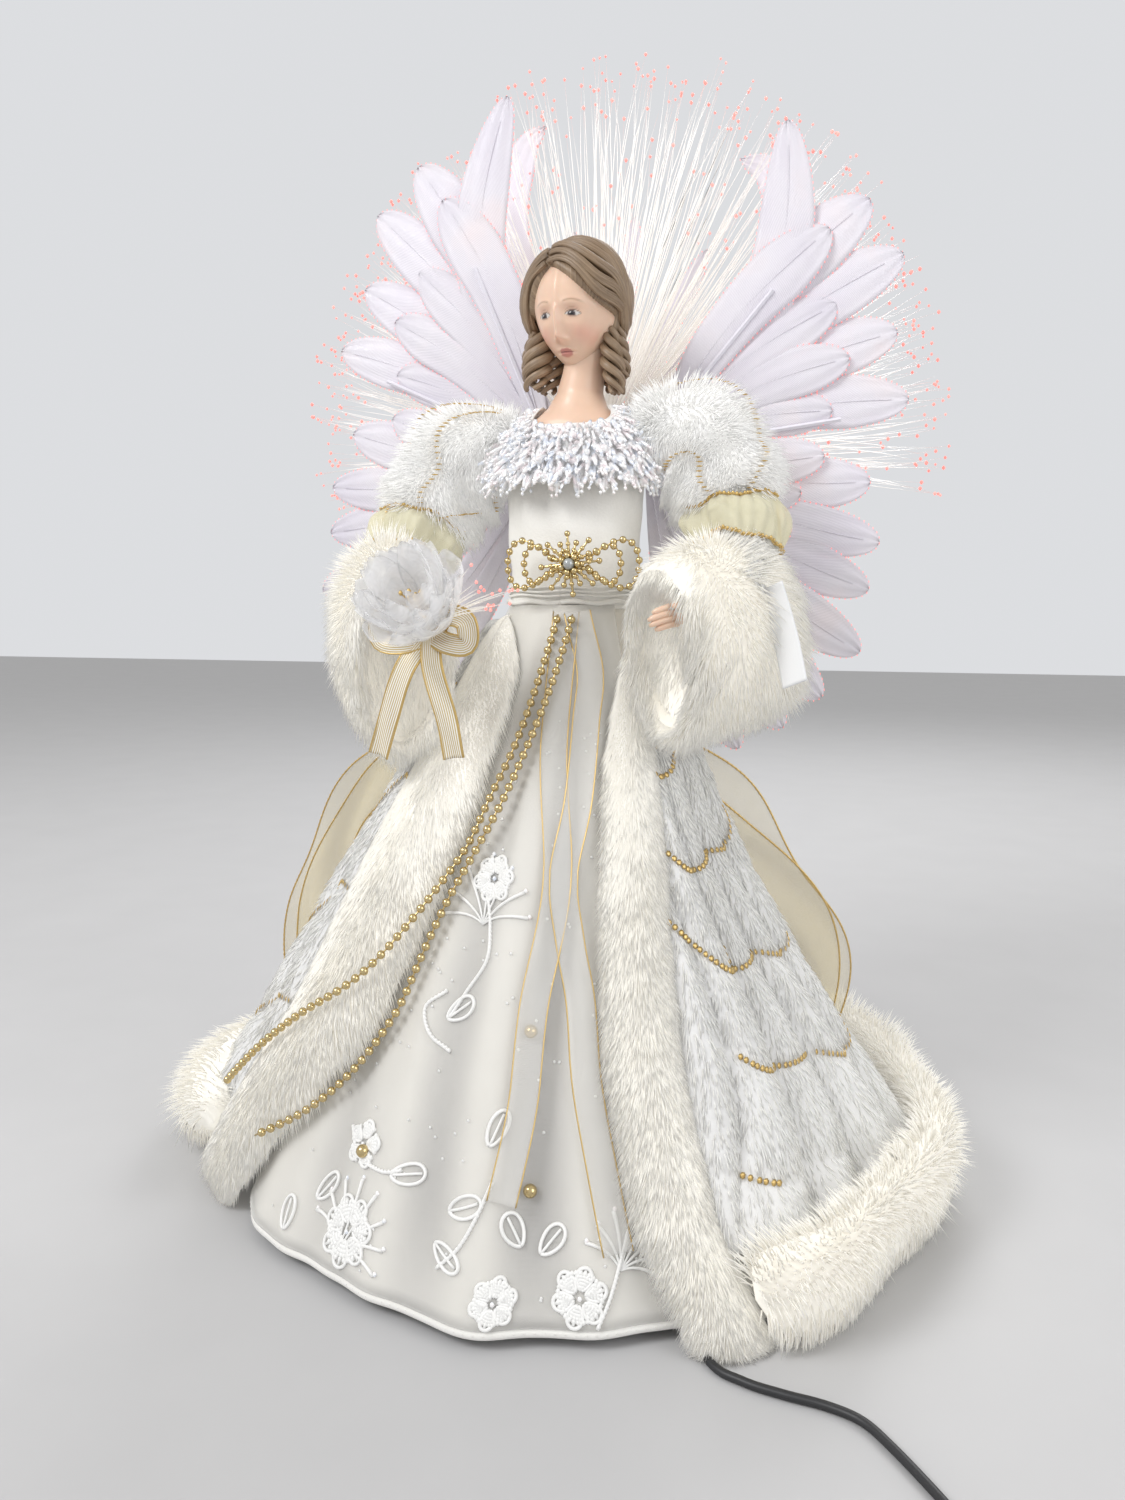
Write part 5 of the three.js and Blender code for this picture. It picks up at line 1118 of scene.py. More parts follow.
def makeCuff(side):
    name = sideNames[side]
    back, front = (np.array(p, float) for p in cuffEnds[side])
    ahead = unit(front - back)
    across = unit(np.cross(ahead, point(0, 0, 1)))
    upward = np.cross(across, ahead)
    halfWidth, halfHeight = cuff["halfWidth"], cuff["halfHeight"][side]

    # The outline goes out along the wall's outside, round the front lip and back along its inside
    def surface(u, v):
        path = 2 * pi * v
        along = 0.5 - 0.5 * np.cos(path)
        wall = cuff["wall"] / 2
        swell = 0.9 + 0.1 * np.sin(pi * along)
        inset = wall - wall * squarer(np.sin(path), 0.5)
        spot = back + (front - back) * along[..., None]
        return onOval(spot, across, upward, halfWidth * swell - inset, halfHeight * swell - inset, 2 * pi * u)

    def core(u, v):
        along = 0.5 - 0.5 * np.cos(2 * pi * v)
        inset = cuff["wall"] / 2
        spot = back + (front - back) * mix(0.1, 0.9, along)[..., None]
        return onOval(spot, across, upward, halfWidth * 0.95 - inset, halfHeight * 0.95 - inset, 2 * pi * u)

    # The skin under the hairs closes on itself both ways, like a ring
    columns, rows = cuff["skin"]
    u, v = gridOf(columns, rows, True)
    points = mix(core(u, v), surface(u, v), 0.72)[:-1]
    under = body(points.reshape(-1, 3), gridQuads(columns, rows, True) % (columns * rows))
    hairs = furBody(surface, core, 124, 72, cuffFur, 61 + side, vSpan=(-0.04, 0.66))
    wide, tall = (half - 0.7 * cuff["wall"] for half in (halfWidth, halfHeight))

    # A cushion of fur that closes the opening round the hand, a little behind the lip
    def cushion(depth):
        def place(u, v):
            out = np.sin(0.5 * pi * v)
            deep = depth + 3.0 * np.cos(pi * v)
            return onOval(front - ahead * deep[..., None], across, upward, wide * out, tall * out, 2 * pi * u)
        return place

    pad = sheetBody(cushion(9.0), cushion(11.0), 40, 12, True)
    inside = furBody(cushion(9.0), cushion(19.0), 54, 24, cuffFur, 65 + side, vSpan=(0.04, 1))
    parts = [under, hairs, pad, inside]
    putPiece(name + "Cuff", parts, creamFur, replaces=[name + "_cuff"])


shoulderFur = {"length": 7.5, "radius": 0.33, "under": 1.6, "lock": 9.0, "lean": 0.4, "wild": 0.14}
shoulder = {"radius": 19.0, "from": 0.03, "to": 0.47, "steps": 40, "back": 0.5, "front": 0.9}


def makeShoulder(side):
    name = sideNames[side]
    line = armLine(side, shoulder["from"], shoulder["to"], shoulder["steps"])
    _, sideways, other = carriedFrames(line)
    last = shoulder["steps"] - 1

    # A puffed ball round the arm, flatter towards the back where the wing folds
    def surface(u, v, grow=1.0):
        step = np.clip(v * last, 0, last)
        low = np.floor(step).astype(int)
        high = np.minimum(low + 1, last)
        part = (step - low)[..., None]
        centre, across, upward = (mix(each[low], each[high], part) for each in (line, sideways, other))
        turn = 2 * pi * u
        ring = ringWay(turn, across, upward)
        ends = np.sqrt(np.clip(1 - (2 * v - 1) ** 6, 0.02, 1))
        puff = 1 + 0.14 * np.abs(np.sin(2.5 * turn + 4 * v)) + 0.10 * np.cos(16 * v)
        size = shoulder["radius"] * (0.72 + 0.28 * np.sin(pi * v)) * puff * ends * grow
        flat = np.where(ring[..., 1:2] > 0, point(1, shoulder["back"], 1), point(1, shoulder["front"], 1))
        return centre + ring * size[..., None] * flat

    def core(u, v):
        return surface(u, v, 0.1)

    under = underFur(surface, core, 48, 40, shoulderFur, 71)
    hairs = furBody(surface, core, 104, 56, shoulderFur, 72 + side)
    padded = putPiece(name + "ShoulderFur", [under, hairs], plushFinish,
                      replaces=[name + "_shoulder_fur"])

    golds = []
    for offset, lean in ((0.02, 0.5), (0.3, -0.4), (0.55, 0.6), (0.8, -0.5)):
        v = np.linspace(0.12, 0.9, 60)
        u = offset + lean * 0.4 * (v - 0.5) + 0.03 * np.sin(9 * v)
        golds.append(scatter(disc, evenAlong(surface(u, v, 1.1), 2.2), sizes=1.5))
    putPiece(name + "ShoulderSequins", golds, goldThread)


def makeSleeve(side):
    name = sideNames[side]
    rows = sleeve["rows"]
    line = armLine(side, sleeve["from"], sleeve["to"], rows + 1)
    _, sideways, other = carriedFrames(line)

    def surface(lift):
        def place(u, v):
            step = np.round(v * rows).astype(int)
            size = sleeve["radius"] * (0.9 + 0.35 * v) * (1 + 0.05 * np.sin(26 * v) * (1 - v)) - lift
            return line[step] + size[..., None] * ringWay(2 * pi * u, sideways[step], other[step])
        return place
    shell = sheetBody(surface(0), surface(sleeve["wall"]), 48, rows, True)
    pile = furBody(surface(0), surface(11), 64, 48, coatPile, 81)
    cloth = putPiece(name + "Sleeve", shell, plushSkin, replaces=[name + "_sleeve"])
    cutCloth(cloth, 0.1, None)
    putPiece(name + "SleevePile", pile, coatPlush)


makeCoat()
makeCoatSequins()
makeHemFur()
for side in (-1, 1):
    makeBorder(side)
    makeCuff(side)
    makeShoulder(side)
    makeSleeve(side)
print("coat and fur ready")


# bodice and collar fringe: rings that swell and narrow up the body

# Each level is height, half width, half depth and how far its middle stands to the back
bodiceLevels = np.array([[226.5, 25, 19, -6], [242, 25, 18.5, -6], [256, 26, 18, -5], [270, 27, 17, -3],
                         [283.3, 27, 16, 0]])
collarLevels = np.array([[272, 32, 24, -3], [283, 31, 21, -2], [291, 28, 19, -1], [298, 21, 16, 0],
                         [304, 13.6, 12.2, 0]])


def levelPoint(levels, turn, height, grow):
    wide, deep, middle = (np.interp(height, levels[:, 0], levels[:, i]) for i in (1, 2, 3))
    x, y = (wide + grow) * np.sin(turn), middle - (deep + grow) * np.cos(turn)
    return np.stack([x, y, height + 0 * turn], axis=-1)


def makeBodice():
    foot, top = bodiceLevels[0, 0], bodiceLevels[-1, 0]

    # The outside is softly wrinkled and the inside is plain
    def side(grow):
        def surface(u, v):
            turn, height = 2 * pi * u, mix(foot, top, v)
            wrinkle = 0.35 * np.sin(9 * turn + 0.15 * height) * np.sin(pi * v)
            wrinkle = wrinkle + 0.25 * np.sin(height / 3.1 + 3 * turn)
            return levelPoint(bodiceLevels, turn, height, grow + (wrinkle if grow > -1 else 0))
        return surface
    cloth = putPiece("bodice", sheetBody(side(0), side(-1.6), 140, 60, True, (160, 57)), feltCloth,
                     replaces=["bodice"])
    cutCloth(cloth, 0.16, None)
    gather = np.radians(np.linspace(0, 360, 121))[:-1]

    def roll(height, grow, radius, sides):
        line = levelPoint(bodiceLevels, gather, height, grow)
        return tube(np.concatenate([line, line[:1]]), radius, sides)
    band = [roll(229.0 + 0.4 * np.sin(9 * gather), 1.0, 1.0, 6)]
    band += [roll(231.5 + 1.6 * k + 0.3 * np.sin(7 * gather + k), 0.6, 0.5, 5) for k in range(3)]
    putPiece("waistSeam", band, feltCloth)


# A bugle bead or long sequin: a thin five-sided drop of length one
def dropShape(radius):
    line = point(0, 0, 1) * np.array([0, 0.15, 0.75, 1.0])[:, None]
    return tube(line, radius * np.array([0.5, 1, 0.8, 0.2]), 5)


# Rings of drops on the collar, from its inner edge down: height, count and length of the drops
collarRings = [(303, 54, 5.5), (300, 60, 6.5), (296.5, 66, 7.5), (292, 72, 8.5), (287, 78, 9.0),
               (282, 80, 9.0), (277, 80, 8.0)]


# The collar's inner edge dips at the throat
def dipped(height, turn):
    return height - 8.5 * smooth(np.cos(turn), 0.2, 1.0) * (height - 273) / 31


def makeCollar():
    reach = np.radians(112.5)

    def net(grow):
        def surface(u, v):
            turn = mix(-reach, reach, u)
            height = dipped(mix(273.0 + 2.2 * np.abs(np.sin(turn * 11)), 304, v), turn)
            frill = (1 - v) * 1.6 * np.sin(turn * 34)
            return levelPoint(collarLevels, turn, height, grow + 0.6 + frill * 0.5)
        return surface
    shell = sheetBody(net(0), net(-0.8), 220, 24, False, (150, 34))
    lace = putPiece("collarNet", shell, threadFinish, replaces=["collar_fringe"])
    cutCloth(lace, 0.10, None)
    draw = np.random.default_rng(23)
    drop = dropShape(0.12)
    drops, balls, petals = [], [], []
    for height, count, length in collarRings:
        turn = np.linspace(-reach, reach, count) + draw.uniform(-0.02, 0.02, count)
        height = dipped(height, turn)
        root = levelPoint(collarLevels, turn, height + draw.uniform(-1, 1, count), 1.0)
        below = levelPoint(collarLevels, turn, height - 6.0, 1.0)
        out = unit(root - levelPoint(collarLevels, turn, height, -8.0))
        way = unit(below - root) * 0.75 + out * draw.uniform(0.25, 0.9, (count, 1))
        way = unit(way + draw.normal(0, 0.22, (count, 3)))
        drops.append(scatter(drop, root, facing(way), length * draw.uniform(0.8, 1.15, count)))
        balls.append(root + way * length * 1.02)
        spots = root + way * length * 0.5 + draw.normal(0, 0.8, (count, 3))
        turned = facing(out + draw.normal(0, 0.6, (count, 3)))
        petals.append(scatter(disc, spots, turned, draw.uniform(1.2, 1.9, count)))
    putPiece("collarBeads", drops + [scatter(ball, np.concatenate(balls), sizes=0.75)], sequinFinish)
    putPiece("collarSequins", petals, sequinFinish)


makeBodice()
makeCollar()


# head: an egg that narrows to the jaw, with soft hills for brows, nose, lips, chin and cheeks

head = {"centre": point(0.3, -3, 339.4), "half": point(15.5, 18, 24.5), "yaw": np.radians(-12), "tall": 0.89,
        "part": -4.5}
skinTone = np.array([0.83, 0.585, 0.44])
lipTone = np.array([0.60, 0.24, 0.21])
browTone = np.array([0.40, 0.25, 0.16])
eyes = {"out": 5.7, "height": -5.6, "half": 2.6, "open": 1.35}


def headFrame(local):
    c, s = np.cos(head["yaw"]), np.sin(head["yaw"])
    x, y, z = local[..., 0], local[..., 1], local[..., 2]
    return np.stack([c * x - s * y, s * x + c * y, z * head["tall"]], axis=-1) + head["centre"]


# Hills of the face: how far out and how high each lies, its two half widths and how far it stands out
faceHills = [
    (0, -14.4, 1.7, 1.3, 0.7), (2.0, -15.0, 1.0, 0.9, 1.1), (5.4, -1.3, 3.6, 1.4, 0.55),
    (5.6, -5.4, 3.0, 2.4, -1.5), (5.7, -5.7, 2.1, 1.35, 1.15), (0, -18.3, 2.7, 0.62, 1.0),
    (0, -20.0, 2.2, 0.75, 1.15), (0, -19.15, 3.0, 0.26, -0.45), (3.1, -19.1, 0.7, 0.5, -0.4),
    (0, -21.6, 2.2, 0.5, -0.35), (0, -23.0, 2.8, 1.6, 1.0), (8.0, -12.5, 4.0, 4.5, 0.9),
    (0, 6.0, 9.0, 6.0, 0.5)]
noseHeights = [-17.2, -15.9, -14.6, -9.5, -4.5, -1.5]
noseReach = [0, 2.4, 4.7, 3.3, 1.9, 0.6]


# The ears are hills on the sides with a hollow in each
def headShape(turn, fall, grow=0.0):
    down = np.maximum(0, -np.cos(fall))
    ring = np.sin(fall) * (1 - 0.3 * down ** 1.6)
    half = head["half"] + grow
    x = half[0] * ring * np.sin(turn)
    y = half[1] * ring * np.cos(turn)
    z = half[2] * np.cos(fall)
    relief = np.interp(z, noseHeights, noseReach) * np.exp(-(x / 1.45) ** 2)
    for out, high, wide, tall, size in faceHills:
        relief = relief + size * np.exp(-(((np.abs(x) - out) / wide) ** 2) - (((z - high) / tall) ** 2))
    ear = np.exp(-(((y - 0.5) / 2.2) ** 2) - (((z + 8.5) / 4.2) ** 2))
    hollow = np.exp(-(((y - 0.2) / 1.0) ** 2) - (((z + 8.2) / 2.4) ** 2))
    x = x + np.sign(x) * (2.2 * ear - 1.1 * hollow)
    return np.stack([x, y - relief * smooth(-y / half[1], 0.05, 0.5), z], axis=-1)


def paintFace(local):
    x, z = local[:, 0], local[:, 2]
    front = local[:, 1] < -4
    ax = np.abs(x)
    colour = np.tile(skinTone, (len(local), 1))

    def lay(mask, tone):
        mask = (np.clip(mask, 0, 1) * front)[:, None]
        colour[:] = colour * (1 - mask) + np.asarray(tone) * mask

    lay(0.45 * hill(ax, 8.2, 4.2) * hill(z, -12.8, 3.6), (0.82, 0.36, 0.28))
    lay(0.3 * hill(ax, 0, 2.2) * hill(z, -14.8, 1.6), (0.8, 0.4, 0.3))
    lay(0.3 * hill(ax, 5.6, 3.6) * hill(z, -3.4, 1.3), (0.62, 0.33, 0.24))
    bow = -18.2 + 0.35 * hill(ax, 1.1, 0.7)
    chinward = 0.2 * ax ** 1.7
    lips = smooth(2.6 - ax, 0, 0.5) * smooth(z, -21.3 + chinward, -20.8 + chinward)
    lips = lips * smooth(bow + 0.3 - 0.2 * ax - z, 0, 0.3)
    lay(lips * 0.9, lipTone)
    lay(hill(z, -19.1, 0.16) * smooth(3.0 - ax, 0, 0.6) * 0.8, (0.25, 0.06, 0.05))
    offset = (ax - eyes["out"]) / eyes["half"]
    span = np.clip(1 - offset ** 2, 0, 1)
    top = eyes["height"] + eyes["open"] * span ** 0.8
    low = eyes["height"] - eyes["open"] * 0.75 * span
    inside = (np.abs(offset) < 1) * smooth(top - z, 0, 0.15) * smooth(z - low, 0, 0.15)
    lay(inside, (0.72, 0.68, 0.66))
    look = (x + 0.35) - np.sign(x) * eyes["out"]
    away = np.hypot(look, z - eyes["height"] + 0.1)
    lay(inside * smooth(1.5 - away, 0, 0.25), (0.05, 0.04, 0.045))
    lay(inside * smooth(0.65 - away, 0, 0.15), (0.01, 0.01, 0.012))
    # A small white dot on each eye: a painted highlight
    lay(inside * smooth(0.32 - np.hypot(look + 0.4, z - eyes["height"] - 0.45), 0, 0.12), (1, 1, 1))
    lay((np.abs(offset) < 1.08) * hill(z, top + 0.1, 0.26) * 0.85, (0.10, 0.055, 0.035))
    lay((np.abs(offset) < 0.95) * hill(z, low - 0.05, 0.16) * 0.5, (0.2, 0.1, 0.07))
    lay((np.abs(offset) < 1.05) * hill(z, top + 1.0, 0.2) * 0.4, (0.35, 0.17, 0.11))
    arch = -1.3 + 1.0 * np.clip(1 - ((ax - 6.4) / 4.2) ** 2, 0, 1) - 0.12 * np.clip(ax - 6, 0, 9)
    lay(smooth(ax, 2.4, 3.6) * smooth(10.4 - ax, 0, 2.4) * hill(z, arch, 0.42) * 0.8, browTone)
    return colour


def skinFinish():
    made = newFinish("paintedSkin", (0.8, 0.6, 0.5), 0.38, Subsurface_Weight=0.12, Subsurface_Scale=0.003,
                     Coat_Weight=0.15)
    made.node_tree.nodes["Principled BSDF"].inputs["Subsurface Radius"].default_value = (1.0, 0.35, 0.2)
    speckle = pattern(made, "Noise", coordinates(made, "Object", 1000.0), 0.25, 4.0)
    shade = ramp(made, speckle, [(0.3, (0.965, 0.96, 0.955)), (0.7, (1, 1, 1))])
    into(made, "Base Color", blendColours(made, 1.0, reading(made, "paint", "Color"), shade, "MULTIPLY"))
    bumped(made, speckle, 0.15, 0.0001)
    return made


skin = skinFinish()


# The neck and shoulders: height, half width, half depth and how far back the middle of each level is
bustLevels = np.array([[283.8, 25.8, 15.4, 0], [290, 25, 15.6, 0], [297, 19, 13.5, 0], [303, 12, 10.5, 0],
                       [309, 9, 9.2, 1], [316, 8.3, 8.6, 1], [324, 8.2, 8.4, 1], [330, 8.4, 8.6, 1]])


def bust(u, v):
    turn, height = 2 * pi * u, mix(283.8, 330, v)
    beside = np.abs(np.abs(turn - pi) - pi)
    collarbone = 0.9 * np.exp(-((beside - 0.75) / 0.5) ** 2) * hill(height, 298, 3.0)
    shift = np.stack([4.0 * smooth(height, 302, 330), 0 * v, 0 * v], axis=-1)
    return levelPoint(bustLevels, turn, height, collarbone) + shift


# More columns lie at the face than at the back
def makeHead():
    def surface(u, v):
        return headShape(2 * pi * u + 0.62 * np.sin(2 * pi * u), pi * mix(0.004, 0.996, v ** 0.9))
    local = closedBody(surface, 170, 150)
    neck = closedBody(bust, 72, 50)
    paint = np.concatenate([paintFace(local[0]), np.tile(skinTone, (len(neck[0]), 1))])
    made = (headFrame(local[0]),) + local[1:]
    putPiece("headAndNeck", [made, neck], skin, replaces=["head_and_neck"], colours=paint)


def hairFinish():
    made = newFinish("paintedHair", (0.2, 0.11, 0.06), 0.42, Coat_Weight=0.25, Coat_Roughness=0.35)
    strand = pattern(made, "Noise", coordinates(made, "UV", (1.6, 0.05, 1.0)), 1.0, 4.0)
    patch = pattern(made, "Noise", coordinates(made, "Object", 120.0), 1.0, 3.0)
    tone = math(made, "ADD", math(made, "MULTIPLY", strand, 0.7), math(made, "MULTIPLY", patch, 0.3))
    browns = [(0.25, (0.13, 0.085, 0.052)), (0.5, (0.29, 0.20, 0.125)), (0.75, (0.48, 0.35, 0.23))]
    into(made, "Base Color", ramp(made, tone, browns))
    bumped(made, strand, 0.6, 0.0008)
    return made


hairPaint = hairFinish()


# The cap covers the back and sides, and dives under the skin where the face is open
def hairCap(u, v):
    turn, fall = 2 * pi * u, pi * mix(0.01, 0.80, v)
    plain = headShape(turn, fall, 2.0)
    frontal = smooth(-plain[..., 1] / head["half"][1], -0.12, 0.12)
    beside = plain[..., 0] - head["part"]
    hairline = 15.5 - 6.5 * (np.abs(beside) / np.where(beside > 0, 10.0, 5.5)) ** 1.4
    face = frontal * smooth(hairline - plain[..., 2], -1.0, 1.5)
    low = smooth(fall, pi * 0.66, pi * 0.80)
    return headFrame(mix(plain, headShape(turn, fall, -3.0), np.maximum(face, low)[..., None]))


# A lock leaves the parting and sweeps over the temple to the nape, with a wave; thinner ones lie beside it
def hairLock(side, row, forward, thickness):
    steps = 26
    t = np.linspace(0, 1, steps)
    crown = mix(15.6, 22.5, np.sin(forward * pi * 0.8))
    knots = [point(head["part"] + 0.7 * side, mix(-14.5, 9.0, forward), crown),
             point(13.0 * side, mix(-9.5, 8.0, forward), mix(5.0, 10.0, forward)),
             point(14.5 * side, mix(-1.5, 10.0, forward), mix(-3.5, -2.0, forward)),
             point(mix(9.5, 3.0, forward) * side, 15.5, mix(-9.0, -12.0, forward))]
    way = unit(smoothLine([unit(knot / head["half"]) for knot in knots], steps))
    wave = 0.13 * np.sin(t * 3.2 * pi + 0.8 * row + side) * np.sin(pi * t)
    way = unit(way + np.stack([0 * t, 0.5 * wave, wave], axis=1))
    lift = 2.1 + 1.1 * np.sin(pi * np.minimum(1, t * 1.15)) + 0.35 * (row % 3)
    line = headFrame(way * (head["half"] + lift[:, None]))
    radius = 2.5 * (0.55 + 0.45 * np.sin(pi * np.clip(t * 1.05, 0, 1))) * thickness
    parts = [tube(line, radius, 9, 0.62, first=way[0])]
    across = unit(np.cross(np.gradient(line, axis=0), way))
    for beside in (-1, 1):
        parts.append(tube(line + across * beside * radius[:, None] * 0.55 + way * 0.5, radius * 0.42, 6, 0.8))
    return parts


# A ring of the rolled bun at the back
def bunRing(ring):
    t = np.linspace(0, 2 * pi, 40)
    size = 10.5 - 2.0 * ring
    x, y, z = size * np.cos(t), 18.5 + 1.3 * ring + 0.4 * np.sin(3 * t), -6 + size * 0.8 * np.sin(t)
    return tube(headFrame(np.stack([x, y, z], axis=1)), 2.4, 8)


# Ringlets beside the neck: side, place outwards, place backwards, top, drop, half width and thickness
ringlets = [(-1, 15.0, -2.0, -8, 24, 3.4, 2.7), (-1, 12.0, 4.0, -11, 22, 3.0, 2.3),
            (-1, 18.0, 1.5, -7, 20, 3.0, 2.3), (1, 14.0, 0.5, -9, 27, 2.6, 2.3),
            (1, 12.0, 6.0, -11, 24, 2.4, 2.0), (1, 15.5, 3.5, -8, 21, 2.2, 1.9),
            (-1, 7.0, 12.0, -13, 20, 2.4, 2.0), (1, 7.0, 12.0, -13, 20, 2.4, 2.0)]


# Three strands wound round each other, thinner at both ends
def ringlet(index, side, out, back, top, drop, wide, thick):
    t = np.linspace(0, 1, 60)
    size = wide * (0.7 + 0.5 * np.sin(pi * t)) * (0.9 + 0.25 * t)
    radius = 0.78 * thick * (0.45 + 0.55 * np.sin(pi * np.clip(t * 0.9 + 0.1, 0, 1)))
    parts = []
    for strand in range(3):
        turn = side * (2 * pi * (1.5 * t + strand / 3) + index)
        line = np.stack([side * (out + 3.0 * t ** 2) + size * np.cos(turn), back + size * np.sin(turn),
                         top - drop * t], axis=1)
        parts.append(tube(headFrame(line), radius, 8))
    return parts


def makeHair():
    parts = [closedBody(hairCap, 90, 80, (90, 60))]
    draw = np.random.default_rng(3)
    for side in (-1, 1):
        for row, forward in enumerate(np.linspace(0, 1, 9)):
            parts += hairLock(side, row, forward, draw.uniform(0.9, 1.1))
    parts += [bunRing(ring) for ring in range(5)]
    for index, place in enumerate(ringlets):
        parts += ringlet(index, *place)
    putPiece("hair", parts, hairPaint, replaces=["hair"])


makeHead()
makeHair()
print("head and hair ready")


# arms and hands

fingerLengths = (9.0, 10.5, 10.0, 8.0)


def makeArm(side):
    name = sideNames[side]
    line = smoothLine(armKnots[side], 60)
    share = np.linspace(0, 1, 60)
    radius = np.interp(share, [0, 0.5, 0.84, 0.88, 0.94, 1.0], [5.5, 4.6, 3.4, 3.6, 4.4, 3.4])
    parts = [tube(line[3:], radius[3:], 20, 0.85)]
    reach = unit(line[-1] - line[-6])
    palm = line[-1]
    lift = unit(point(0, 0, 1) - reach * reach[2])
    across = np.cross(reach, lift)
    t = np.linspace(0, 1, 9)[:, None]
    curl = point(0, 0, -1) * 0.6 + across * side * 0.9
    for finger, length in enumerate(fingerLengths):
        root = palm + lift * (3.3 - 2.0 * finger) - reach * 2.0
        path = root + reach * length * t + curl * length * 0.45 * t ** 2
        parts.append(tube(path, 1.25 * np.interp(t[:, 0], [0, 0.5, 0.9, 1], [1, 1, 0.85, 0.45]), 10))
    thumb = palm - reach * 5 + lift * 3 + (reach * 8 + lift * 3 - across * side * 2.5) * t - lift * 3 * t ** 2
    parts.append(tube(thumb, 1.45 * np.interp(t[:, 0], [0, 0.6, 1], [1.1, 1, 0.5]), 10))
    made = together(parts)
    putPiece(name + "Arm", made, skin, replaces=[name + "_arm"],
             colours=np.tile(skinTone, (len(made[0]), 1)))


for side in (-1, 1):
    makeArm(side)


# wings, plumes and fibres

def petalFinish():
    made = newFinish("sheerFeather", (0.80, 0.79, 0.90), 0.5, Sheen_Weight=0.3, Coat_Weight=0.1)
    barbs = pattern(made, "Wave", coordinates(made, "UV", (1.0, 0.45, 1.0)), 0.9, 2.0,
                    bands_direction="DIAGONAL", Distortion=1.5)
    cloud = pattern(made, "Noise", coordinates(made, "Object", 30.0), 1.0, 3.0)
    lilacs = [(0.3, (0.82, 0.78, 0.89)), (0.55, (0.89, 0.86, 0.94)), (0.75, (0.95, 0.86, 0.90))]
    base = ramp(made, cloud, lilacs)
    into(made, "Base Color", blendColours(made, math(made, "MULTIPLY", barbs, 0.3), base, (1.0, 0.98, 1.0)))
    into(made, "Alpha", math(made, "ADD", math(made, "MULTIPLY", barbs, 0.12), 0.80))
    bumped(made, barbs, 0.35, 0.0003)
    return made


petalCloth = petalFinish()


petalShape = {"thickness": 0.45, "dotPitch": 2.3, "dotsFrom": 0.15, "dotSize": 0.52}


# A petal that faces the front, along a centre line with a half width at each of its points, and the places of
# the light dots along its rim
def petal(line, halfWidth, camber):
    along, _, _ = carriedFrames(line)
    front = point(0, -1, 0)
    out = unit(front - along * (along @ front)[:, None])
    across = np.cross(along, out)
    rows = len(line) - 1

    def surface(depth):
        def place(u, v):
            step = np.round(v * rows).astype(int)
            side = 2 * u - 1
            ripple = 0.35 * np.sin(9 * side + 7 * v) * (0.3 + v)
            lift = camber * (1 - side ** 2) * np.sin(pi * np.clip(v, 0, 1)) + ripple - depth
            offset = across[step] * (halfWidth[step] * side)[..., None]
            return line[step] + offset + out[step] * lift[..., None]
        return place
    thickness = petalShape["thickness"]
    size = (2 * halfWidth.max(), lineLength(line))
    blade = sheetBody(surface(0), surface(thickness), 10, rows, False, size)
    rise = np.arange(int(petalShape["dotsFrom"] * rows), rows + 1) / rows
    middle = surface(thickness / 2)
    edge = np.concatenate([middle(0 * rise, rise), middle(0 * rise + 1, rise[::-1])])
    return blade, evenAlong(edge, petalShape["dotPitch"])


def putLightDots(name, dots, rides="figure"):
    made = scatter(lightDot, np.concatenate(dots), sizes=petalShape["dotSize"])
    putPiece(name, made, redGlow, rides=rides)


# Numbers from nought to one that come closer together towards one
def towardsTip(count):
    return 1 - (1 - np.linspace(0, 1, count)) ** 1.7


# Rounded feather outline: narrow at the quill, widest three quarters along, round at the tip
def featherHalf(v, width):
    swell = np.interp(v, [0, 0.35, 0.75, 1], [0.12, 0.34, 0.44, 0.44])
    return width * swell * np.sqrt(np.clip(1 - np.clip((v - 0.72) / 0.28, 0, 1) ** 2, 0.0004, 1))


# Feathers from the top down: angle in degrees, share of the wing's reach and share of its feathers' width
longFeathers = [(58, 1.06, 1.0), (47, 1.0, 1.0), (36, 0.97, 0.9), (24, 0.85, 0.85), (10, 0.83, 0.8),
                (-8, 0.72, 0.8), (-21, 0.8, 0.75), (-31, 0.84, 0.75), (-42, 0.94, 0.8), (-53, 0.97, 0.8),
                (-62, 0.99, 0.75), (-71, 1.0, 0.7)]
shortFeathers = [(49, 0.86, 0.9), (36, 0.73, 0.8), (23, 0.69, 0.75), (11, 0.6, 0.7), (-2, 0.57, 0.7),
                 (-15, 0.52, 0.7), (-29, 0.54, 0.7)]
wing = {"hinge": (14, 22.5), "sweep": 7, "root": 290, "reach": {-1: 137.8, 1: 130}, "raise": {-1: 16, 1: 0},
        "width": 30, "shortDepth": 7.7, "longDepth": 9.3}


# From a wing's own directions to the figure's: swept back about its hinge
def onWing(local, side):
    turn = side * np.radians(wing["sweep"])
    x, y, z = (local[..., i] for i in range(3))
    return np.stack([side * wing["hinge"][0] + np.cos(turn) * x - np.sin(turn) * y,
                     wing["hinge"][1] + np.sin(turn) * x + np.cos(turn) * y, z + wing["root"]], axis=-1)


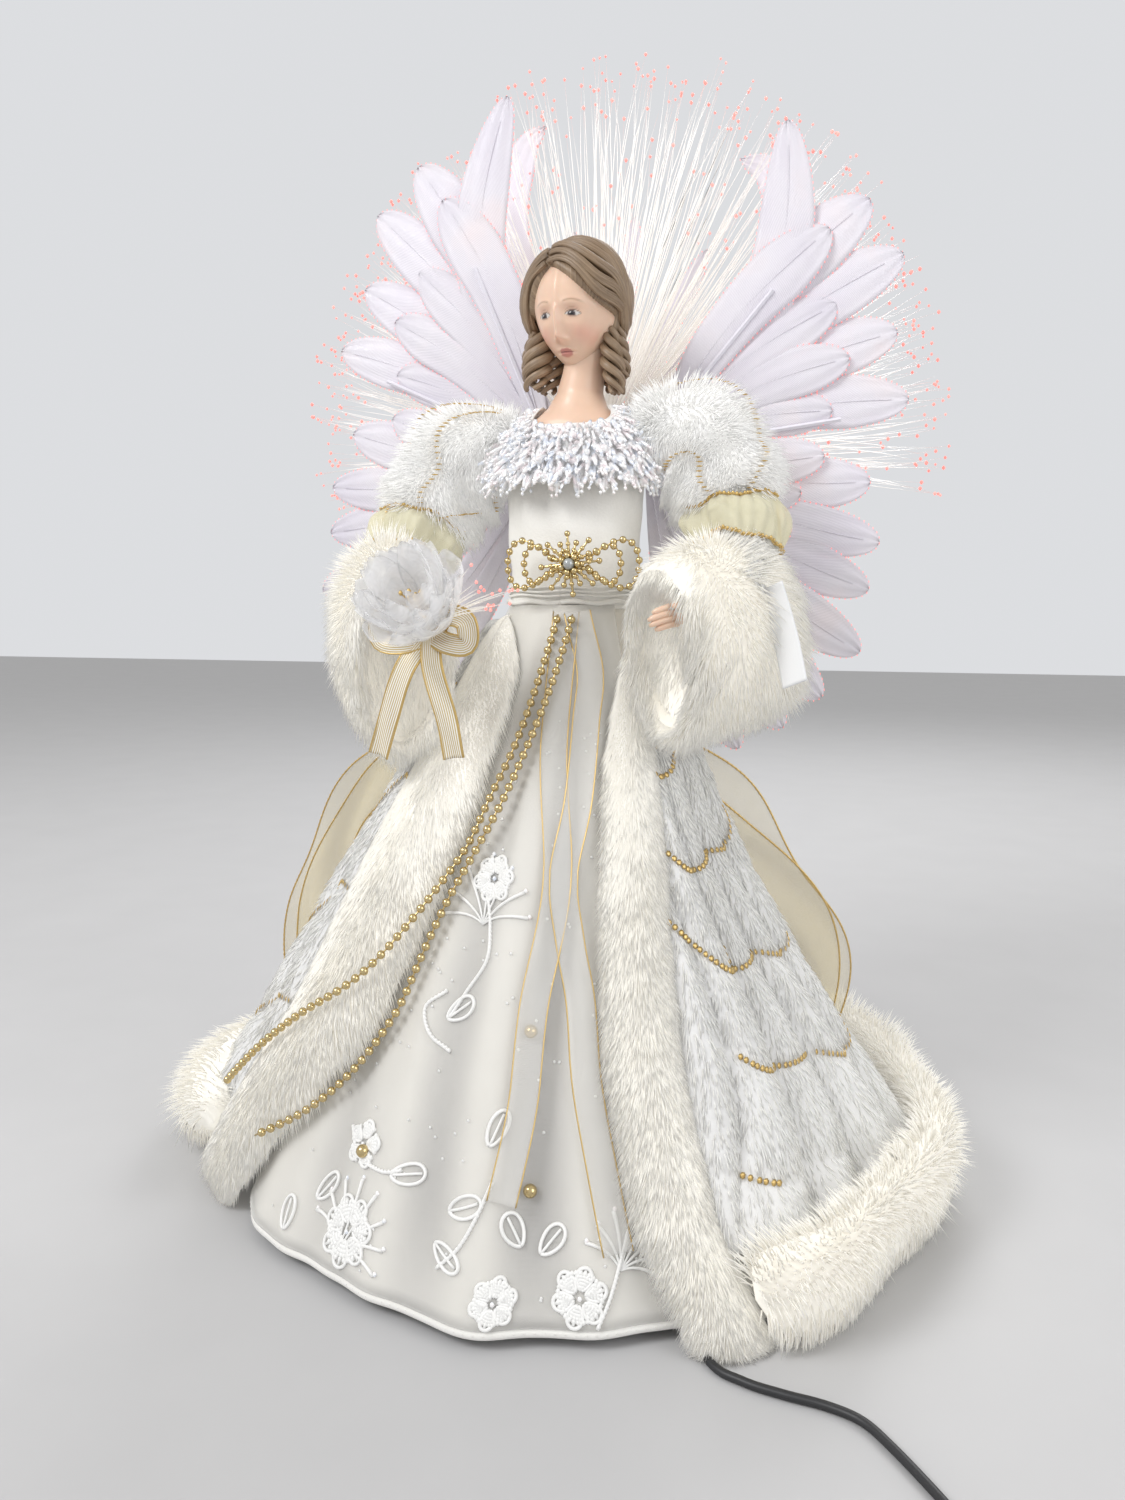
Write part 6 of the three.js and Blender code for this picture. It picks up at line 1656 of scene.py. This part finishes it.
# The top long feather is a scythe; the others bend a little towards the wing's middle
def featherParts(side, index, feather, depth, scythe):
    angle, share, wide = feather
    reach = wing["reach"][side] * share
    v = towardsTip(30)
    lift = np.radians(angle + wing["raise"][side] + 8 * scythe)
    distance = reach * mix(0.1, 1, v)
    droop = reach * np.sin(pi * v) * (-0.15 if scythe else 0.05 if angle > 0 else -0.05)
    local = np.stack([side * (6 + distance * np.cos(lift) - droop * np.sin(lift)),
                      depth + 0.5 * (index % 2) + 0.4 * np.sin(2 * v + index),
                      distance * np.sin(lift) + droop * np.cos(lift)], axis=1)
    half = featherHalf(v, wing["width"] * wide) * (1 - 0.3 * scythe * smooth(v, 0.4, 1))
    blade, rim = petal(onWing(local, side), half, 0.8)
    quill = onWing(local[:24], side) + point(0, -0.6, 0)
    return [blade, tube(quill, np.linspace(0.4, 0.15, 24), 6)], rim


def makeWing(side):
    name = sideNames[side]
    for kind, node, feathers in (("Short", "_short_feathers", shortFeathers),
                                 ("Long", "_long_feathers", longFeathers)):
        blades, dots = [], []
        for index, feather in enumerate(feathers):
            scythe = kind == "Long" and index == 0
            parts, rim = featherParts(side, index, feather, wing[kind.lower() + "Depth"], scythe)
            blades += parts
            dots.append(rim)
        piece = name + kind + "Feathers"
        putPiece(piece, blades, petalCloth, rides=name + "_wing", replaces=[name + node])
        putLightDots(piece + "Lights", dots, name + "_wing")


fan = {"x": -2, "front": 44, "height": 292, "disc": 20, "reach": 166, "from": -8, "to": 188, "count": 330,
       "layerDepth": 3.3}
fibreRadii = np.array([0.26, 0.25, 0.24, 0.23, 0.21, 0.18, 0.0])


def fibreFinish():
    made = newFinish("clearFibre", (0.95, 0.92, 0.88), 0.25, Coat_Weight=0.5, Transmission_Weight=0.2,
                     IOR=1.45)
    rise = rootToTip(made)
    clear = [(0.0, (0.95, 0.93, 0.90)), (0.93, (0.97, 0.95, 0.93)), (1.0, (0.98, 0.55, 0.45))]
    # The faint whitish glow along the fibres' bodies is painted light that lifts the shade where they
    # overlap; the red at the tips is the lamp's light carried to their ends
    glow = [(0.0, (0.2, 0.18, 0.16)), (0.5, (0.4, 0.38, 0.35)), (0.93, (0.3, 0.29, 0.28)),
            (1.0, (0.95, 0.25, 0.18))]
    into(made, "Base Color", ramp(made, rise, clear))
    into(made, "Emission Color", ramp(made, rise, glow))
    made.node_tree.nodes["Principled BSDF"].inputs["Emission Strength"].default_value = 0.6
    return made


fibreCloth = fibreFinish()


# A layer of fibres: they leave a plate in all upward directions, drawn a little into tufts
def makeFan(layer, name):
    draw = np.random.default_rng(100 + layer)
    count, x, height = fan["count"], fan["x"], fan["height"]
    low, high = np.radians(fan["from"]), np.radians(fan["to"])
    angle = np.radians(mix(fan["from"], fan["to"], (np.arange(count) + draw.uniform(0, 1, count)) / count))
    tuft = np.round(angle * 14) / 14
    angle = mix(angle, tuft, draw.uniform(0, 0.5, count))
    envelope = fan["reach"] * (1 - 0.13 * np.abs(np.cos(angle)) ** 1.5)
    whole = draw.uniform(0, 1, count) < 0.6
    length = envelope * np.where(whole, draw.uniform(0.9, 1.0, count), draw.uniform(0.5, 0.95, count))
    slope = 0.05 + 0.1 * layer + draw.uniform(0, 0.06, count)
    t = np.linspace(0, 1, len(fibreRadii))
    bend = draw.normal(0, 0.05, count)
    distance = mix(14.0, length[:, None], t)
    turned = np.clip(angle[:, None] + bend[:, None] * t ** 2, low, high)
    front = fan["front"] + fan["layerDepth"] * layer
    paths = np.stack([x + distance * np.cos(turned), front + 1.5 + distance * slope[:, None],
                      height + distance * np.sin(turned)], axis=-1)
    hairs = hairBody(paths, fibreRadii, draw.uniform(0, 1, count))
    hub = plate(x, height, fan["disc"], front, 3.0, 48, 0.96)
    hub = hub[:3] + (hub[3] * 0, hub[4])
    putPiece(name + "Fibres", [hairs, hub], fibreCloth, replaces=["fiber_fan_" + name])
    lit = draw.uniform(0, 1, count) < 0.85
    tips = scatter(ballShape(5, 4), paths[lit, -1], sizes=draw.uniform(0.5, 0.85, lit.sum()))
    putPiece(name + "FibreTips", tips, redGlow)


# Straight petals behind the fan: angle, share of its reach and share of the full width
plumePetals = [(101, 0.64, 0.42), (86, 0.66, 0.42), (66, 0.6, 0.42), (48, 0.58, 0.4), (121, 0.58, 0.4)]
# The two curved plumes follow one line, in shares of the fan's reach; each has its own width and height
plumeLine = np.array([[0.0, 0.015], [0.1, 0.2], [0.2, 0.36], [0.29, 0.56], [0.31, 0.72], [0.275, 0.86],
                      [0.22, 0.915]])
plumeSizes = [(-1, 1), (1.45, 0.84)]


def makePlumes():
    back = fan["front"] + 2 * fan["layerDepth"]
    lean = 0.24
    blades, dots = [], []

    def raised(x, z, depth=0.0):
        y = back + 4.5 + depth + lean * np.maximum(z, 0)
        return np.stack([fan["x"] + x, y, fan["height"] + z], axis=-1)

    def add(line, half, camber):
        blade, rim = petal(line, half, camber)
        blades.append(blade)
        dots.append(rim)
    for index, (angle, share, wide) in enumerate(plumePetals):
        v = towardsTip(26)
        distance = fan["reach"] * share * mix(0.05, 1, v)
        turn = np.radians(angle)
        line = raised(distance * np.cos(turn), distance * np.sin(turn) * 0.97, 0.5 * (index % 2))
        add(line, featherHalf(v, 26 * wide), 1.0)
    v = np.linspace(0, 1, 40)
    half = np.interp(v, [0, 0.3, 0.6, 0.85, 1], [3.0, 8.0, 9.5, 9.0, 6.0])
    half = half * np.sqrt(np.clip(1 - np.clip((v - 0.8) / 0.2, 0, 1) ** 2, 0.001, 1))
    for size in plumeSizes:
        add(raised(*smoothLine(plumeLine * size * fan["reach"], 40).T), half, 1.5)
    blades.append(plate(fan["x"], fan["height"], 10, back, 6.5, 32))
    putPiece("backPlumes", blades, petalCloth, replaces=["back_plumes"])
    putLightDots("backPlumeLights", dots)


for side in (-1, 1):
    makeWing(side)
for layer, name in enumerate(("front", "back")):
    makeFan(layer, name)
makePlumes()
print("wings, fibres and plumes ready")


# ribbons: a strip of cloth along a line, with a gold thread along each edge

def ribbonBody(line, across, out, width, thickness, ripple, thread=0.4):
    rows = len(line) - 1
    width = np.broadcast_to(width, len(line))

    def surface(depth):
        def place(u, v):
            step = np.round(v * rows).astype(int)
            side = u - 0.5
            wave = ripple * np.sin(6 * side + 11 * v) * (0.3 + v)
            offset = across[step] * (side * width[step])[..., None]
            return line[step] + offset + out[step] * (wave - depth)[..., None]
        return place
    strip = sheetBody(surface(0), surface(thickness), 12, rows, False, (width.max(), lineLength(line)))
    rise = np.arange(rows + 1) / rows
    threads = [tube(surface(thickness / 2)(np.full(rows + 1, u), rise), thread, 6) for u in (0.0, 1.0)]
    return strip, threads, surface


tailRoutes = {
    -1: [(6, 0.99), (5, 0.79), (9, 0.6), (5.5, 0.43), (4.9, 0.3), (3, 0.18)],
    1: [(14, 0.99), (21, 0.9), (18, 0.82), (14.5, 0.7), (10.6, 0.6), (12.6, 0.51), (15, 0.43), (16, 0.33),
        (18.3, 0.22), (20.3, 0.12)],
}


def makeTail(side):
    name = sideNames[side]
    route = smoothLine(tailRoutes[side], 90)
    angle, height = np.radians(route[:, 0]), route[:, 1] * waistHeight
    lift = 2.4 if side < 0 else 3.4
    line = onGown(angle, height, lift)
    out = unit(np.stack([np.sin(angle), -np.cos(angle), 0.5 + 0 * angle], axis=1))
    along = unit(np.gradient(line, axis=0))
    across = unit(np.cross(along, out))
    strip, edges, _ = ribbonBody(line, across, out, 9.6, 0.45, 0.5, 0.27)
    cloth = putPiece(name + "RibbonTail", strip, tailOrganza, replaces=[name + "_ribbon_tail"])
    thread = putPiece(name + "TailThreads", edges, goldThread)
    cutCloth(cloth, 0.01, None)


# Rises are shares of the waist's height and places outwards are shares of the width
streamer = {"width": 30, "start": 118,
            "rise": {-1: [0.66, 0.64, 0.52, 0.36, 0.2], 1: [0.7, 0.6, 0.48, 0.33, 0.17]},
            "out": {-1: [-0.2, 0.9, 1.9, 2.5, 2.5], 1: [-0.5, 0.35, 0.95, 1.35, 1.2]}, "rootShare": 0.19,
            "steps": 90, "layers": (1.0, 0.62)}


def streamerLine(side):
    start = np.radians(side * streamer["start"])
    out, rise = streamer["out"][side], np.array(streamer["rise"][side]) * waistHeight
    lift = 4.6 + streamer["width"] * streamer["rootShare"]
    root = around(start, coatRadius(start, rise[0]) + lift, rise[0])
    knots = [(root[0] + side * share * streamer["width"], root[1] + 13.5 * (1 - np.exp(-share)), z)
             for share, z in zip(out, rise)]
    return smoothLine(knots, streamer["steps"])


# Two crumpled layers with gold edges, the front one narrower
def makeStreamer(side):
    name = sideNames[side]
    line = streamerLine(side)
    front = point(0, -1, 0)
    across = unit(np.cross(unit(np.gradient(line, axis=0)), front))
    t = np.linspace(0, 1, streamer["steps"])
    strips, edges = [], []
    for layer, share in enumerate(streamer["layers"]):
        width = streamer["width"] * share * (1.0 + 0.3 * np.sin(9 * t + side + 2 * layer) * np.sin(pi * t))
        centre = line + across * (5.0 * layer * np.sin(5 * t + 1))[:, None] - point(0, 5.5 * layer, 0)
        strip, threads, edge = ribbonBody(centre, across, np.tile(front, (len(t), 1)), width, 0.45, 2.6)
        strips.append(strip)
        glitter = [evenAlong(edge(-0.3)(u + 0 * t, t), 2.4) for u in (0.0, 1.0)]
        edges += threads + [scatter(ballShape(5, 3), np.concatenate(glitter), sizes=0.65)]
    cloth = putPiece(name + "Streamer", strips, organzaCloth, replaces=[name + "_streamer"])
    thread = putPiece(name + "StreamerThreads", edges, goldThread)
    cutCloth(cloth, 0.03, None)


# A gathered ring of organza round the sleeve, with glitter on both edges
def makeElbowRibbon(side):
    name = sideNames[side]
    rows, columns = sleeve["ribbonRows"], 160
    line = armLine(side, *sleeve["ribbon"], rows + 1)
    _, sideways, other = carriedFrames(line)
    base = sleeve["radius"] * 1.2 + 0.8

    def surface(depth):
        def place(u, v):
            step = np.round(v * rows).astype(int)
            turn = 2 * pi * u
            puff = (3.0 + 1.6 * np.sin(7 * turn + 3 * v)) * np.sin(pi * v)
            puff = puff + 0.5 * np.sin(23 * turn) + np.sin(5 * turn) - depth
            ring = ringWay(turn, sideways[step], other[step])
            along = unit(line[-1] - line[0]) * (2.5 * np.sin(turn + 0.6) + 0.9 * np.sin(6 * turn))[..., None]
            return line[step] + ring * (base + puff + 0.6)[..., None] + along
        return place
    shell = sheetBody(surface(0), surface(0.5), columns, rows, True, (120, 9))
    cloth = putPiece(name + "ElbowRibbon", shell, yellowOrganza, replaces=[name + "_elbow_ribbon"])
    u = np.linspace(0, 1, columns + 1)

    def rims(depth):
        return [surface(depth)(u, np.full(columns + 1, v)) for v in (0.0, 1.0)]
    glitter = scatter(ball, evenAlong(np.concatenate(rims(-0.9)), 1.7), sizes=0.7)
    edges = [tube(rim, 0.5, 6) for rim in rims(-0.2)]
    thread = putPiece(name + "ElbowGlitter", edges + [glitter], goldThread)
    cutCloth(cloth, 0.125, None)


for side in (-1, 1):
    makeTail(side)
    makeStreamer(side)
    makeElbowRibbon(side)
print("ribbons ready")


# gold beads: the bow, the brooch and the two strands over the skirt

roundBall = ballShape(10, 7)
beads = {"radius": 1.6, "pitch": 4.2, "thread": 0.35, "smoothing": 15}
# Angles in degrees and shares of the waist's height, and how far each strand stands off what it lies on
strandRoutes = {
    "Upper": [(1, 0.985), (-4, 0.9), (-10, 0.785), (-15, 0.71), (-18, 0.64), (-21.5, 0.585), (-25, 0.53),
              (-29, 0.47), (-34, 0.42), (-41, 0.37), (-48, 0.31), (-55, 0.24), (-59, 0.2)],
    "Lower": [(11, 0.985), (4, 0.9), (-4.3, 0.785), (-10, 0.7), (-15.5, 0.625), (-19, 0.57), (-21.5, 0.51),
              (-23.5, 0.45), (-25.5, 0.385), (-29.5, 0.32), (-33.5, 0.27), (-38.5, 0.22), (-45.5, 0.165)],
}
strandLifts = {"Upper": 3.0, "Lower": 4.1}
brooch = {"centre": point(6.05, -35.02, 242.96), "radius": 11}


# How far the outside of the gown, or of the left border where that covers it, stands off the gown
def topLift(angle, height):
    share = -(angle - leftEdge(height)) / borderSpan(height, -1)
    rim = np.sqrt(np.clip(1 - (2 * np.clip(share, 0.15, 0.85) - 1) ** 4, 0, 1))
    rise = np.where(share > -0.12, 1.1 + 12 * borderFade(height) * rim * smooth(share, -0.12, 0.12), 0)
    spread = coatSpread * (1 - height / waistHeight) * np.clip(share, 0, 1)
    return 0.9 + rise + spread * (share > 0)


def makeStrand(name):
    route = smoothLine(strandRoutes[name], 160)
    angle, height = np.radians(route[:, 0]), route[:, 1] * waistHeight
    lift = topLift(angle, height) + strandLifts[name]
    kernel = np.hanning(beads["smoothing"])
    lift = np.convolve(np.pad(lift, len(kernel) // 2, mode="edge"), kernel / kernel.sum(), mode="valid")
    line = onGown(angle, height, lift)
    balls = scatter(roundBall, evenAlong(line, beads["pitch"]), sizes=beads["radius"])
    putPiece("beadStrand" + name, [balls, tube(line, beads["thread"], 6)], goldBeads,
             replaces=["bead_strand_" + name.lower()])


# Two loops of beads on each side of the brooch
def makeBow():
    turn = np.linspace(0.25, 2 * pi - 0.25, 90)
    parts = []
    for side in (-1, 1):
        for size in (1.0, 0.66):
            out = 13 * (1 - np.cos(turn)) * size
            x, y, z = side * (5.5 + out * 0.75), 0.9 + 0.1 * out, 9 * np.sin(turn) * (0.35 + out / 26)
            line = brooch["centre"] + np.stack([x, y, z], axis=1)
            parts += [scatter(roundBall, evenAlong(line, 3.5), sizes=1.35), tube(line, 0.3, 5)]
    putPiece("beadBow", parts, goldBeads, replaces=["bead_bow"])


# Long and short rays by turns, and rings of beads round one grey pearl
def makeBrooch():
    centre = brooch["centre"]
    parts, pearls = [], []
    for ray in range(16):
        turn = 2 * pi * ray / 16 + 0.1
        way = point(np.cos(turn), 0, np.sin(turn))
        reach = brooch["radius"] * (1.0 if ray % 2 == 0 else 0.72)
        t = np.linspace(0.15, 1, 6)[:, None]
        line = centre + way * reach * t + point(0, -1.2, 0) * (1 - t)
        parts += [tube(line, [0.8, 0.8, 0.6, 0.5, 0.45, 0.4], 6), scatter(roundBall, line[-1:], sizes=1.15),
                  scatter(roundBall, line[3:4], sizes=0.9)]
    for ring, (count, size, out) in enumerate(((1, 2.1, 0), (7, 1.25, 3.1), (11, 0.9, 4.9))):
        turn = 2 * pi * np.arange(count) / count
        y = np.full(count, -2.4 + 0.5 * ring)
        spots = centre + np.stack([out * np.cos(turn), y, out * np.sin(turn)], axis=1)
        (pearls if ring == 0 else parts).append(scatter(ballShape(12, 8), spots, sizes=size))
    post = tube(np.array([centre + point(0, y, 0) for y in (-1.0, 3.0, 10.5)]), 1.5, 12)
    putPiece("brooch", parts + [post], goldBeads, replaces=["brooch"])
    grey = grainFinish("greyPearl", (0.45, 0.47, 0.47), 0.18, 0.8, 0.00005, 0.4)
    putPiece("broochPearls", pearls, grey)


for name in strandRoutes:
    makeStrand(name)
makeBow()
makeBrooch()


# bouquet: clear crinkled petals round gold stamens, a stem and a striped bow

bouquetFacing = unit(point(-0.1, -0.8, 0.55))
bouquetAcross = unit(np.cross(bouquetFacing, point(0, 0, 1)))
bouquetUp = np.cross(bouquetAcross, bouquetFacing)
bouquetFoot = point(-46, -64, 222) + point(10.4, -6.7, 1.5)
bouquet = {"radius": 21, "depth": 17, "stem": 16, "innerRadius": 3, "petalThickness": 0.5}
# Rings of petals from the outside: how many, share of the radius, share of the depth and turn
petalRings = [(5, 1.0, 1.0, 0.0), (5, 0.82, 1.25, 0.62), (4, 0.55, 1.5, 0.3)]
bowRoutes = [[(0, 0, 0), (-8, -8, 6), (-17, -8, 5), (-18, -7, -3), (-9, -7, -4), (0, -3, -1)],
             [(0, 0, 0), (8, -8, 6), (15, -8, 4), (15, -7, -4), (8, -7, -4), (0, -3, -1)],
             [(0, -3, 0), (-8, -8, -12), (-15, -8, -30), (-21, -5, -46)],
             [(0, -3, 0), (2, -8, -12), (7, -8, -30), (9, -5, -46)]]


def clearFinish():
    # The petals have a faint white glow of their own: painted light that brightens them
    clear = newFinish("clearPetal", (0.97, 0.97, 0.98), 0.25, Coat_Weight=0.4, Sheen_Weight=0.2,
                      Emission_Color=(1, 1, 1, 1), Emission_Strength=0.05)
    crinkle = pattern(clear, "Noise", coordinates(clear, "Object", 130.0), 1.0, 2.0, Distortion=0.8)
    into(clear, "Alpha", ramp(clear, crinkle, [(0.35, (0.28, 0.28, 0.28)), (0.65, (0.62, 0.62, 0.62))]))
    bumped(clear, crinkle, 0.4, 0.0012)
    return clear


def stripedFinish():
    made = newFinish("stripedRibbon", (0.88, 0.83, 0.68), 0.4, Sheen_Weight=0.3)
    stripes = pattern(made, "Wave", coordinates(made, "UV", 1.0), 0.42, 0.0, bands_direction="X")
    golds = [(0.5, (0.93, 0.91, 0.83)), (0.7, (0.66, 0.50, 0.23)), (0.95, (0.60, 0.44, 0.18))]
    into(made, "Base Color", ramp(made, stripes, golds))
    into(made, "Metallic", ramp(made, stripes, [(0.55, (0, 0, 0)), (0.75, (0.7, 0.7, 0.7))]))
    bumped(made, stripes, 0.3, 0.0002)
    return made


# A cupped petal with a ruffled end: it opens from the foot along the bouquet's facing
def bouquetPetal(ring, index):
    count, size, depth, spin = petalRings[ring]
    middle = 2 * pi * index / count + spin
    foot, inner = bouquetFoot, bouquet["innerRadius"]

    def surface(lift):
        def place(u, v):
            side = 2 * u - 1
            spread = middle + side * 0.72 * np.sin(pi * (0.12 + 0.72 * v)) * (1.15 if ring < 2 else 1.4)
            radius = (inner + (bouquet["radius"] - inner) * size * v ** 0.8) * (1 - 0.14 * side ** 2 * v)
            ruffle = 1.3 * np.sin(7 * side + 5 * v + index) * v ** 2
            along = bouquet["depth"] * depth * v ** 1.6 + ruffle + 1.6 * side ** 2 * v + 0.5 * ring - lift
            middlePoint = foot + bouquetFacing * along[..., None]
            return onOval(middlePoint, bouquetAcross, bouquetUp, radius, radius, spread)
        return place
    return sheetBody(surface(0), surface(bouquet["petalThickness"]), 16, 14)


def makeStamens(draw):
    stamens, tips = [], []
    for _ in range(14):
        turn, lean = draw.uniform(0, 2 * pi), draw.uniform(0.05, 0.35)
        way = unit(bouquetFacing + lean * (bouquetAcross * np.cos(turn) + bouquetUp * np.sin(turn)))
        line = bouquetFoot + way * np.linspace(1, draw.uniform(11, 16), 6)[:, None]
        stamens.append(tube(line, 0.3, 5))
        tips.append(line[-1])
    putPiece("bouquetStamens", stamens + [scatter(ball, np.array(tips), sizes=0.9)], goldThread)


# Light fibres spread from the foot towards the doll's front
def makeBouquetFibres(draw):
    count = 16
    way = unit(point(0.9, -0.35, 0.5) + draw.normal(0, 0.16, (count, 3)))
    t = np.linspace(0, 1, 7)[None, :, None]
    reach = draw.uniform(24, 38, count)[:, None, None]
    paths = bouquetFoot - bouquetFacing * 3 + way[:, None] * reach * t + point(0, 0, -4) * t ** 2
    hairs = hairBody(paths, 0.3 * (1.0 - t.ravel() ** 4), draw.uniform(0, 1, count))
    putPiece("bouquetFibres", hairs, fibreCloth)
    putPiece("bouquetFibreTips", scatter(ball, paths[:, -1], sizes=0.6), redGlow)


# Two loops and two ends of striped ribbon, tied round the stem
def makeBouquetBow():
    foot, facingWay = bouquetFoot, bouquetFacing
    stemEnd = foot - facingWay * bouquet["stem"]
    stem = tube(np.array([stemEnd, foot - facingWay * 6, foot + facingWay * 4]), [2.0, 2.2, 3.2], 12)
    knot = mix(foot, stemEnd, 0.6)
    bands, threads = [], []
    for route in bowRoutes:
        line = smoothLine(route, 40) * 0.96 + knot + point(-1, -2, 1)
        along = unit(np.gradient(line, axis=0))
        side = unit(np.cross(along, point(0.1, -1, 0.2)))
        strip, edges, _ = ribbonBody(line, side, unit(np.cross(side, along)), 7.0, 0.5, 0.4)
        bands.append(strip)
        threads += edges
    bow = putPiece("bouquetBow", bands, stripedFinish(), replaces=["bouquet_ribbon"])
    putPiece("bouquetStem", [stem] + threads, goldThread)
    cutCloth(bow, 0.012, None)


def makeBouquet():
    parts = [bouquetPetal(ring, index) for ring, each in enumerate(petalRings) for index in range(each[0])]
    petals = putPiece("bouquetPetals", parts, clearFinish(), replaces=["bouquet_flower"])
    cutCloth(petals, 0.1, None)
    draw = np.random.default_rng(8)
    makeStamens(draw)
    makeBouquetFibres(draw)
    makeBouquetBow()


labelSize = {"width": 11, "length": 36, "thickness": 0.6, "slant": 0.36}


# The blank label hangs from the right cuff's side, a little aslant
def makeLabel():
    back, front = (np.array(p, float) for p in cuffEnds[1])
    upward, slant = point(0, 0, 1), labelSize["slant"]
    across = unit(np.cross(unit(front - back), upward))
    out = unit(np.cross(across, upward))
    middle = mix(back, front, 0.4) - across * (cuff["halfWidth"] * 0.9 + 7.0)
    down, sideways = unit(upward + slant * across), unit(across - slant * upward)

    def face(depth):
        def place(u, v):
            bend = 1.1 * np.sin(pi * v) - depth
            return (middle + sideways * ((u - 0.5) * labelSize["width"])[..., None]
                    + down * ((v - 0.5) * labelSize["length"])[..., None] + out * bend[..., None])
        return place
    satin = clothFinish("whiteSatin", (0.90, 0.91, 0.93), 2.2, None, 0.1, 0.35, 0.15)
    shell = sheetBody(face(0), face(labelSize["thickness"]), 12, 30, False, (11, 36))
    label = putPiece("blankLabel", shell, satin, replaces=["blank_label"])
    cutCloth(label, 0.011, None)


makeBouquet()
makeLabel()
print("bouquet and trimmings ready")


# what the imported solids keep: base, light and wing wires get their own finishes

insideFinishes = {
    "pressedBoard": (["base_ring", "skirt_cone", "torso"], (0.72, 0.66, 0.55), 0.85, 0.8, 0.0006, 0.0),
    "whitePlastic": (["light_shelf", "light_cover", "wheel_hub"], (0.88, 0.88, 0.86), 0.4, 0.5, 0.0001, 0.0),
    "brightMetal": (["lamp_socket", "wheel_motor", "fiber_ferrule", "wing_bracket"], (0.66, 0.67, 0.69), 0.3,
                    0.6, 0.0001, 1.0),
    "pearlWire": (["left_wing_frame", "right_wing_frame"], (0.86, 0.84, 0.92), 0.35, 0.6, 0.0001, 0.0),
    "lampGlass": (["lamp_bulb"], (1.0, 0.93, 0.80), 0.08, 0.2, 0.00002, 0.0),
    "fibreBundle": (["fiber_bundle"], (0.85, 0.83, 0.79), 0.25, 1.0, 0.0003, 0.0),
    "innerSheath": (["inner_lead"], (0.03, 0.03, 0.03), 0.45, 0.6, 0.0001, 0.0),
}
wheelCentre = (0.023, -0.007, 0.0)
filmColours = [(0.0, (0.8, 0.1, 0.08)), (0.25, (0.1, 0.3, 0.8)), (0.5, (0.1, 0.6, 0.2)),
               (0.75, (0.95, 0.7, 0.1))]


# The film wheel's four colours meet at its middle
def filmFinish():
    film = newFinish("colourFilm", (0.9, 0.7, 0.25), 0.2, Coat_Weight=0.4)
    nodes, links = nodesOf(film)
    turned = nodes.new("ShaderNodeTexGradient")
    turned.gradient_type = "RADIAL"
    shift = nodes.new("ShaderNodeVectorMath")
    shift.operation = "SUBTRACT"
    shift.inputs[1].default_value = wheelCentre
    links.new(coordinates(film, "Object", 1.0), shift.inputs[0])
    links.new(shift.outputs[0], turned.inputs[0])
    into(film, "Base Color", ramp(film, turned.outputs["Color"], filmColours))
    for node in nodes:
        if node.type == "VALTORGB":
            node.color_ramp.interpolation = "CONSTANT"
    return film


def repaint(node, finish):
    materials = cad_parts[node].data.materials
    materials.clear()
    materials.append(finish)


def finishInside():
    for name, (nodes, *look) in insideFinishes.items():
        made = grainFinish(name, *look)
        for node in nodes:
            repaint(node, made)
    repaint("color_wheel", filmFinish())


finishInside()
